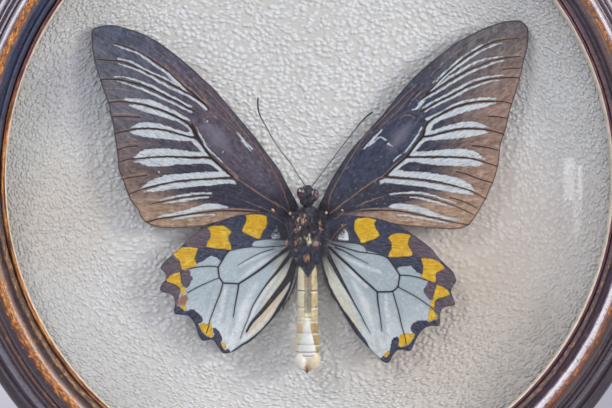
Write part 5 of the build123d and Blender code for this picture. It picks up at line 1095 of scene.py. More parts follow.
# ------------------------------------------------------------------ wings
def smooth_line(pts, step, closed=False):
    """Catmull-Rom through the points, spaced about step."""
    p = [np.array(q, float) for q in pts]
    n = len(p)
    out = []
    for i in range(n if closed else n - 1):
        p0 = p[(i - 1) % n] if closed or i > 0 else 2 * p[0] - p[1]
        p1, p2 = p[i], p[(i + 1) % n]
        p3 = p[(i + 2) % n] if closed or i + 2 < n else 2 * p[-1] - p[-2]
        m = max(1, int(round(np.linalg.norm(p2 - p1) / step)))
        for k in range(m):
            t = k / m
            out.append(0.5 * ((2 * p1) + (p2 - p0) * t + (2 * p0 - 5 * p1 + 4 * p2 - p3) * t * t + (3 * p1 - p0 - 3 * p2 + p3) * t ** 3))
    if not closed:
        out.append(p[-1])
    return np.array(out)


def seg_dist(P, A, B):
    """Distance of each P to each segment A-B, and where on it."""
    d = B - A
    L = np.maximum((d * d).sum(1), 1e-12)
    t = ((P[:, None, :] - A[None]) * d[None]).sum(2) / L
    t = np.clip(t, 0, 1)
    q = A[None] + t[..., None] * d[None]
    return np.sqrt(((P[:, None, :] - q) ** 2).sum(2)), t


def inside(P, poly):
    x, y = P[:, 0], P[:, 1]
    res = np.zeros(len(P), bool)
    n = len(poly)
    for i in range(n):
        x1, y1 = poly[i]
        x2, y2 = poly[(i + 1) % n]
        if y1 == y2:
            continue
        c = ((y1 > y) != (y2 > y)) & (x < (x2 - x1) * (y - y1) / (y2 - y1) + x1)
        res ^= c
    return res


FAR = 2.5


def poly_sd(P, poly):
    poly = np.array(poly, float)
    lo, hi = poly.min(0) - FAR, poly.max(0) + FAR
    out = np.full(len(P), -FAR)
    near = np.where(((P > lo) & (P < hi)).all(1))[0]
    if len(near):
        Q = P[near]
        A, B = poly, np.roll(poly, -1, 0)
        d = np.concatenate([seg_dist(q, A, B)[0].min(1) for q in np.array_split(Q, max(1, len(Q) // 4000))])
        out[near] = np.maximum(np.where(inside(Q, poly), d, -d), -FAR)
    return out


def polys_sd(P, polys):
    out = np.full(len(P), -FAR)
    for p in polys:
        out = np.maximum(out, poly_sd(P, p))
    return out


def stroke_sd(P, pts, w0, w1, w2):
    line_ = smooth_line(pts, 0.7)
    seg = np.linalg.norm(np.diff(line_, axis=0), axis=1)
    s = np.concatenate([[0], np.cumsum(seg)])
    s /= s[-1]
    lo, hi = line_.min(0) - FAR, line_.max(0) + FAR
    out = np.full(len(P), -FAR)
    near = np.where(((P > lo) & (P < hi)).all(1))[0]
    if len(near):
        res = []
        for q in np.array_split(P[near], max(1, len(near) // 4000)):
            d, t = seg_dist(q, line_[:-1], line_[1:])
            u = s[:-1][None] + t * np.diff(s)[None]
            w = np.where(u < 0.5, w0 + (w1 - w0) * u * 2, w1 + (w2 - w1) * (u - 0.5) * 2)
            res.append((w / 2 - d).max(1))
        out[near] = np.maximum(np.concatenate(res), -FAR)
    return out


def strokes_sd(P, items):
    out = np.full(len(P), -FAR)
    for w0, w1, w2, pts in items:
        out = np.maximum(out, stroke_sd(P, pts, w0, w1, w2))
    return out


# broad tones of each forewing: hind edge, middle, front and tip of the margin, between the veins, in the cell
FORE_TONES = {
    "forewing_left": ((174, 144, 121), (124, 107, 103), (112, 110, 120), (86, 91, 111), (58, 58, 74), (94, 86, 100)),
    "forewing_right": ((180, 150, 128), (164, 135, 119), (150, 124, 113), (106, 102, 106), (60, 60, 76), (62, 68, 90))}


def sweep(t, lo, hi):
    t = np.clip((t - lo) / (hi - lo), 0, 1)[:, None]
    return t * t * (3 - 2 * t)


def ground(P, name):
    """Broad tones of a wing: along the margin, darker to the root, creamier to the body."""
    dx, z = np.abs(P[:, 0] + 1.0), P[:, 1]
    if name.startswith("fore"):
        tail, mid_, front, tip, deep_, cell_ = (np.array(lin(*c)[:3]) for c in FORE_TONES[name])
        turn = np.degrees(np.arctan2(z + 11.6, dx))
        s = (turn + 6) / 52
        rho = np.hypot(dx, z + 11.6) / (52 + 41.5 * np.clip((turn + 5) / 46, 0, 1))
        c = tail + (mid_ - tail) * sweep(s, 0.05, 0.36)
        c = c + (front - c) * sweep(s, 0.35, 0.70)
        c = c + (tip - c) * sweep(s, 0.65, 1.0)
        inner = deep_ + (cell_ - deep_) * sweep(s, 0.50, 0.80)
        dark_from = 0.45 + 0.47 * sweep(s, 0.05, 0.30)[:, 0]
        c = c + (inner - c) * sweep(rho - dark_from, 0.0, -0.36)
        return c + (deep_ - c) * sweep(rho, 0.25, 0.08)
    side_blue, low_white, cream_ = (np.array(lin(*c)[:3]) for c in ((176, 190, 197), (236, 240, 241), (226, 220, 200)))
    c = side_blue + (low_white - side_blue) * sweep(-z, 38.0, 58.0) * 0.8
    c = c + (cream_ - c) * sweep(dx - 10.0 - 0.35 * (-z - 28.0), 1.5, -1.0)
    return c * (0.87 if name.endswith("right") else 1.0)


def wing(name, pts_u, slope, root_d, spec, spacing, base_pt, side, front_t=0.4):
    """Plate with a fine front that carries the pattern, and a plain back on the same rim."""
    k = math.sqrt(1 + slope * slope)
    outline = [(-1.0 + u / k, z) for u, z in pts_u]
    rim = smooth_line(outline, 0.42, closed=True)
    lo, hi = rim.min(0), rim.max(0)
    rows = np.arange(lo[1], hi[1], spacing * 0.866)
    rng = np.random.default_rng(len(pts_u))
    grid = []
    for i, z in enumerate(rows):
        xs = np.arange(lo[0] + (i % 2) * spacing / 2, hi[0], spacing)
        grid.append(np.stack([xs, np.full(len(xs), z)], -1))
    grid = np.concatenate(grid)
    grid += rng.uniform(-0.06, 0.06, grid.shape) * spacing
    extra = []
    for s in spec.get("strokes", []):
        extra.append(smooth_line(s[4], spacing * 0.8))
    for s in spec.get("veins", []):
        extra.append(smooth_line(s[3], spacing * 0.8))
    extra = np.concatenate(extra)
    cell = {}
    keep = []
    for e in extra:
        key = (round(e[0] / (spacing * 0.55)), round(e[1] / (spacing * 0.55)))
        if key not in cell:
            cell[key] = 1
            keep.append(e)
    extra = np.array(keep)
    sd_g = poly_sd(grid, rim)
    grid = grid[sd_g > spacing * 0.55]
    # grid points that crowd a line point go
    occ = set()
    for e in extra:
        i, j = int(e[0] // (spacing * 0.5)), int(e[1] // (spacing * 0.5))
        for a_ in (-1, 0, 1):
            for b_ in (-1, 0, 1):
                occ.add((i + a_, j + b_))
    gi = (grid // (spacing * 0.5)).astype(int)
    grid = grid[[tuple(q) not in occ for q in gi.tolist()]]
    extra = extra[poly_sd(extra, rim) > spacing * 0.5]
    allp = np.concatenate([rim, extra, grid])
    nr = len(rim)
    res = delaunay_2d_cdt([Vector(p) for p in allp.tolist()], [], [list(range(nr))], 1, 1e-6)
    V2 = np.array([tuple(v) for v in res[0]])
    F = [tuple(f) for f in res[2]]
    orig = res[3]
    # which output vertices are the rim, in order
    where = {}
    for i, o in enumerate(orig):
        for q in o:
            where[q] = i
    rim_ids = [where[i] for i in range(nr)]
    P = V2
    sd_edge = np.concatenate([seg_dist(q, rim, np.roll(rim, -1, 0))[0].min(1) for q in np.array_split(P, max(1, len(P) // 1500))])
    att = {"edge": sd_edge}
    items = spec.get("strokes", [])
    if items:
        att["pale"] = np.maximum(polys_sd(P, spec["pale"]), strokes_sd(P, [(a, b, c, p) for a, b, c, ck, p in items if ck == "p"]))
        for x, z, r, ck in spec["dots"]:
            if ck == "p":
                att["pale"] = np.maximum(att["pale"], r - np.hypot(P[:, 0] - x, P[:, 1] - z))
        for key, cks in (("tan", "to"), ("pink", "m"), ("rust", "r")):
            att[key] = strokes_sd(P, [(a * 0.75, b * 0.75, c * 0.75, p) for a, b, c, ck, p in items if ck in cks])
    for key in ("yellow", "orange", "peach", "black", "white", "brown"):
        if key in spec:
            att[key] = polys_sd(P, spec[key])
    if "glow" in spec:
        v = np.zeros(len(P))
        for w0, w1, w2, pts in spec["glow"]:
            v = np.maximum(v, sstep(-1.6, 0.45 * w1, stroke_sd(P, pts, w0, w1, w2)))
        att["glow"] = v
    if "black" in spec:
        att["black"] = np.minimum(att["black"], -poly_sd(P, spec["cell"]))
        for key in ("shine", "shade"):
            v = np.zeros(len(P))
            for w0, w1, w2, pts in spec[key]:
                v = np.maximum(v, sstep(-0.9, 0.35 * w1, stroke_sd(P, pts, w0, w1, w2)))
            att[key] = v
    att["vein"] = strokes_sd(P, [(a, (a + b) / 2, b, p) for a, b, c, p in spec["veins"]])
    lift = 0.10 * sstep(-0.35, 0.15, att["vein"])
    if "pale" in att:
        lift -= 0.03 * sstep(-0.2, 0.3, att["pale"])
    # the sheet pleats a little between its veins and curls at its rim
    rho = np.hypot(P[:, 0] - base_pt[0], P[:, 1] - base_pt[1])
    phi = np.arctan2(P[:, 1] - base_pt[1], (P[:, 0] - base_pt[0]) * side)
    pleat = 0.10 * np.sin(phi * 26 + 0.6 * np.sin(rho * 0.09)) * sstep(12, 45, rho) * sstep(0.2, 4, sd_edge)
    swell = 0.16 * wave(P, 31 + len(pts_u), 5, 0.008, 0.03) * sstep(10, 40, rho)
    mid_d = root_d + slope * np.abs(P[:, 0] + 1.0)
    d_front = mid_d + front_t - 0.12 + lift + np.clip(pleat + swell, -0.22, 0.3) - 0.08 * sstep(1.2, 0, sd_edge)
    d_back = mid_d + 0.05 + np.clip(pleat + swell, -0.05, 0.3)
    front_v = np.stack([P[:, 0], -d_front, P[:, 1]], -1)
    back_v = np.stack([P[:, 0], -d_back, P[:, 1]], -1)
    # back: coarser inside, same rim
    far = 4 if spacing < 0.45 else 3
    rng2 = np.random.default_rng(7)
    inner = [i for i in range(len(P)) if sd_edge[i] > 1.0]
    pick = [i for i in inner if (int(P[i, 0] // 1.3), int(P[i, 1] // 1.3)) is not None]
    seen, sparse = set(), []
    for i in pick:
        key = (int(P[i, 0] // 1.3), int(P[i, 1] // 1.3))
        if key not in seen:
            seen.add(key)
            sparse.append(i)
    back_pts = [tuple(V2[i]) for i in rim_ids] + [tuple(V2[i]) for i in sparse]
    rb = delaunay_2d_cdt([Vector(p) for p in back_pts], [], [list(range(nr))], 1, 1e-6)
    nF = len(front_v)
    back_ids, bverts = [], []
    src = rim_ids + sparse
    vb = np.array([tuple(v) for v in rb[0]])
    for i, o in enumerate(rb[3]):
        bverts.append(tuple(back_v[src[o[0]]]) if len(o) else (vb[i][0], -float(root_d + slope * abs(vb[i][0] + 1) + 0.05), vb[i][1]))
    where_b = {}
    for i, o in enumerate(rb[3]):
        for q in o:
            where_b[q] = i
    verts = [tuple(v) for v in front_v] + bverts
    faces = list(F) + [tuple(reversed([nF + i for i in f])) for f in rb[2]]
    for i in range(nr):
        a, b = rim_ids[i], rim_ids[(i + 1) % nr]
        c, d = nF + where_b[(i + 1) % nr], nF + where_b[i]
        faces.append((a, b, c, d))
    ob = out_of(new_mesh(name, verts, faces))
    tail = len(bverts)
    bsrc = [src[o[0]] if len(o) else 0 for o in rb[3]]
    for key, val in att.items():
        float_attr(ob, key, np.concatenate([val, val[bsrc]]))
    col = ground(P, name.rsplit("_", 1)[0])
    colour_attr(ob, "ground", np.concatenate([col, col[bsrc]]))
    flow = np.stack([rho, phi * 40, np.zeros(len(P))], -1)
    vector_attr(ob, "flow", np.concatenate([flow, flow[bsrc]]))
    return ob, (lambda x, z: root_d + slope * abs(x + 1.0))


def tubes(name, items, depth_of, lift, mat_for=None, sides=6, step=0.5):
    """Tapered round rods through points (x, z) just above a sheet. items: (r0, r1, pts)."""
    v, f, tone_ = [], [], []
    for r0, r1, pts, tn in items:
        c = smooth_line(pts, step)
        n = len(c)
        if n < 3:
            continue
        tang = np.gradient(c, axis=0)
        tang /= np.linalg.norm(tang, axis=1)[:, None] + 1e-9
        start = len(v)
        for i in range(n):
            t = i / (n - 1)
            end = min(1.0, min(i, n - 1 - i) / 2.0 + 0.25)
            r = (r0 + (r1 - r0) * t) * end
            nx, nz = -tang[i, 1], tang[i, 0]
            d0 = depth_of(c[i, 0], c[i, 1]) + lift
            for s in range(sides):
                a = TAU * s / sides
                v.append((c[i, 0] + nx * r * math.cos(a), -(d0 + r * 0.75 * math.sin(a)), c[i, 1] + nz * r * math.cos(a)))
                tone_.append(tn)
        for i in range(n - 1):
            for s in range(sides):
                s2 = (s + 1) % sides
                o = start + i * sides
                f.append((o + s, o + s2, o + sides + s2, o + sides + s))
        f.append(tuple(range(start + sides - 1, start - 1, -1)))
        f.append(tuple(range(start + (n - 1) * sides, start + n * sides)))
    ob = out_of(new_mesh(name, v, f))
    float_attr(ob, "tone", tone_)
    return ob


def blot_late(w, P):
    return w.noise(P, 90.0, 2, 0.5)


def wing_shader(name, kind):
    w = Mat(name, rough=0.72, spec=0.14, sheen=0.06, sheen_rough=0.5)
    flow = w.attr("flow", "Vector")
    P = w.obj()
    streak = w.noise(w.scale(flow, (0.14, 0.85, 1.0)), 1.0, 4, 0.65)
    streak2 = w.noise(w.scale(flow, (0.24, 1.7, 1.0)), 1.0, 3, 0.65)
    dust = w.noise(P, 950.0, 4, 0.72)
    blot = w.noise(P, 260.0, 3, 0.55)
    blot2 = w.noise(P, 480.0, 3, 0.65)
    streak3 = w.noise(w.scale(flow, (0.45, 2.9, 1.0)), 1.0, 3, 0.65)
    ragged = w.math("ADD", w.math("MULTIPLY", w.math("SUBTRACT", dust, 0.5), 0.7), w.math("ADD", w.math("MULTIPLY", w.math("SUBTRACT", streak2, 0.5), 0.7), w.math("MULTIPLY", w.math("SUBTRACT", streak3, 0.5), 0.6)))
    fleck = w.math("MULTIPLY", w.mr(w.vor(P, 520.0, "F1"), 0.11, 0.04), w.mr(blot_late(w, P), 0.50, 0.62))

    def mask(key, soft=0.10, rag=1.0, shift=0.0):
        v = w.math("ADD", w.attr(key), w.math("MULTIPLY", ragged, rag))
        return w.mr(v, -soft + shift, soft + shift)

    if kind == "fore":
        c = w.attr("ground", "Color")
        c = w.mix(w.mr(streak, 0.46, 0.66, 0.0, 0.60), c, w.hsv(c, 0.5, 1.0, 0.50))
        c = w.mix(w.mr(streak, 0.50, 0.34, 0.0, 0.45), c, w.hsv(c, 0.5, 0.95, 1.35))
        c = w.mix(w.mr(streak2, 0.52, 0.66, 0.0, 0.55), c, w.hsv(c, 0.5, 0.85, 1.5))
        c = w.mix(w.mr(streak3, 0.50, 0.64, 0.0, 0.55), c, w.hsv(c, 0.5, 1.0, 0.5))
        c = w.mix(w.mr(dust, 0.50, 0.38, 0.0, 0.55), c, w.hsv(c, 0.5, 1.05, 0.5))
        c = w.mix(w.mr(blot2, 0.52, 0.66, 0.0, 0.45), c, w.hsv(c, 0.5, 0.9, 1.45))
        c = w.mix(w.mr(blot2, 0.48, 0.36, 0.0, 0.45), c, w.hsv(c, 0.5, 1.05, 0.6))
        c = w.mix(w.math("MULTIPLY", w.attr("glow"), 0.55), c, lin(134, 128, 144))
        c = w.mix(w.mr(w.attr("vein"), -0.55, -0.22, 0.0, 0.30), c, lin(150, 118, 98))
        # darker on both sides of each pale streak and along the rim
        c = w.mix(w.mr(w.attr("edge"), 0.75, 0.2, 0.0, 0.75), c, lin(40, 38, 48))
        c = w.mix(w.mr(w.attr("edge"), 0.24, 0.05, 0.0, 0.5), c, lin(132, 120, 116))
        pale = w.ramp(streak2, [(0.25, lin(176, 186, 194)), (0.5, lin(206, 214, 220)), (0.75, lin(226, 231, 234))])
        halo = w.mr(w.attr("pale"), -0.9, -0.1, 0.0, 0.32)
        c = w.mix(halo, c, w.hsv(c, 0.5, 1.0, 0.70))
        pale = w.mix(w.mr(streak3, 0.52, 0.66, 0.0, 0.35), pale, lin(132, 134, 142))
        c = w.mix(w.math("MULTIPLY", mask("pale", 0.20, 1.2), w.mr(streak3, 0.54, 0.64, 0.95, 0.60)), c, pale)
        c = w.mix(w.math("MULTIPLY", mask("tan", 0.14, 0.9), 0.55), c, lin(182, 150, 126))
        c = w.mix(w.math("MULTIPLY", mask("pink", 0.14, 0.9), 0.6), c, lin(176, 144, 134))
        c = w.mix(w.math("MULTIPLY", mask("rust", 0.16, 0.9), 0.55), c, lin(128, 88, 80))
        c = w.mix(w.mr(w.attr("vein"), -0.16, 0.06, 0.0, 0.9), c, lin(44, 36, 42))
        c = w.mix(w.mr(dust, 0.60, 0.70, 0.0, 0.38), c, lin(176, 168, 164))
        c = w.mix(w.math("MULTIPLY", fleck, 0.75), c, lin(222, 218, 212))
    else:
        c = w.attr("ground", "Color")
        c = w.mix(w.mr(streak, 0.42, 0.66, 0.0, 0.35), c, w.hsv(c, 0.5, 1.15, 0.84))
        c = w.mix(w.mr(streak2, 0.52, 0.72, 0.0, 0.35), c, lin(240, 243, 244))
        c = w.mix(w.math("MULTIPLY", w.attr("shade"), 0.42), c, lin(150, 164, 176))
        c = w.mix(w.math("MULTIPLY", w.attr("shine"), 0.55), c, lin(246, 247, 247))
        c = w.mix(w.mr(blot, 0.45, 0.7, 0.0, 0.16), c, lin(176, 186, 190))
        c = w.mix(w.mr(streak3, 0.50, 0.64, 0.0, 0.55), c, lin(146, 160, 170))
        c = w.mix(w.mr(blot2, 0.50, 0.66, 0.0, 0.40), c, lin(158, 172, 182))
        c = w.mix(w.mr(dust, 0.52, 0.66, 0.0, 0.35), c, lin(232, 237, 239))
        c = w.mix(w.mr(w.attr("vein"), -0.8, -0.05, 0.0, 0.42), c, lin(138, 148, 158))
        root_m = w.mr(w.sep(flow)[0], 15.0, 4.0)
        c = w.mix(w.math("MULTIPLY", root_m, w.mr(streak, 0.38, 0.58)), c, lin(60, 60, 72))
        dark = w.ramp(streak, [(0.3, lin(20, 23, 38)), (0.5, lin(36, 40, 58)), (0.72, lin(66, 66, 84))])
        dark = w.mix(w.mr(dust, 0.52, 0.64, 0.0, 0.55), dark, lin(92, 96, 116))
        dark = w.mix(w.mr(streak3, 0.48, 0.58, 0.0, 0.70), dark, lin(88, 94, 116))
        c = w.mix(mask("black", 0.10, 1.0), c, dark)
        if kind == "hind":
            c = w.mix(w.math("MULTIPLY", w.math("MULTIPLY", mask("brown", 0.35, 1.6), mask("black", 0.1, 1.0)), 0.8), c, w.mix(w.mr(streak3, 0.50, 0.60, 0.0, 0.6), w.ramp(streak, [(0.3, lin(72, 58, 68)), (0.7, lin(110, 94, 102))]), lin(136, 120, 128)))
        yel = w.ramp(streak2, [(0.25, lin(182, 134, 18)), (0.45, lin(218, 170, 26)), (0.7, lin(240, 204, 66))])
        yel = w.mix(w.mr(dust, 0.52, 0.38, 0.0, 0.45), yel, lin(190, 140, 24))
        yel = w.mix(w.mr(blot, 0.48, 0.7, 0.0, 0.45), yel, lin(206, 148, 14))
        yel = w.mix(w.mr(streak3, 0.52, 0.64, 0.0, 0.60), yel, lin(140, 102, 24))
        yel = w.mix(w.mr(blot2, 0.52, 0.66, 0.0, 0.35), yel, lin(252, 224, 110))
        yel = w.mix(w.mr(w.attr("yellow"), 0.26, 0.0, 0.0, 0.55), yel, lin(120, 86, 26))
        c = w.mix(mask("yellow", 0.09, 0.8), c, yel)
        c = w.mix(w.math("MULTIPLY", mask("orange", 0.3, 1.6), 0.9), c, lin(150, 92, 58))
        c = w.mix(mask("peach", 0.16, 1.0), c, w.ramp(streak2, [(0.3, lin(198, 172, 146)), (0.7, lin(226, 208, 186))]))
        c = w.mix(mask("white", 0.18, 1.4), c, lin(226, 230, 232))
        c = w.mix(w.mr(w.attr("vein"), -0.10, 0.04, 0.0, 0.96), c, w.mix(w.mr(dust, 0.5, 0.66), lin(18, 17, 24), lin(58, 52, 60)))
        c = w.mix(w.mr(w.attr("edge"), 0.22, 0.05, 0.0, 0.8), c, lin(30, 28, 36))
        c = w.mix(w.mr(dust, 0.60, 0.72, 0.0, 0.25), c, lin(150, 148, 154))
    hgt = w.math("ADD", w.math("MULTIPLY", streak2, 0.7), w.math("MULTIPLY", dust, 0.5))
    return w.out(c, w.mr(streak, 0.3, 0.7, 0.58, 0.82, smooth=False), w.bump(hgt, 0.4, 0.00012))


fore_mat = wing_shader("forewing_scales", "fore")
hind_mat = wing_shader("hindwing_scales", "hind")

w = Mat("wing_veins", rough=0.6, spec=0.2)
P = w.obj()
vn = w.noise(P, 1500.0, 3, 0.6)
tn = w.attr("tone")
vc = w.mix(w.mr(tn, 0.2, 0.8, smooth=False), w.ramp(vn, [(0.3, lin(20, 17, 24)), (0.7, lin(46, 38, 44))]), w.ramp(vn, [(0.3, lin(120, 88, 76)), (0.7, lin(178, 142, 122))]))
vein_mat = w.out(vc, w.mr(vn, 0.3, 0.7, 0.42, 0.62, smooth=False), w.bump(vn, 0.3, 0.00006))

TONES = {"k": 0.0, "b": 0.28, "t": 0.62, "m": 0.75, "o": 0.8, "r": 0.4}
for name, outline_, spec_, slope_, root_, base_, side_, mat_, slot_, gap in (
        ("forewing_left", FORE_L_OUT, FORE_L, 0.045, 15.2, (-4.5, -12.0), -1, fore_mat, "forewing", 0.36),
        ("forewing_right", FORE_R_OUT, FORE_R, 0.045, 15.2, (5.5, -12.0), 1, fore_mat, "forewing", 0.36),
        ("hindwing_left", HIND_L_OUT, HIND_L, 0.03, 16.5, (-3.0, -22.0), -1, hind_mat, "hindwing", 0.36),
        ("hindwing_right", HIND_R_OUT, HIND_R, 0.03, 16.5, (3.9, -22.0), 1, hind_mat, "hindwing", 0.36)):
    ob, plane = wing(name + "_scales", outline_, slope_, root_, spec_, gap, base_, side_)
    put(ob, mat_, replaces=name)
    rods = [(a / 2 * 0.6, b / 2 * 0.6, p, TONES[c]) for a, b, c, p in spec_["veins"] if max(a, b) < 1.0]
    rods += [(min(a, b) / 2 * 0.5, min(c, b) / 2 * 0.5, p, TONES[ck]) for a, b, c, ck, p in spec_.get("strokes", []) if ck in "tmo" and len(p) > 4]
    vo_ = tubes(name + "_veins", rods, plane, 0.40)
    put(vo_, vein_mat)


# ------------------------------------------------------------------ body
def lathe_z(name, rows, seg, centre_of, shape=None):
    """Closed body along Z. rows: (z, radius); centre_of(z) gives (x, y); shape scales the radius at (angle, z)."""
    v, f = [], []
    for z, r in rows:
        cx, cy = centre_of(z)
        for s in range(seg):
            a = TAU * s / seg
            k = shape(a, z) if shape else 1.0
            v.append((cx + r * k * math.cos(a), cy - r * k * math.sin(a), z))
    m = len(rows)
    for i in range(m - 1):
        for s in range(seg):
            s2 = (s + 1) % seg
            o = i * seg
            f.append((o + s, o + s2, o + seg + s2, o + seg + s))
    f.append(tuple(range(seg - 1, -1, -1)))
    f.append(tuple(range((m - 1) * seg, m * seg)))
    return out_of(new_mesh(name, v, f))


def curve_rows(knots, n):
    zs = [k[0] for k in knots]
    z = np.linspace(zs[0], zs[-1], n)
    s = smooth_line(knots, 0.15)
    order = np.argsort(s[:, 0])
    return [(float(q), float(np.interp(q, s[order, 0], s[order, 1]))) for q in z]


def hairs(name, roots, dirs, lengths, width, colours, bend, seed, seg=3):
    """Fine tapered hairs, three-sided. bend is a vector added as the hair goes out."""
    rng = np.random.default_rng(seed)
    n = len(roots)
    v, f, cl = [], [], []
    up = np.array([0.3, 0.2, 0.93])
    for i in range(n):
        d = dirs[i] / np.linalg.norm(dirs[i])
        a = np.cross(d, up)
        a /= np.linalg.norm(a) + 1e-9
        b = np.cross(d, a)
        L = lengths[i]
        w_ = width * rng.uniform(0.7, 1.2)
        start = len(v)
        curl = bend[i] + rng.normal(size=3) * 0.12
        for k in range(seg):
            t = k / seg
            c = roots[i] + d * L * t + curl * L * t * t
            r = w_ * (1 - t) ** 0.7 / 2
            for s in range(3):
                ang = TAU * s / 3
                v.append(c + r * (a * math.cos(ang) + b * math.sin(ang)))
                cl.append(colours[i] * (0.8 + 0.35 * t))
        v.append(roots[i] + d * L + curl * L)
        cl.append(colours[i] * 1.2)
        for k in range(seg - 1):
            for s in range(3):
                s2 = (s + 1) % 3
                o = start + k * 3
                f.append((o + s, o + s2, o + 3 + s2, o + 3 + s))
        o = start + (seg - 1) * 3
        for s in range(3):
            f.append((o + s, o + (s + 1) % 3, start + seg * 3))
        f.append((start + 2, start + 1, start))
    ob = new_mesh(name, v, f)
    colour_attr(ob, "hair", np.clip(np.array(cl), 0, 1))
    return ob


HAIR = {k: np.array(lin(*c)[:3]) for k, c in {
    "night": (40, 43, 62), "blue": (68, 76, 106), "slate": (110, 118, 142), "brown": (84, 58, 54), "tan": (214, 168, 124),
    "orange": (222, 162, 104), "cream": (250, 236, 196), "pink": (206, 168, 156), "white": (232, 232, 232), "umber": (48, 34, 38), "plum": (72, 56, 66)}.items()}
# tufts on the underside: x, z, reach, colour
TUFTS = [(-6.3, -15.4, 0.75, "tan"), (-5.6, -17.4, 0.65, "tan"), (-6.1, -13.3, 0.4, "white"), (-4.5, -14.2, 0.5, "cream"), (-2.6, -14.3, 1.0, "pink"), (-2.3, -12.6, 0.6, "pink"),
         (2.9, -15.2, 0.55, "tan"), (3.0, -17.0, 0.5, "orange"), (3.9, -17.4, 0.3, "white"), (-0.9, -21.4, 1.0, "cream"), (-1.0, -19.8, 0.6, "white"), (-4.3, -13.4, 0.4, "white"), (-3.9, -16.6, 0.4, "white"), (-3.7, -20.4, 0.4, "cream"), (-5.6, -22.0, 0.85, "orange"),
         (-5.2, -24.6, 0.5, "tan"), (-8.2, -21.7, 0.6, "pink"), (1.4, -22.2, 0.9, "pink"), (0.8, -17.2, 1.3, "plum"), (-2.2, -17.6, 1.3, "plum"),
         (-3.0, -24.6, 1.2, "blue"), (1.2, -25.6, 1.2, "blue"), (-4.9, -27.4, 0.5, "pink"), (-1.4, -26.8, 0.6, "tan"), (2.8, -20.6, 0.8, "night"), (-4.2, -11.4, 1.2, "night"), (1.6, -12.4, 1.5, "night")]


def tuft_colour(x, z, rng):
    best, col = 1e9, None
    for tx, tz, tr, tc in TUFTS:
        q = math.hypot(x - tx, z - tz) / (tr * 1.25)
        if q < best:
            best, col = q, tc
    if best < 1.0 + 0.25 * rng.normal():
        base_ = HAIR[col]
    else:
        base_ = HAIR[rng.choice(["night", "night", "night", "night", "umber", "blue", "blue", "slate", "brown"])]
    return base_ * rng.uniform(0.75, 1.25)


def thorax_r(z):
    k = [(-29.4, 3.3), (-25.2, 4.9), (-19.0, 5.6), (-13.2, 4.9), (-9.4, 2.2)]
    return float(np.interp(z, [q[0] for q in k], [q[1] for q in k]))


TH_X, TH_Y = -0.7, -19.0
rows = curve_rows([(-29.4, 2.9), (-27.6, 3.7), (-25.2, 4.4), (-22, 4.85), (-19.0, 5.0), (-16, 4.8), (-13.2, 4.3), (-11, 3.2), (-9.4, 1.9)], 90)


def thorax_shape(a, z):
    s = 1 + 0.05 * math.sin(z * 2.1 + 2 * a) + 0.035 * math.sin(5 * a + z * 1.3) + 0.03 * math.sin(9 * a - z * 2.2)
    s -= 0.10 * math.exp(-((math.cos(a)) / 0.16) ** 2) * (1 if math.sin(a) > 0 else 0)
    s -= 0.06 * math.exp(-((z + 17.5) / 0.5) ** 2) + 0.05 * math.exp(-((z + 22.5) / 0.5) ** 2)
    return s


thorax = lathe_z("thorax_core", rows, 120, lambda z: (TH_X, TH_Y), thorax_shape)
w = Mat("thorax_skin", rough=0.45, spec=0.4, sheen=0.05, sheen_rough=0.4)
P = w.obj()
a1 = w.noise(w.scale(P, (1.0, 1.0, 0.35)), 1500.0, 4, 0.65)
a2 = w.noise(P, 420.0, 3, 0.6)
c = w.ramp(a1, [(0.3, lin(16, 16, 26)), (0.5, lin(32, 32, 46)), (0.7, lin(78, 78, 94))])
c = w.mix(w.mr(a2, 0.55, 0.72, 0.0, 0.6), c, lin(112, 84, 72))
skin_mat = w.out(c, w.mr(a1, 0.3, 0.7, 0.38, 0.62, smooth=False), w.bump(a1, 0.7, 0.0003))
put(thorax, skin_mat, replaces="thorax")

rng = np.random.default_rng(11)
# the hair lies in locks: every hair takes its lean, length and colour from the nearest one
LOCKS = []
for _ in range(230):
    z = rng.uniform(-29.0, -9.8)
    a = rng.uniform(0.04, math.pi - 0.04)
    x = TH_X + thorax_r(z) * math.cos(a)
    col = tuft_colour(x, z - 0.6, rng)
    lean = np.array([rng.normal() * 0.45 + 0.3 * math.cos(a), 0.0, -0.75 + rng.normal() * 0.4])
    LOCKS.append((x, z, lean, rng.uniform(0.75, 1.35), col))
LX = np.array([(q[0], q[1]) for q in LOCKS])
roots, dirs, lens, cols, bends = [], [], [], [], []
for _ in range(5200):
    z = -9.6 - 19.8 * rng.random()
    a = rng.uniform(0, TAU) if rng.random() < 0.2 else rng.uniform(0.02, math.pi - 0.02)
    r = thorax_r(z) * 0.88
    nrm = np.array([math.cos(a), -math.sin(a), 0.0])
    p = np.array([TH_X, TH_Y, z]) + nrm * r * 0.97
    i = int(np.argmin(((LX - [p[0], z]) ** 2 * [1.0, 0.5]).sum(1)))
    lx, lz, lean, ln_, col = LOCKS[i]
    gather = np.array([(lx - p[0]) * 0.55, 0.0, (lz - z) * 0.35])
    roots.append(p)
    dirs.append(nrm * 0.62 + lean + gather * 0.4)
    lens.append(rng.uniform(0.85, 1.5) * ln_ * (1.2 if z < -24 else 1.0))
    near = tuft_colour(p[0], z - 0.6, rng)
    cols.append((col * 0.65 + near * 0.35) * rng.uniform(0.75, 1.25))
    bends.append(gather * 0.5 + np.array([0.0, 0.12, -0.3]))
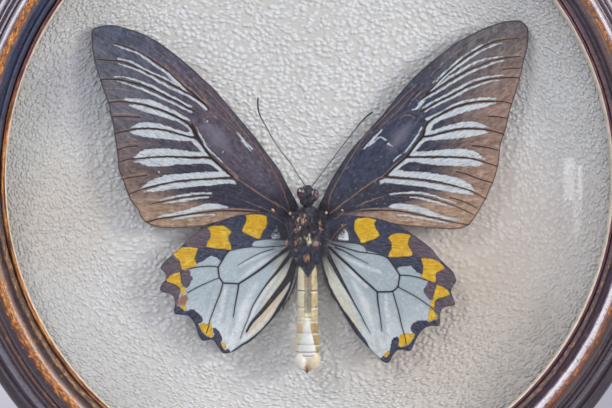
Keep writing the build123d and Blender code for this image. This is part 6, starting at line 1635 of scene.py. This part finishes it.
# looser hair at the sides over the wing roots
for side_ in (-1, 1):
    for _ in range(760):
        z = rng.uniform(-26.5, -10.5)
        x = TH_X + side_ * (thorax_r(z) * rng.uniform(0.72, 0.95))
        p = np.array([x, -18.6 - rng.uniform(0, 3.4), z])
        roots.append(p)
        dirs.append(np.array([side_ * rng.uniform(0.6, 1.0), -0.10, rng.uniform(-0.9, 0.35)]))
        lens.append(rng.uniform(1.0, 3.0))
        cols.append(HAIR[rng.choice(["night", "umber", "night", "slate", "night", "blue", "brown"])] * rng.uniform(0.7, 1.2))
        bends.append(np.array([side_ * 0.1, 0.16, -0.3]))
# the short dark fur that hides the roots of the four wings
for side_ in (-1, 1):
    for _ in range(1100):
        t = rng.random() ** 1.9
        x = TH_X + side_ * (4.6 + 7.6 * t)
        z = -15.4 - 4.0 * t * rng.random() + rng.normal() * (3.4 - 1.9 * t)
        dep = (16.3 if z > -19.5 + 0.25 * abs(x) else 17.6) + 0.35
        roots.append(np.array([x, -dep, z]))
        dirs.append(np.array([side_ * rng.uniform(0.5, 1.0), -0.28, rng.uniform(-0.5, 0.3)]))
        lens.append(rng.uniform(0.7, 1.7) * (1.1 - 0.5 * t))
        cols.append(HAIR[rng.choice(["night", "umber", "night", "blue", "night", "brown"])] * rng.uniform(0.6, 1.1))
        bends.append(np.array([side_ * 0.1, 0.22, -0.1]))
# the light tufts stand on top of the dark fur
for tx, tz, tr, tc in TUFTS:
    if tc in ("night", "blue", "plum"):
        continue
    for _ in range(int(24 * (tr / 0.6) ** 2)):
        x, z = tx + rng.normal() * tr * 0.42, tz + 0.5 * tr + rng.normal() * tr * 0.45
        q = min(abs(x - TH_X) / (thorax_r(z) + 0.2), 0.999)
        top = TH_Y - (thorax_r(z) + 0.2) * math.sqrt(1 - q * q) if q < 0.99 else -18.4
        roots.append(np.array([x, top - 0.25, z]))
        dirs.append(np.array([rng.normal() * 0.22, -0.30, -1.0]))
        lens.append(tr * rng.uniform(0.5, 1.3))
        cols.append(HAIR[tc] * rng.uniform(0.8, 1.35))
        bends.append(np.array([0.0, 0.10, -0.1]))
body_hair = hairs("thorax_hair", roots, dirs, lens, 0.19, cols, bends, 5)
w = Mat("hair", rough=0.34, spec=0.5, sheen=0.05)
P = w.obj()
hv = w.noise(P, 2600.0, 2, 0.6)
hc = w.mix(w.mr(hv, 0.3, 0.7, 0.0, 0.5), w.attr("hair", "Color"), w.hsv(w.attr("hair", "Color"), 0.5, 1.0, 1.5))
hair_mat = w.out(hc, w.mr(hv, 0.3, 0.7, 0.35, 0.6, smooth=False), w.bump(hv, 0.2, 0.00004))
put(body_hair, hair_mat)

# head
rows = curve_rows([(-9.4, 1.5), (-8.4, 2.3), (-6.8, 2.75), (-5.0, 2.7), (-3.6, 2.1), (-2.6, 1.3), (-2.1, 0.6)], 46)
head = lathe_z("head_core", rows, 72, lambda z: (-1.2, -19.4), lambda a, z: 1 + 0.05 * math.sin(4 * a + z * 2.0) - 0.14 * math.exp(-((math.cos(a)) / 0.2) ** 2) * (1 if math.sin(a) > 0 else 0))
put(head, skin_mat, replaces="head")
roots, dirs, lens, cols, bends = [], [], [], [], []
for _ in range(1100):
    z = rng.uniform(-9.2, -2.3)
    a = rng.uniform(0.15, math.pi - 0.15)
    rr = float(np.interp(z, [-9.4, -5.5, -2.0], [1.6, 2.7, 0.9])) * 0.95
    nrm = np.array([math.cos(a), -math.sin(a), 0.0])
    p = np.array([-1.2, -19.4, z]) + nrm * rr
    mid_ = abs(p[0] + 2.35 - 0.12 * (z + 6)) < 0.30
    chin = abs(z + 8.2 - 0.28 * abs(p[0] - 1.0)) < 0.35 and p[0] > -1.6
    roots.append(p)
    dirs.append(nrm * 0.7 + np.array([0.0, 0.0, 0.16 * (z + 6.0)]))
    lens.append(rng.uniform(0.25, 0.6))
    cols.append((HAIR["tan"] if ((mid_ or chin) and rng.random() < 0.8) else HAIR[rng.choice(["night", "blue", "night", "slate"])]) * rng.uniform(0.8, 1.2))
    bends.append(np.array([0, 0, 0.1]))
put(hairs("head_hair", roots, dirs, lens, 0.11, cols, bends, 6), hair_mat)


def blob(name, centre, radii, seg=40, rings=28, turn=0.0, rough=0.0, seed=1):
    v, f = [], []
    ct, st = math.cos(turn), math.sin(turn)
    rng_ = np.random.default_rng(seed)
    ph = rng_.uniform(0, TAU, 6)
    for i in range(rings + 1):
        th = math.pi * i / rings
        for s in range(seg):
            a = TAU * s / seg
            k = 1 + rough * (math.sin(3 * a + ph[0] + 2 * th) + 0.6 * math.sin(7 * a + ph[1]) * math.sin(5 * th + ph[2]))
            x, y, z = radii[0] * k * math.sin(th) * math.cos(a), radii[1] * k * math.sin(th) * math.sin(a), radii[2] * k * math.cos(th)
            v.append((centre[0] + x * ct + z * st, centre[1] + y, centre[2] - x * st + z * ct))
    for i in range(rings):
        for s in range(seg):
            s2 = (s + 1) % seg
            f.append((i * seg + s, i * seg + s2, (i + 1) * seg + s2, (i + 1) * seg + s))
    ob = new_mesh(name, v, f)
    import bmesh
    bm = bmesh.new()
    bm.from_mesh(ob.data)
    bmesh.ops.remove_doubles(bm, verts=bm.verts, dist=1e-7)
    bmesh.ops.recalc_face_normals(bm, faces=bm.faces)
    bm.to_mesh(ob.data)
    bm.free()
    return ob


w = Mat("eye", rough=0.16, spec=0.6, coat=0.6, coat_rough=0.05)
P = w.obj()
facet = w.vor(P, 7000.0, "DISTANCE_TO_EDGE")
en = w.noise(P, 620.0, 3, 0.6)
# the palest stop paints white glints on the eyes: painted highlights
ec = w.ramp(en, [(0.30, lin(32, 20, 28)), (0.48, lin(66, 44, 54)), (0.60, lin(112, 82, 88)), (0.72, lin(216, 204, 208))])
ec = w.mix(w.mr(facet, 0.08, 0.0, 0.0, 0.6), ec, lin(28, 18, 22))
eye_mat = w.out(ec, w.mr(en, 0.3, 0.7, 0.10, 0.24, smooth=False), w.bump(facet, 0.25, 0.00004))
eye_l = blob("eye_left", (-3.35, -20.7, -5.0), (1.5, 1.7, 2.15), turn=-0.16)
eye_r = blob("eye_right", (1.15, -20.7, -5.6), (1.6, 1.7, 2.2), turn=0.12)
put(eye_l, eye_mat, replaces="eyes")
put(eye_r, eye_mat)

# abdomen
AB_X, AB_Y = -1.1, -18.6
rings_z = [-33.8, -38.6, -43.7, -47.3, -52.4, -56.6, -59.2]
ab_knots = [(-66.4, 0.5), (-65.6, 1.7), (-64.2, 2.8), (-62, 3.8), (-59, 4.15), (-55, 3.95), (-50, 3.65), (-46, 3.5), (-40, 3.45), (-36, 3.35), (-32, 3.2), (-29.4, 2.9)]


def ab_centre(z):
    return (AB_X - 0.15 * math.sin((z + 30) * 0.09), AB_Y)


def ab_shape(a, z):
    k = 1.0
    for q in rings_z:
        k -= 0.045 * math.exp(-((z - q) / 0.22) ** 2)
        if 0 < z - q < 3.0:
            k += 0.014 * math.sin(math.pi * (z - q) / 3.0)
    f_ = math.sin(a)
    if f_ > 0:
        groove = sstep(-50.5, -46.5, z) * sstep(-30.5, -33.0, z)
        k -= 0.16 * float(groove) * math.exp(-((math.cos(a) - 0.04) / 0.26) ** 2)
        plate = sstep(-46.0, -48.5, z) * (1 - sstep(-58.0, -60.0, z))
        k += 0.03 * float(plate) * math.exp(-((math.cos(a)) / 0.45) ** 4)
    return k * (1 + 0.008 * math.sin(7 * a + z * 1.7))


abdomen = lathe_z("abdomen_skin", curve_rows(ab_knots, 300), 120, ab_centre, ab_shape)
w = Mat("abdomen", rough=0.5, spec=0.4, coat=0.15, coat_rough=0.3, sheen=0.15)
P = w.obj()
px, py, pz = w.sep(P)
xm = w.math("ADD", w.math("MULTIPLY", px, 1000.0), 1.15)
zm = w.math("MULTIPLY", pz, 1000.0)
n1 = w.noise(P, 900.0, 4, 0.6)
n2 = w.noise(P, 300.0, 3, 0.6)
n3 = w.noise(w.scale(P, (0.25, 1.0, 1.0)), 1800.0, 3, 0.6)
xj = w.math("ADD", xm, w.math("MULTIPLY", w.math("SUBTRACT", n2, 0.5), 0.9))
cream = w.ramp(n1, [(0.3, lin(222, 208, 168)), (0.55, lin(240, 230, 196)), (0.75, lin(249, 243, 220))])
tan_ = w.ramp(n1, [(0.3, lin(170, 152, 102)), (0.5, lin(206, 190, 142)), (0.7, lin(222, 208, 164))])
olive = w.ramp(n1, [(0.3, lin(132, 114, 68)), (0.7, lin(200, 178, 118))])
white_ = w.ramp(n1, [(0.3, lin(232, 232, 228)), (0.7, lin(248, 248, 246))])
brown_ = w.ramp(n1, [(0.3, lin(104, 96, 80)), (0.7, lin(168, 160, 136))])
c = w.mix(w.mr(xj, 0.4, 1.4), cream, tan_)
c = w.mix(w.math("MULTIPLY", w.mr(xj, 0.6, 1.6), w.mr(zm, -48.0, -50.0)), c, olive)
c = w.mix(w.math("MULTIPLY", w.mr(xj, -1.2, -2.2), w.math("MULTIPLY", w.mr(zm, -49.0, -50.4), w.mr(zm, -54.0, -52.4, 0.0, 0.7))), c, lin(222, 178, 122))
# groove down the middle
half = w.math("ABSOLUTE", w.math("SUBTRACT", xj, 0.05))
gv = w.math("MULTIPLY", w.mr(half, 1.25, 0.85), w.mr(zm, -46.6, -45.4))
brown_ = w.mix(w.mr(zm, -34.5, -38.0), w.ramp(n3, [(0.35, lin(96, 76, 70)), (0.65, lin(176, 146, 116))]), brown_)
c = w.mix(w.math("MULTIPLY", gv, 0.9), c, brown_)
c = w.mix(w.math("MULTIPLY", w.mr(w.math("ABSOLUTE", w.math("SUBTRACT", half, 1.15)), 0.30, 0.05), w.mr(zm, -47.0, -45.0, 0.0, 0.45)), c, lin(74, 60, 60))
dark_v = w.mr(w.math("SUBTRACT", w.math("ABSOLUTE", w.math("SUBTRACT", xm, 0.1)), w.mr(zm, -34.0, -30.0, 0.0, 2.6, smooth=False)), 0.25, -0.25)
c = w.mix(dark_v, c, w.ramp(n3, [(0.35, lin(26, 24, 38)), (0.65, lin(56, 54, 74))]))
# the white shield below it, widening to the tip
wide = w.mr(zm, -46.8, -59.0, 0.2, 3.0, smooth=False)
sh = w.mr(w.math("SUBTRACT", wide, w.math("ABSOLUTE", w.math("ADD", xj, 0.2))), -0.12, 0.12)
sh = w.math("MULTIPLY", w.math("MULTIPLY", sh, w.mr(zm, -61.5, -60.5)), w.mr(zm, -46.4, -47.2))
c = w.mix(sh, c, white_)
c = w.mix(w.math("MULTIPLY", w.mr(zm, -59.6, -60.6), w.mr(xj, 1.2, 0.2)), c, white_)
c = w.mix(w.math("MULTIPLY", w.mr(zm, -60.5, -62.5), w.mr(xj, -0.6, 0.8)), c, w.ramp(n1, [(0.3, lin(206, 178, 120)), (0.7, lin(238, 222, 180))]))
for q, dark in [(-38.4, 0.9), (-44.0, 0.7), (-47.4, 0.7), (-48.6, 0.22), (-52.7, 0.6), (-56.7, 0.6), (-59.3, 0.85), (-60.5, 0.9)]:
    ln = w.mr(w.math("ABSOLUTE", w.math("SUBTRACT", w.math("ADD", zm, w.math("MULTIPLY", w.math("SUBTRACT", n2, 0.5), 0.5)), q)), 0.26, 0.05, 0.0, dark)
    side_m = w.mr(half, 1.0, 1.3) if q > -47 else (w.mr(half, 1.2, 0.9) if q > -48 else 1.0)
    pale_l = w.mr(w.math("ABSOLUTE", w.math("SUBTRACT", zm, q - 0.55)), 0.45, 0.1, 0.0, 0.6)
    c = w.mix(w.math("MULTIPLY", pale_l, side_m), c, lin(240, 240, 236))
    c = w.mix(w.math("MULTIPLY", ln, side_m), c, lin(76, 44, 62) if q == -38.4 else (lin(104, 84, 78) if q == -44.0 else lin(120, 94, 74)))
c = w.mix(w.mr(n3, 0.56, 0.70, 0.0, 0.4), c, w.hsv(c, 0.5, 1.1, 0.72))
c = w.mix(w.mr(zm, -65.2, -66.4), c, lin(160, 92, 44))
ab_mat = w.out(c, w.mr(n1, 0.3, 0.7, 0.36, 0.58, smooth=False), w.bump(w.math("ADD", n1, w.math("MULTIPLY", n3, 0.8)), 0.45, 0.00018))
put(abdomen, ab_mat, replaces="abdomen")
# the two claspers at the tip
w = Mat("clasper", rough=0.42, spec=0.45, coat=0.2, coat_rough=0.25)
P = w.obj()
px, py, pz = w.sep(P)
n1 = w.noise(P, 800.0, 4, 0.6)
cc = w.mix(w.mr(px, -0.0020, -0.0006), w.ramp(n1, [(0.3, lin(228, 222, 204)), (0.7, lin(248, 246, 238))]), w.ramp(n1, [(0.3, lin(222, 206, 168)), (0.7, lin(242, 232, 206))]))
cc = w.mix(w.mr(pz, -0.0650, -0.0662), cc, lin(172, 104, 52))
clasp_mat = w.out(cc, w.mr(n1, 0.3, 0.7, 0.3, 0.5, smooth=False), w.bump(n1, 0.3, 0.0001))
put(blob("clasper_left", (-3.5, -21.0, -62.5), (2.15, 2.0, 3.0), turn=-0.20, rough=0.015, seed=3), clasp_mat)
put(blob("clasper_right", (0.75, -20.6, -62.3), (2.45, 2.0, 3.05), turn=0.26, rough=0.015, seed=4), clasp_mat)
w = Mat("tail_point", rough=0.35, spec=0.5, coat=0.3, coat_rough=0.2)
P = w.obj()
px, py, pz = w.sep(P)
n1 = w.noise(P, 1500.0, 3, 0.6)
tc = w.ramp(w.mr(w.math("ADD", pz, w.mr(n1, 0.3, 0.7, -0.0002, 0.0002, smooth=False)), -0.0668, -0.0628), [(0.0, lin(150, 104, 70)), (0.14, lin(46, 24, 20)), (0.38, lin(120, 62, 30)), (0.7, lin(206, 132, 56)), (1.0, lin(226, 190, 130))])
put(blob("tail_point", (-1.35, -21.9, -64.6), (0.40, 0.55, 2.1), turn=0.03, rough=0.03, seed=5), w.out(tc, w.mr(n1, 0.3, 0.7, 0.25, 0.45, smooth=False), w.bump(n1, 0.3, 0.00006)))


# antennae
def antenna(name, pts, flip):
    c = smooth_line(pts, 0.28)
    n = len(c)
    seg = np.linalg.norm(np.diff(c, axis=0), axis=1)
    s = np.concatenate([[0], np.cumsum(seg)])
    s /= s[-1]
    v, f = [], []
    tang = np.gradient(c, axis=0)
    tang /= np.linalg.norm(tang, axis=1)[:, None]
    m = 8
    for i in range(n):
        r = 0.155 + 0.12 * float(sstep(0.66, 0.92, s[i])) - 0.05 * float(sstep(0.97, 1.0, s[i]))
        r *= 1.0 + 0.07 * (1 if i % 2 else -1)
        if i in (0, n - 1):
            r *= 0.45
        nx, nz = -tang[i, 1], tang[i, 0]
        for k in range(m):
            a = TAU * k / m
            v.append((c[i, 0] + nx * r * math.cos(a), -19.0 - r * math.sin(a), c[i, 1] + nz * r * math.cos(a)))
    for i in range(n - 1):
        for k in range(m):
            k2 = (k + 1) % m
            f.append((i * m + k, i * m + k2, (i + 1) * m + k2, (i + 1) * m + k))
    f.append(tuple(range(m - 1, -1, -1)))
    f.append(tuple(range((n - 1) * m, n * m)))
    return out_of(new_mesh(name, v, f))


w = Mat("antenna", rough=0.4, spec=0.45)
P = w.obj()
n1 = w.noise(P, 1800.0, 3, 0.6)
ant_mat = w.out(w.ramp(n1, [(0.3, lin(26, 28, 28)), (0.6, lin(56, 56, 50)), (0.8, lin(96, 90, 76))]), w.mr(n1, 0.3, 0.7, 0.3, 0.5, smooth=False), w.bump(n1, 0.3, 0.00005))
put(antenna("antenna_left_stem", [(-1.8, -2.5), (-6.7, 5.1), (-11.5, 11.3), (-15.0, 17.4), (-17.4, 21.9), (-18.1, 25.6), (-18.0, 28.0)], -1), ant_mat, replaces="antenna_left")
put(antenna("antenna_right_stem", [(0.1, -3.0), (2.9, 0.6), (7.4, 6.5), (11.5, 12.0), (16.4, 18.2), (19.0, 21.2), (21.6, 23.2)], 1), ant_mat, replaces="antenna_right")

# leg joints and wing hinges folded on the thorax

LEGS = [
    (0.17, 0.11, [(-12.6, -7.6), (-10.6, -9.2), (-9.0, -10.2), (-7.0, -12.2)], 0.66),
    (0.20, 0.12, [(-13.6, -12.6), (-11.6, -13.8), (-9.6, -15.2), (-8.4, -16.4)], 0.5),
    (0.16, 0.10, [(-8.6, -14.4), (-8.0, -17.0), (-7.2, -19.4), (-6.4, -21.2)], 0.62),
    (0.18, 0.10, [(-6.2, -11.6), (-5.6, -14.0), (-5.0, -16.4), (-5.2, -19.0)], 0.72),
    (0.16, 0.12, [(-4.2, -11.0), (-4.0, -13.6), (-4.6, -15.8), (-4.2, -18.4)], 0.78),
    (0.20, 0.11, [(12.4, -7.4), (10.4, -8.9), (8.6, -10.4), (6.6, -12.2)], 0.62),
    (0.18, 0.11, [(12.6, -15.4), (10.6, -16.8), (8.6, -19.0), (6.8, -21.4)], 0.86),
    (0.15, 0.10, [(12.9, -16.6), (11.2, -17.9), (9.4, -19.9), (7.8, -21.9)], 0.7),
    (0.16, 0.10, [(11.8, -11.2), (10.2, -12.6), (8.4, -13.6), (6.9, -12.9)], 0.6),
    (0.16, 0.10, [(3.1, -13.6), (2.8, -15.6), (3.2, -17.4), (2.4, -19.4)], 0.8),
    (0.20, 0.12, [(-3.6, -9.8), (-3.0, -12.2), (-2.2, -14.8), (-2.6, -17.6)], 0.35),
    (0.18, 0.12, [(1.6, -10.0), (1.4, -12.6), (0.6, -15.0), (1.2, -18.0)], 0.2),
    (0.18, 0.10, [(-2.2, -17.6), (-1.0, -20.2), (-1.8, -23.0), (-0.8, -25.6)], 0.3),
    (0.16, 0.10, [(3.2, -17.8), (2.2, -20.6), (3.0, -23.4), (1.8, -26.2)], 0.25)]


def leg_depth(x, z):
    r = thorax_r(min(max(z, -29.0), -9.6)) if z < -9.4 else 2.2
    q = abs(x - TH_X)
    if q < r:
        return 19.0 + math.sqrt(r * r - q * q) * 0.97
    return max(19.0 - (q - r) * 0.75, 17.6)


legs = tubes("legs", [q for q in LEGS if abs(q[2][-1][0] - TH_X) > 5.2 or q[3] < 0.4], leg_depth, 0.75, step=0.4)
put(tubes("legs_upper", [(a_ * 0.75, b_ * 0.75, p_, 0.95) for a_, b_, p_, t_ in LEGS if not (abs(p_[-1][0] - TH_X) > 5.2 or t_ < 0.4)], leg_depth, 1.5, step=0.4), vein_mat)
put(legs, vein_mat)

# the pale knobs where the wings hinge
w = Mat("hinge_knob", rough=0.32, spec=0.5, coat=0.3, coat_rough=0.2)
P = w.obj()
n1 = w.noise(P, 1900.0, 3, 0.6)
knob_mat = w.out(w.ramp(n1, [(0.3, lin(150, 96, 62)), (0.5, lin(214, 160, 112)), (0.72, lin(246, 226, 196))]), w.mr(n1, 0.3, 0.7, 0.25, 0.42, smooth=False), w.bump(n1, 0.4, 0.00008))
for i, (x, z, rx, rz, lift_) in enumerate([(-7.0, -11.9, 0.50, 0.55, 20.0), (5.3, -11.7, 0.50, 0.55, 20.0), (-12.8, -10.8, 0.75, 0.42, 17.6), (11.1, -10.8, 0.42, 0.40, 17.6),
                                           (-6.1, -13.2, 0.30, 0.28, 21.0), (-8.1, -21.9, 0.75, 0.34, 19.4), (11.0, -15.8, 0.30, 0.26, 18.0)]):
    put(blob("hinge_knob_%d" % i, (x, -lift_, z), (rx, 0.5, rz), seg=20, rings=14, turn=0.4 * i, rough=0.04, seed=20 + i), knob_mat)

# hair on the inner rims of the hindwings
roots, dirs, lens, cols, bends = [], [], [], [], []
for pts, side_, dep, cnt in (([(3.4, -26.0), (4.6, -32.0), (6.6, -38.0), (9.6, -43.0), (12.6, -47.4), (16.0, -52.0)], -1, 17.1, 300), ([(-3.0, -25.5), (-3.6, -30.0), (-4.8, -35.0), (-6.6, -39.6), (-9.0, -43.8)], 1, 17.1, 120)):
    ln = smooth_line(pts, 0.2)
    for _ in range(cnt):
        i = rng.integers(1, len(ln) - 1)
        tg = ln[i + 1] - ln[i - 1]
        tg /= np.linalg.norm(tg)
        roots.append(np.array([ln[i, 0] - side_ * 0.35, -dep - rng.uniform(0, 0.35), ln[i, 1]]))
        dirs.append(np.array([tg[0] + side_ * rng.uniform(0.1, 0.45), 0.05, tg[1]]))
        lens.append(rng.uniform(1.2, 3.2))
        cols.append(HAIR[rng.choice(["umber", "night", "night", "umber", "brown"])] * rng.uniform(0.7, 1.2))
        bends.append(np.array([side_ * 0.05, 0.1, 0.0]))
put(hairs("rim_hair", roots, dirs, lens, 0.19, cols, bends, 8), hair_mat)


# ------------------------------------------------------------------ materials of the CAD nodes
def dress(mat, *names):
    for n in names:
        o = nodes[n]
        o.data.materials.clear()
        o.data.materials.append(mat)


w = Mat("aged_brass", rough=0.34, metal=1.0)
P = w.obj()
a = w.noise(P, 260.0, 5, 0.6)
b = w.noise(w.scale(P, (1.0, 1.0, 6.0)), 900.0, 3, 0.6)
c = w.ramp(a, [(0.28, lin(110, 78, 42)), (0.45, lin(176, 134, 72)), (0.62, lin(206, 168, 100)), (0.8, lin(226, 194, 132))])
c = w.mix(w.mr(w.noise(P, 900.0, 3, 0.7), 0.60, 0.70, 0.0, 0.7), c, lin(70, 50, 34))
dress(w.out(c, w.mr(b, 0.3, 0.7, 0.22, 0.46, smooth=False), w.bump(b, 0.25, 0.00008)),
      "turn_button_1", "turn_button_2", "turn_button_3", "turn_button_4", "hanger_plate", "hanger_ring")

w = Mat("brass_screws", rough=0.3, metal=1.0)
P = w.obj()
px, py, pz = w.sep(P)
a = w.noise(P, 700.0, 4, 0.6)
c = w.ramp(a, [(0.3, lin(120, 90, 50)), (0.5, lin(190, 152, 90)), (0.75, lin(228, 200, 146))])
c = w.mix(w.mr(py, -0.0024, -0.0032), c, lin(86, 64, 40))
dress(w.out(c, w.mr(a, 0.3, 0.7, 0.2, 0.42, smooth=False), w.bump(a, 0.2, 0.00006)), "button_screws", "hanger_screws")

w = Mat("plated_steel", rough=0.3, metal=1.0)
P = w.obj()
a = w.noise(P, 900.0, 4, 0.6)
dress(w.out(w.ramp(a, [(0.3, lin(120, 120, 124)), (0.7, lin(190, 190, 194))]), w.mr(a, 0.3, 0.7, 0.22, 0.5, smooth=False), w.bump(a, 0.2, 0.00005)), "button_washers", "mounting_pin")

w = Mat("hardboard", rough=0.8, spec=0.25)
P = w.obj()
px, py, pz = w.sep(P)
fib = w.noise(P, 420.0, 6, 0.7, 0.6)
mesh_u = w.math("SINE", w.math("MULTIPLY", w.math("ADD", px, pz), 2700.0))
mesh_v = w.math("SINE", w.math("MULTIPLY", w.math("SUBTRACT", px, pz), 2700.0))
wire = w.math("MULTIPLY", mesh_u, mesh_v)
big = w.noise(P, 25.0, 4, 0.6)
c = w.ramp(fib, [(0.25, lin(66, 42, 28)), (0.45, lin(108, 74, 50)), (0.6, lin(134, 96, 66)), (0.8, lin(166, 126, 90))])
c = w.mix(w.mr(big, 0.42, 0.68, 0.0, 0.5), c, w.hsv(c, 0.5, 0.9, 0.72))
c = w.mix(w.mr(wire, 0.2, 0.9, 0.0, 0.28), c, lin(58, 38, 26))
hh = w.math("ADD", fib, w.math("MULTIPLY", wire, -0.35))
dress(w.out(c, w.mr(fib, 0.3, 0.7, 0.7, 0.9, smooth=False), w.bump(hh, 0.6, 0.0003)), "rear_cover")

w = Mat("card", rough=0.85, spec=0.2)
P = w.obj()
fib = w.noise(w.scale(P, (1.0, 1.0, 5.0)), 400.0, 5, 0.65)
dress(w.out(w.ramp(fib, [(0.3, lin(146, 126, 98)), (0.7, lin(190, 172, 142))]), None, w.bump(fib, 0.4, 0.0002)), "spacer_ring")

w = Mat("foam", rough=0.9, spec=0.2)
P = w.obj()
cells = w.vor(P, 900.0, "F1")
dress(w.out(w.ramp(cells, [(0.1, lin(200, 200, 194)), (0.6, lin(236, 236, 230))]), None, w.bump(cells, 0.6, 0.0003)), "backing_pad")

w = Mat("black_felt", rough=0.95, spec=0.1, sheen=0.4)
P = w.obj()
fz = w.noise(P, 1400.0, 5, 0.7)
dress(w.out(w.ramp(fz, [(0.3, lin(22, 20, 22)), (0.7, lin(52, 48, 50))]), None, w.bump(fz, 0.7, 0.0002)), "glass_gasket")

w = Mat("cork", rough=0.85, spec=0.2)
P = w.obj()
gr = w.vor(P, 1100.0, "F1", out="Color")
gd = w.vor(P, 1100.0, "DISTANCE_TO_EDGE")
c = w.mix(w.mr(gr, 0.0, 1.0, 0.0, 1.0, smooth=False), lin(150, 108, 66), lin(196, 154, 104))
c = w.mix(w.mr(gd, 0.06, 0.0), c, lin(84, 56, 34))
dress(w.out(c, None, w.bump(gd, 0.5, 0.0002)), "specimen_pad")

# ------------------------------------------------------------------ which pieces the big windows shine on
shone = bpy.data.collections.new("case_pieces")
for ob in list(scene.objects):
    if ob.type == "MESH" and ob.name != "floor":
        shone.objects.link(ob)
for name in ("window_left", "window_right", "key_right", "fill_low"):
    bpy.data.objects[name].light_linking.receiver_collection = shone

# ------------------------------------------------------------------ end
bpy.context.view_layer.update()
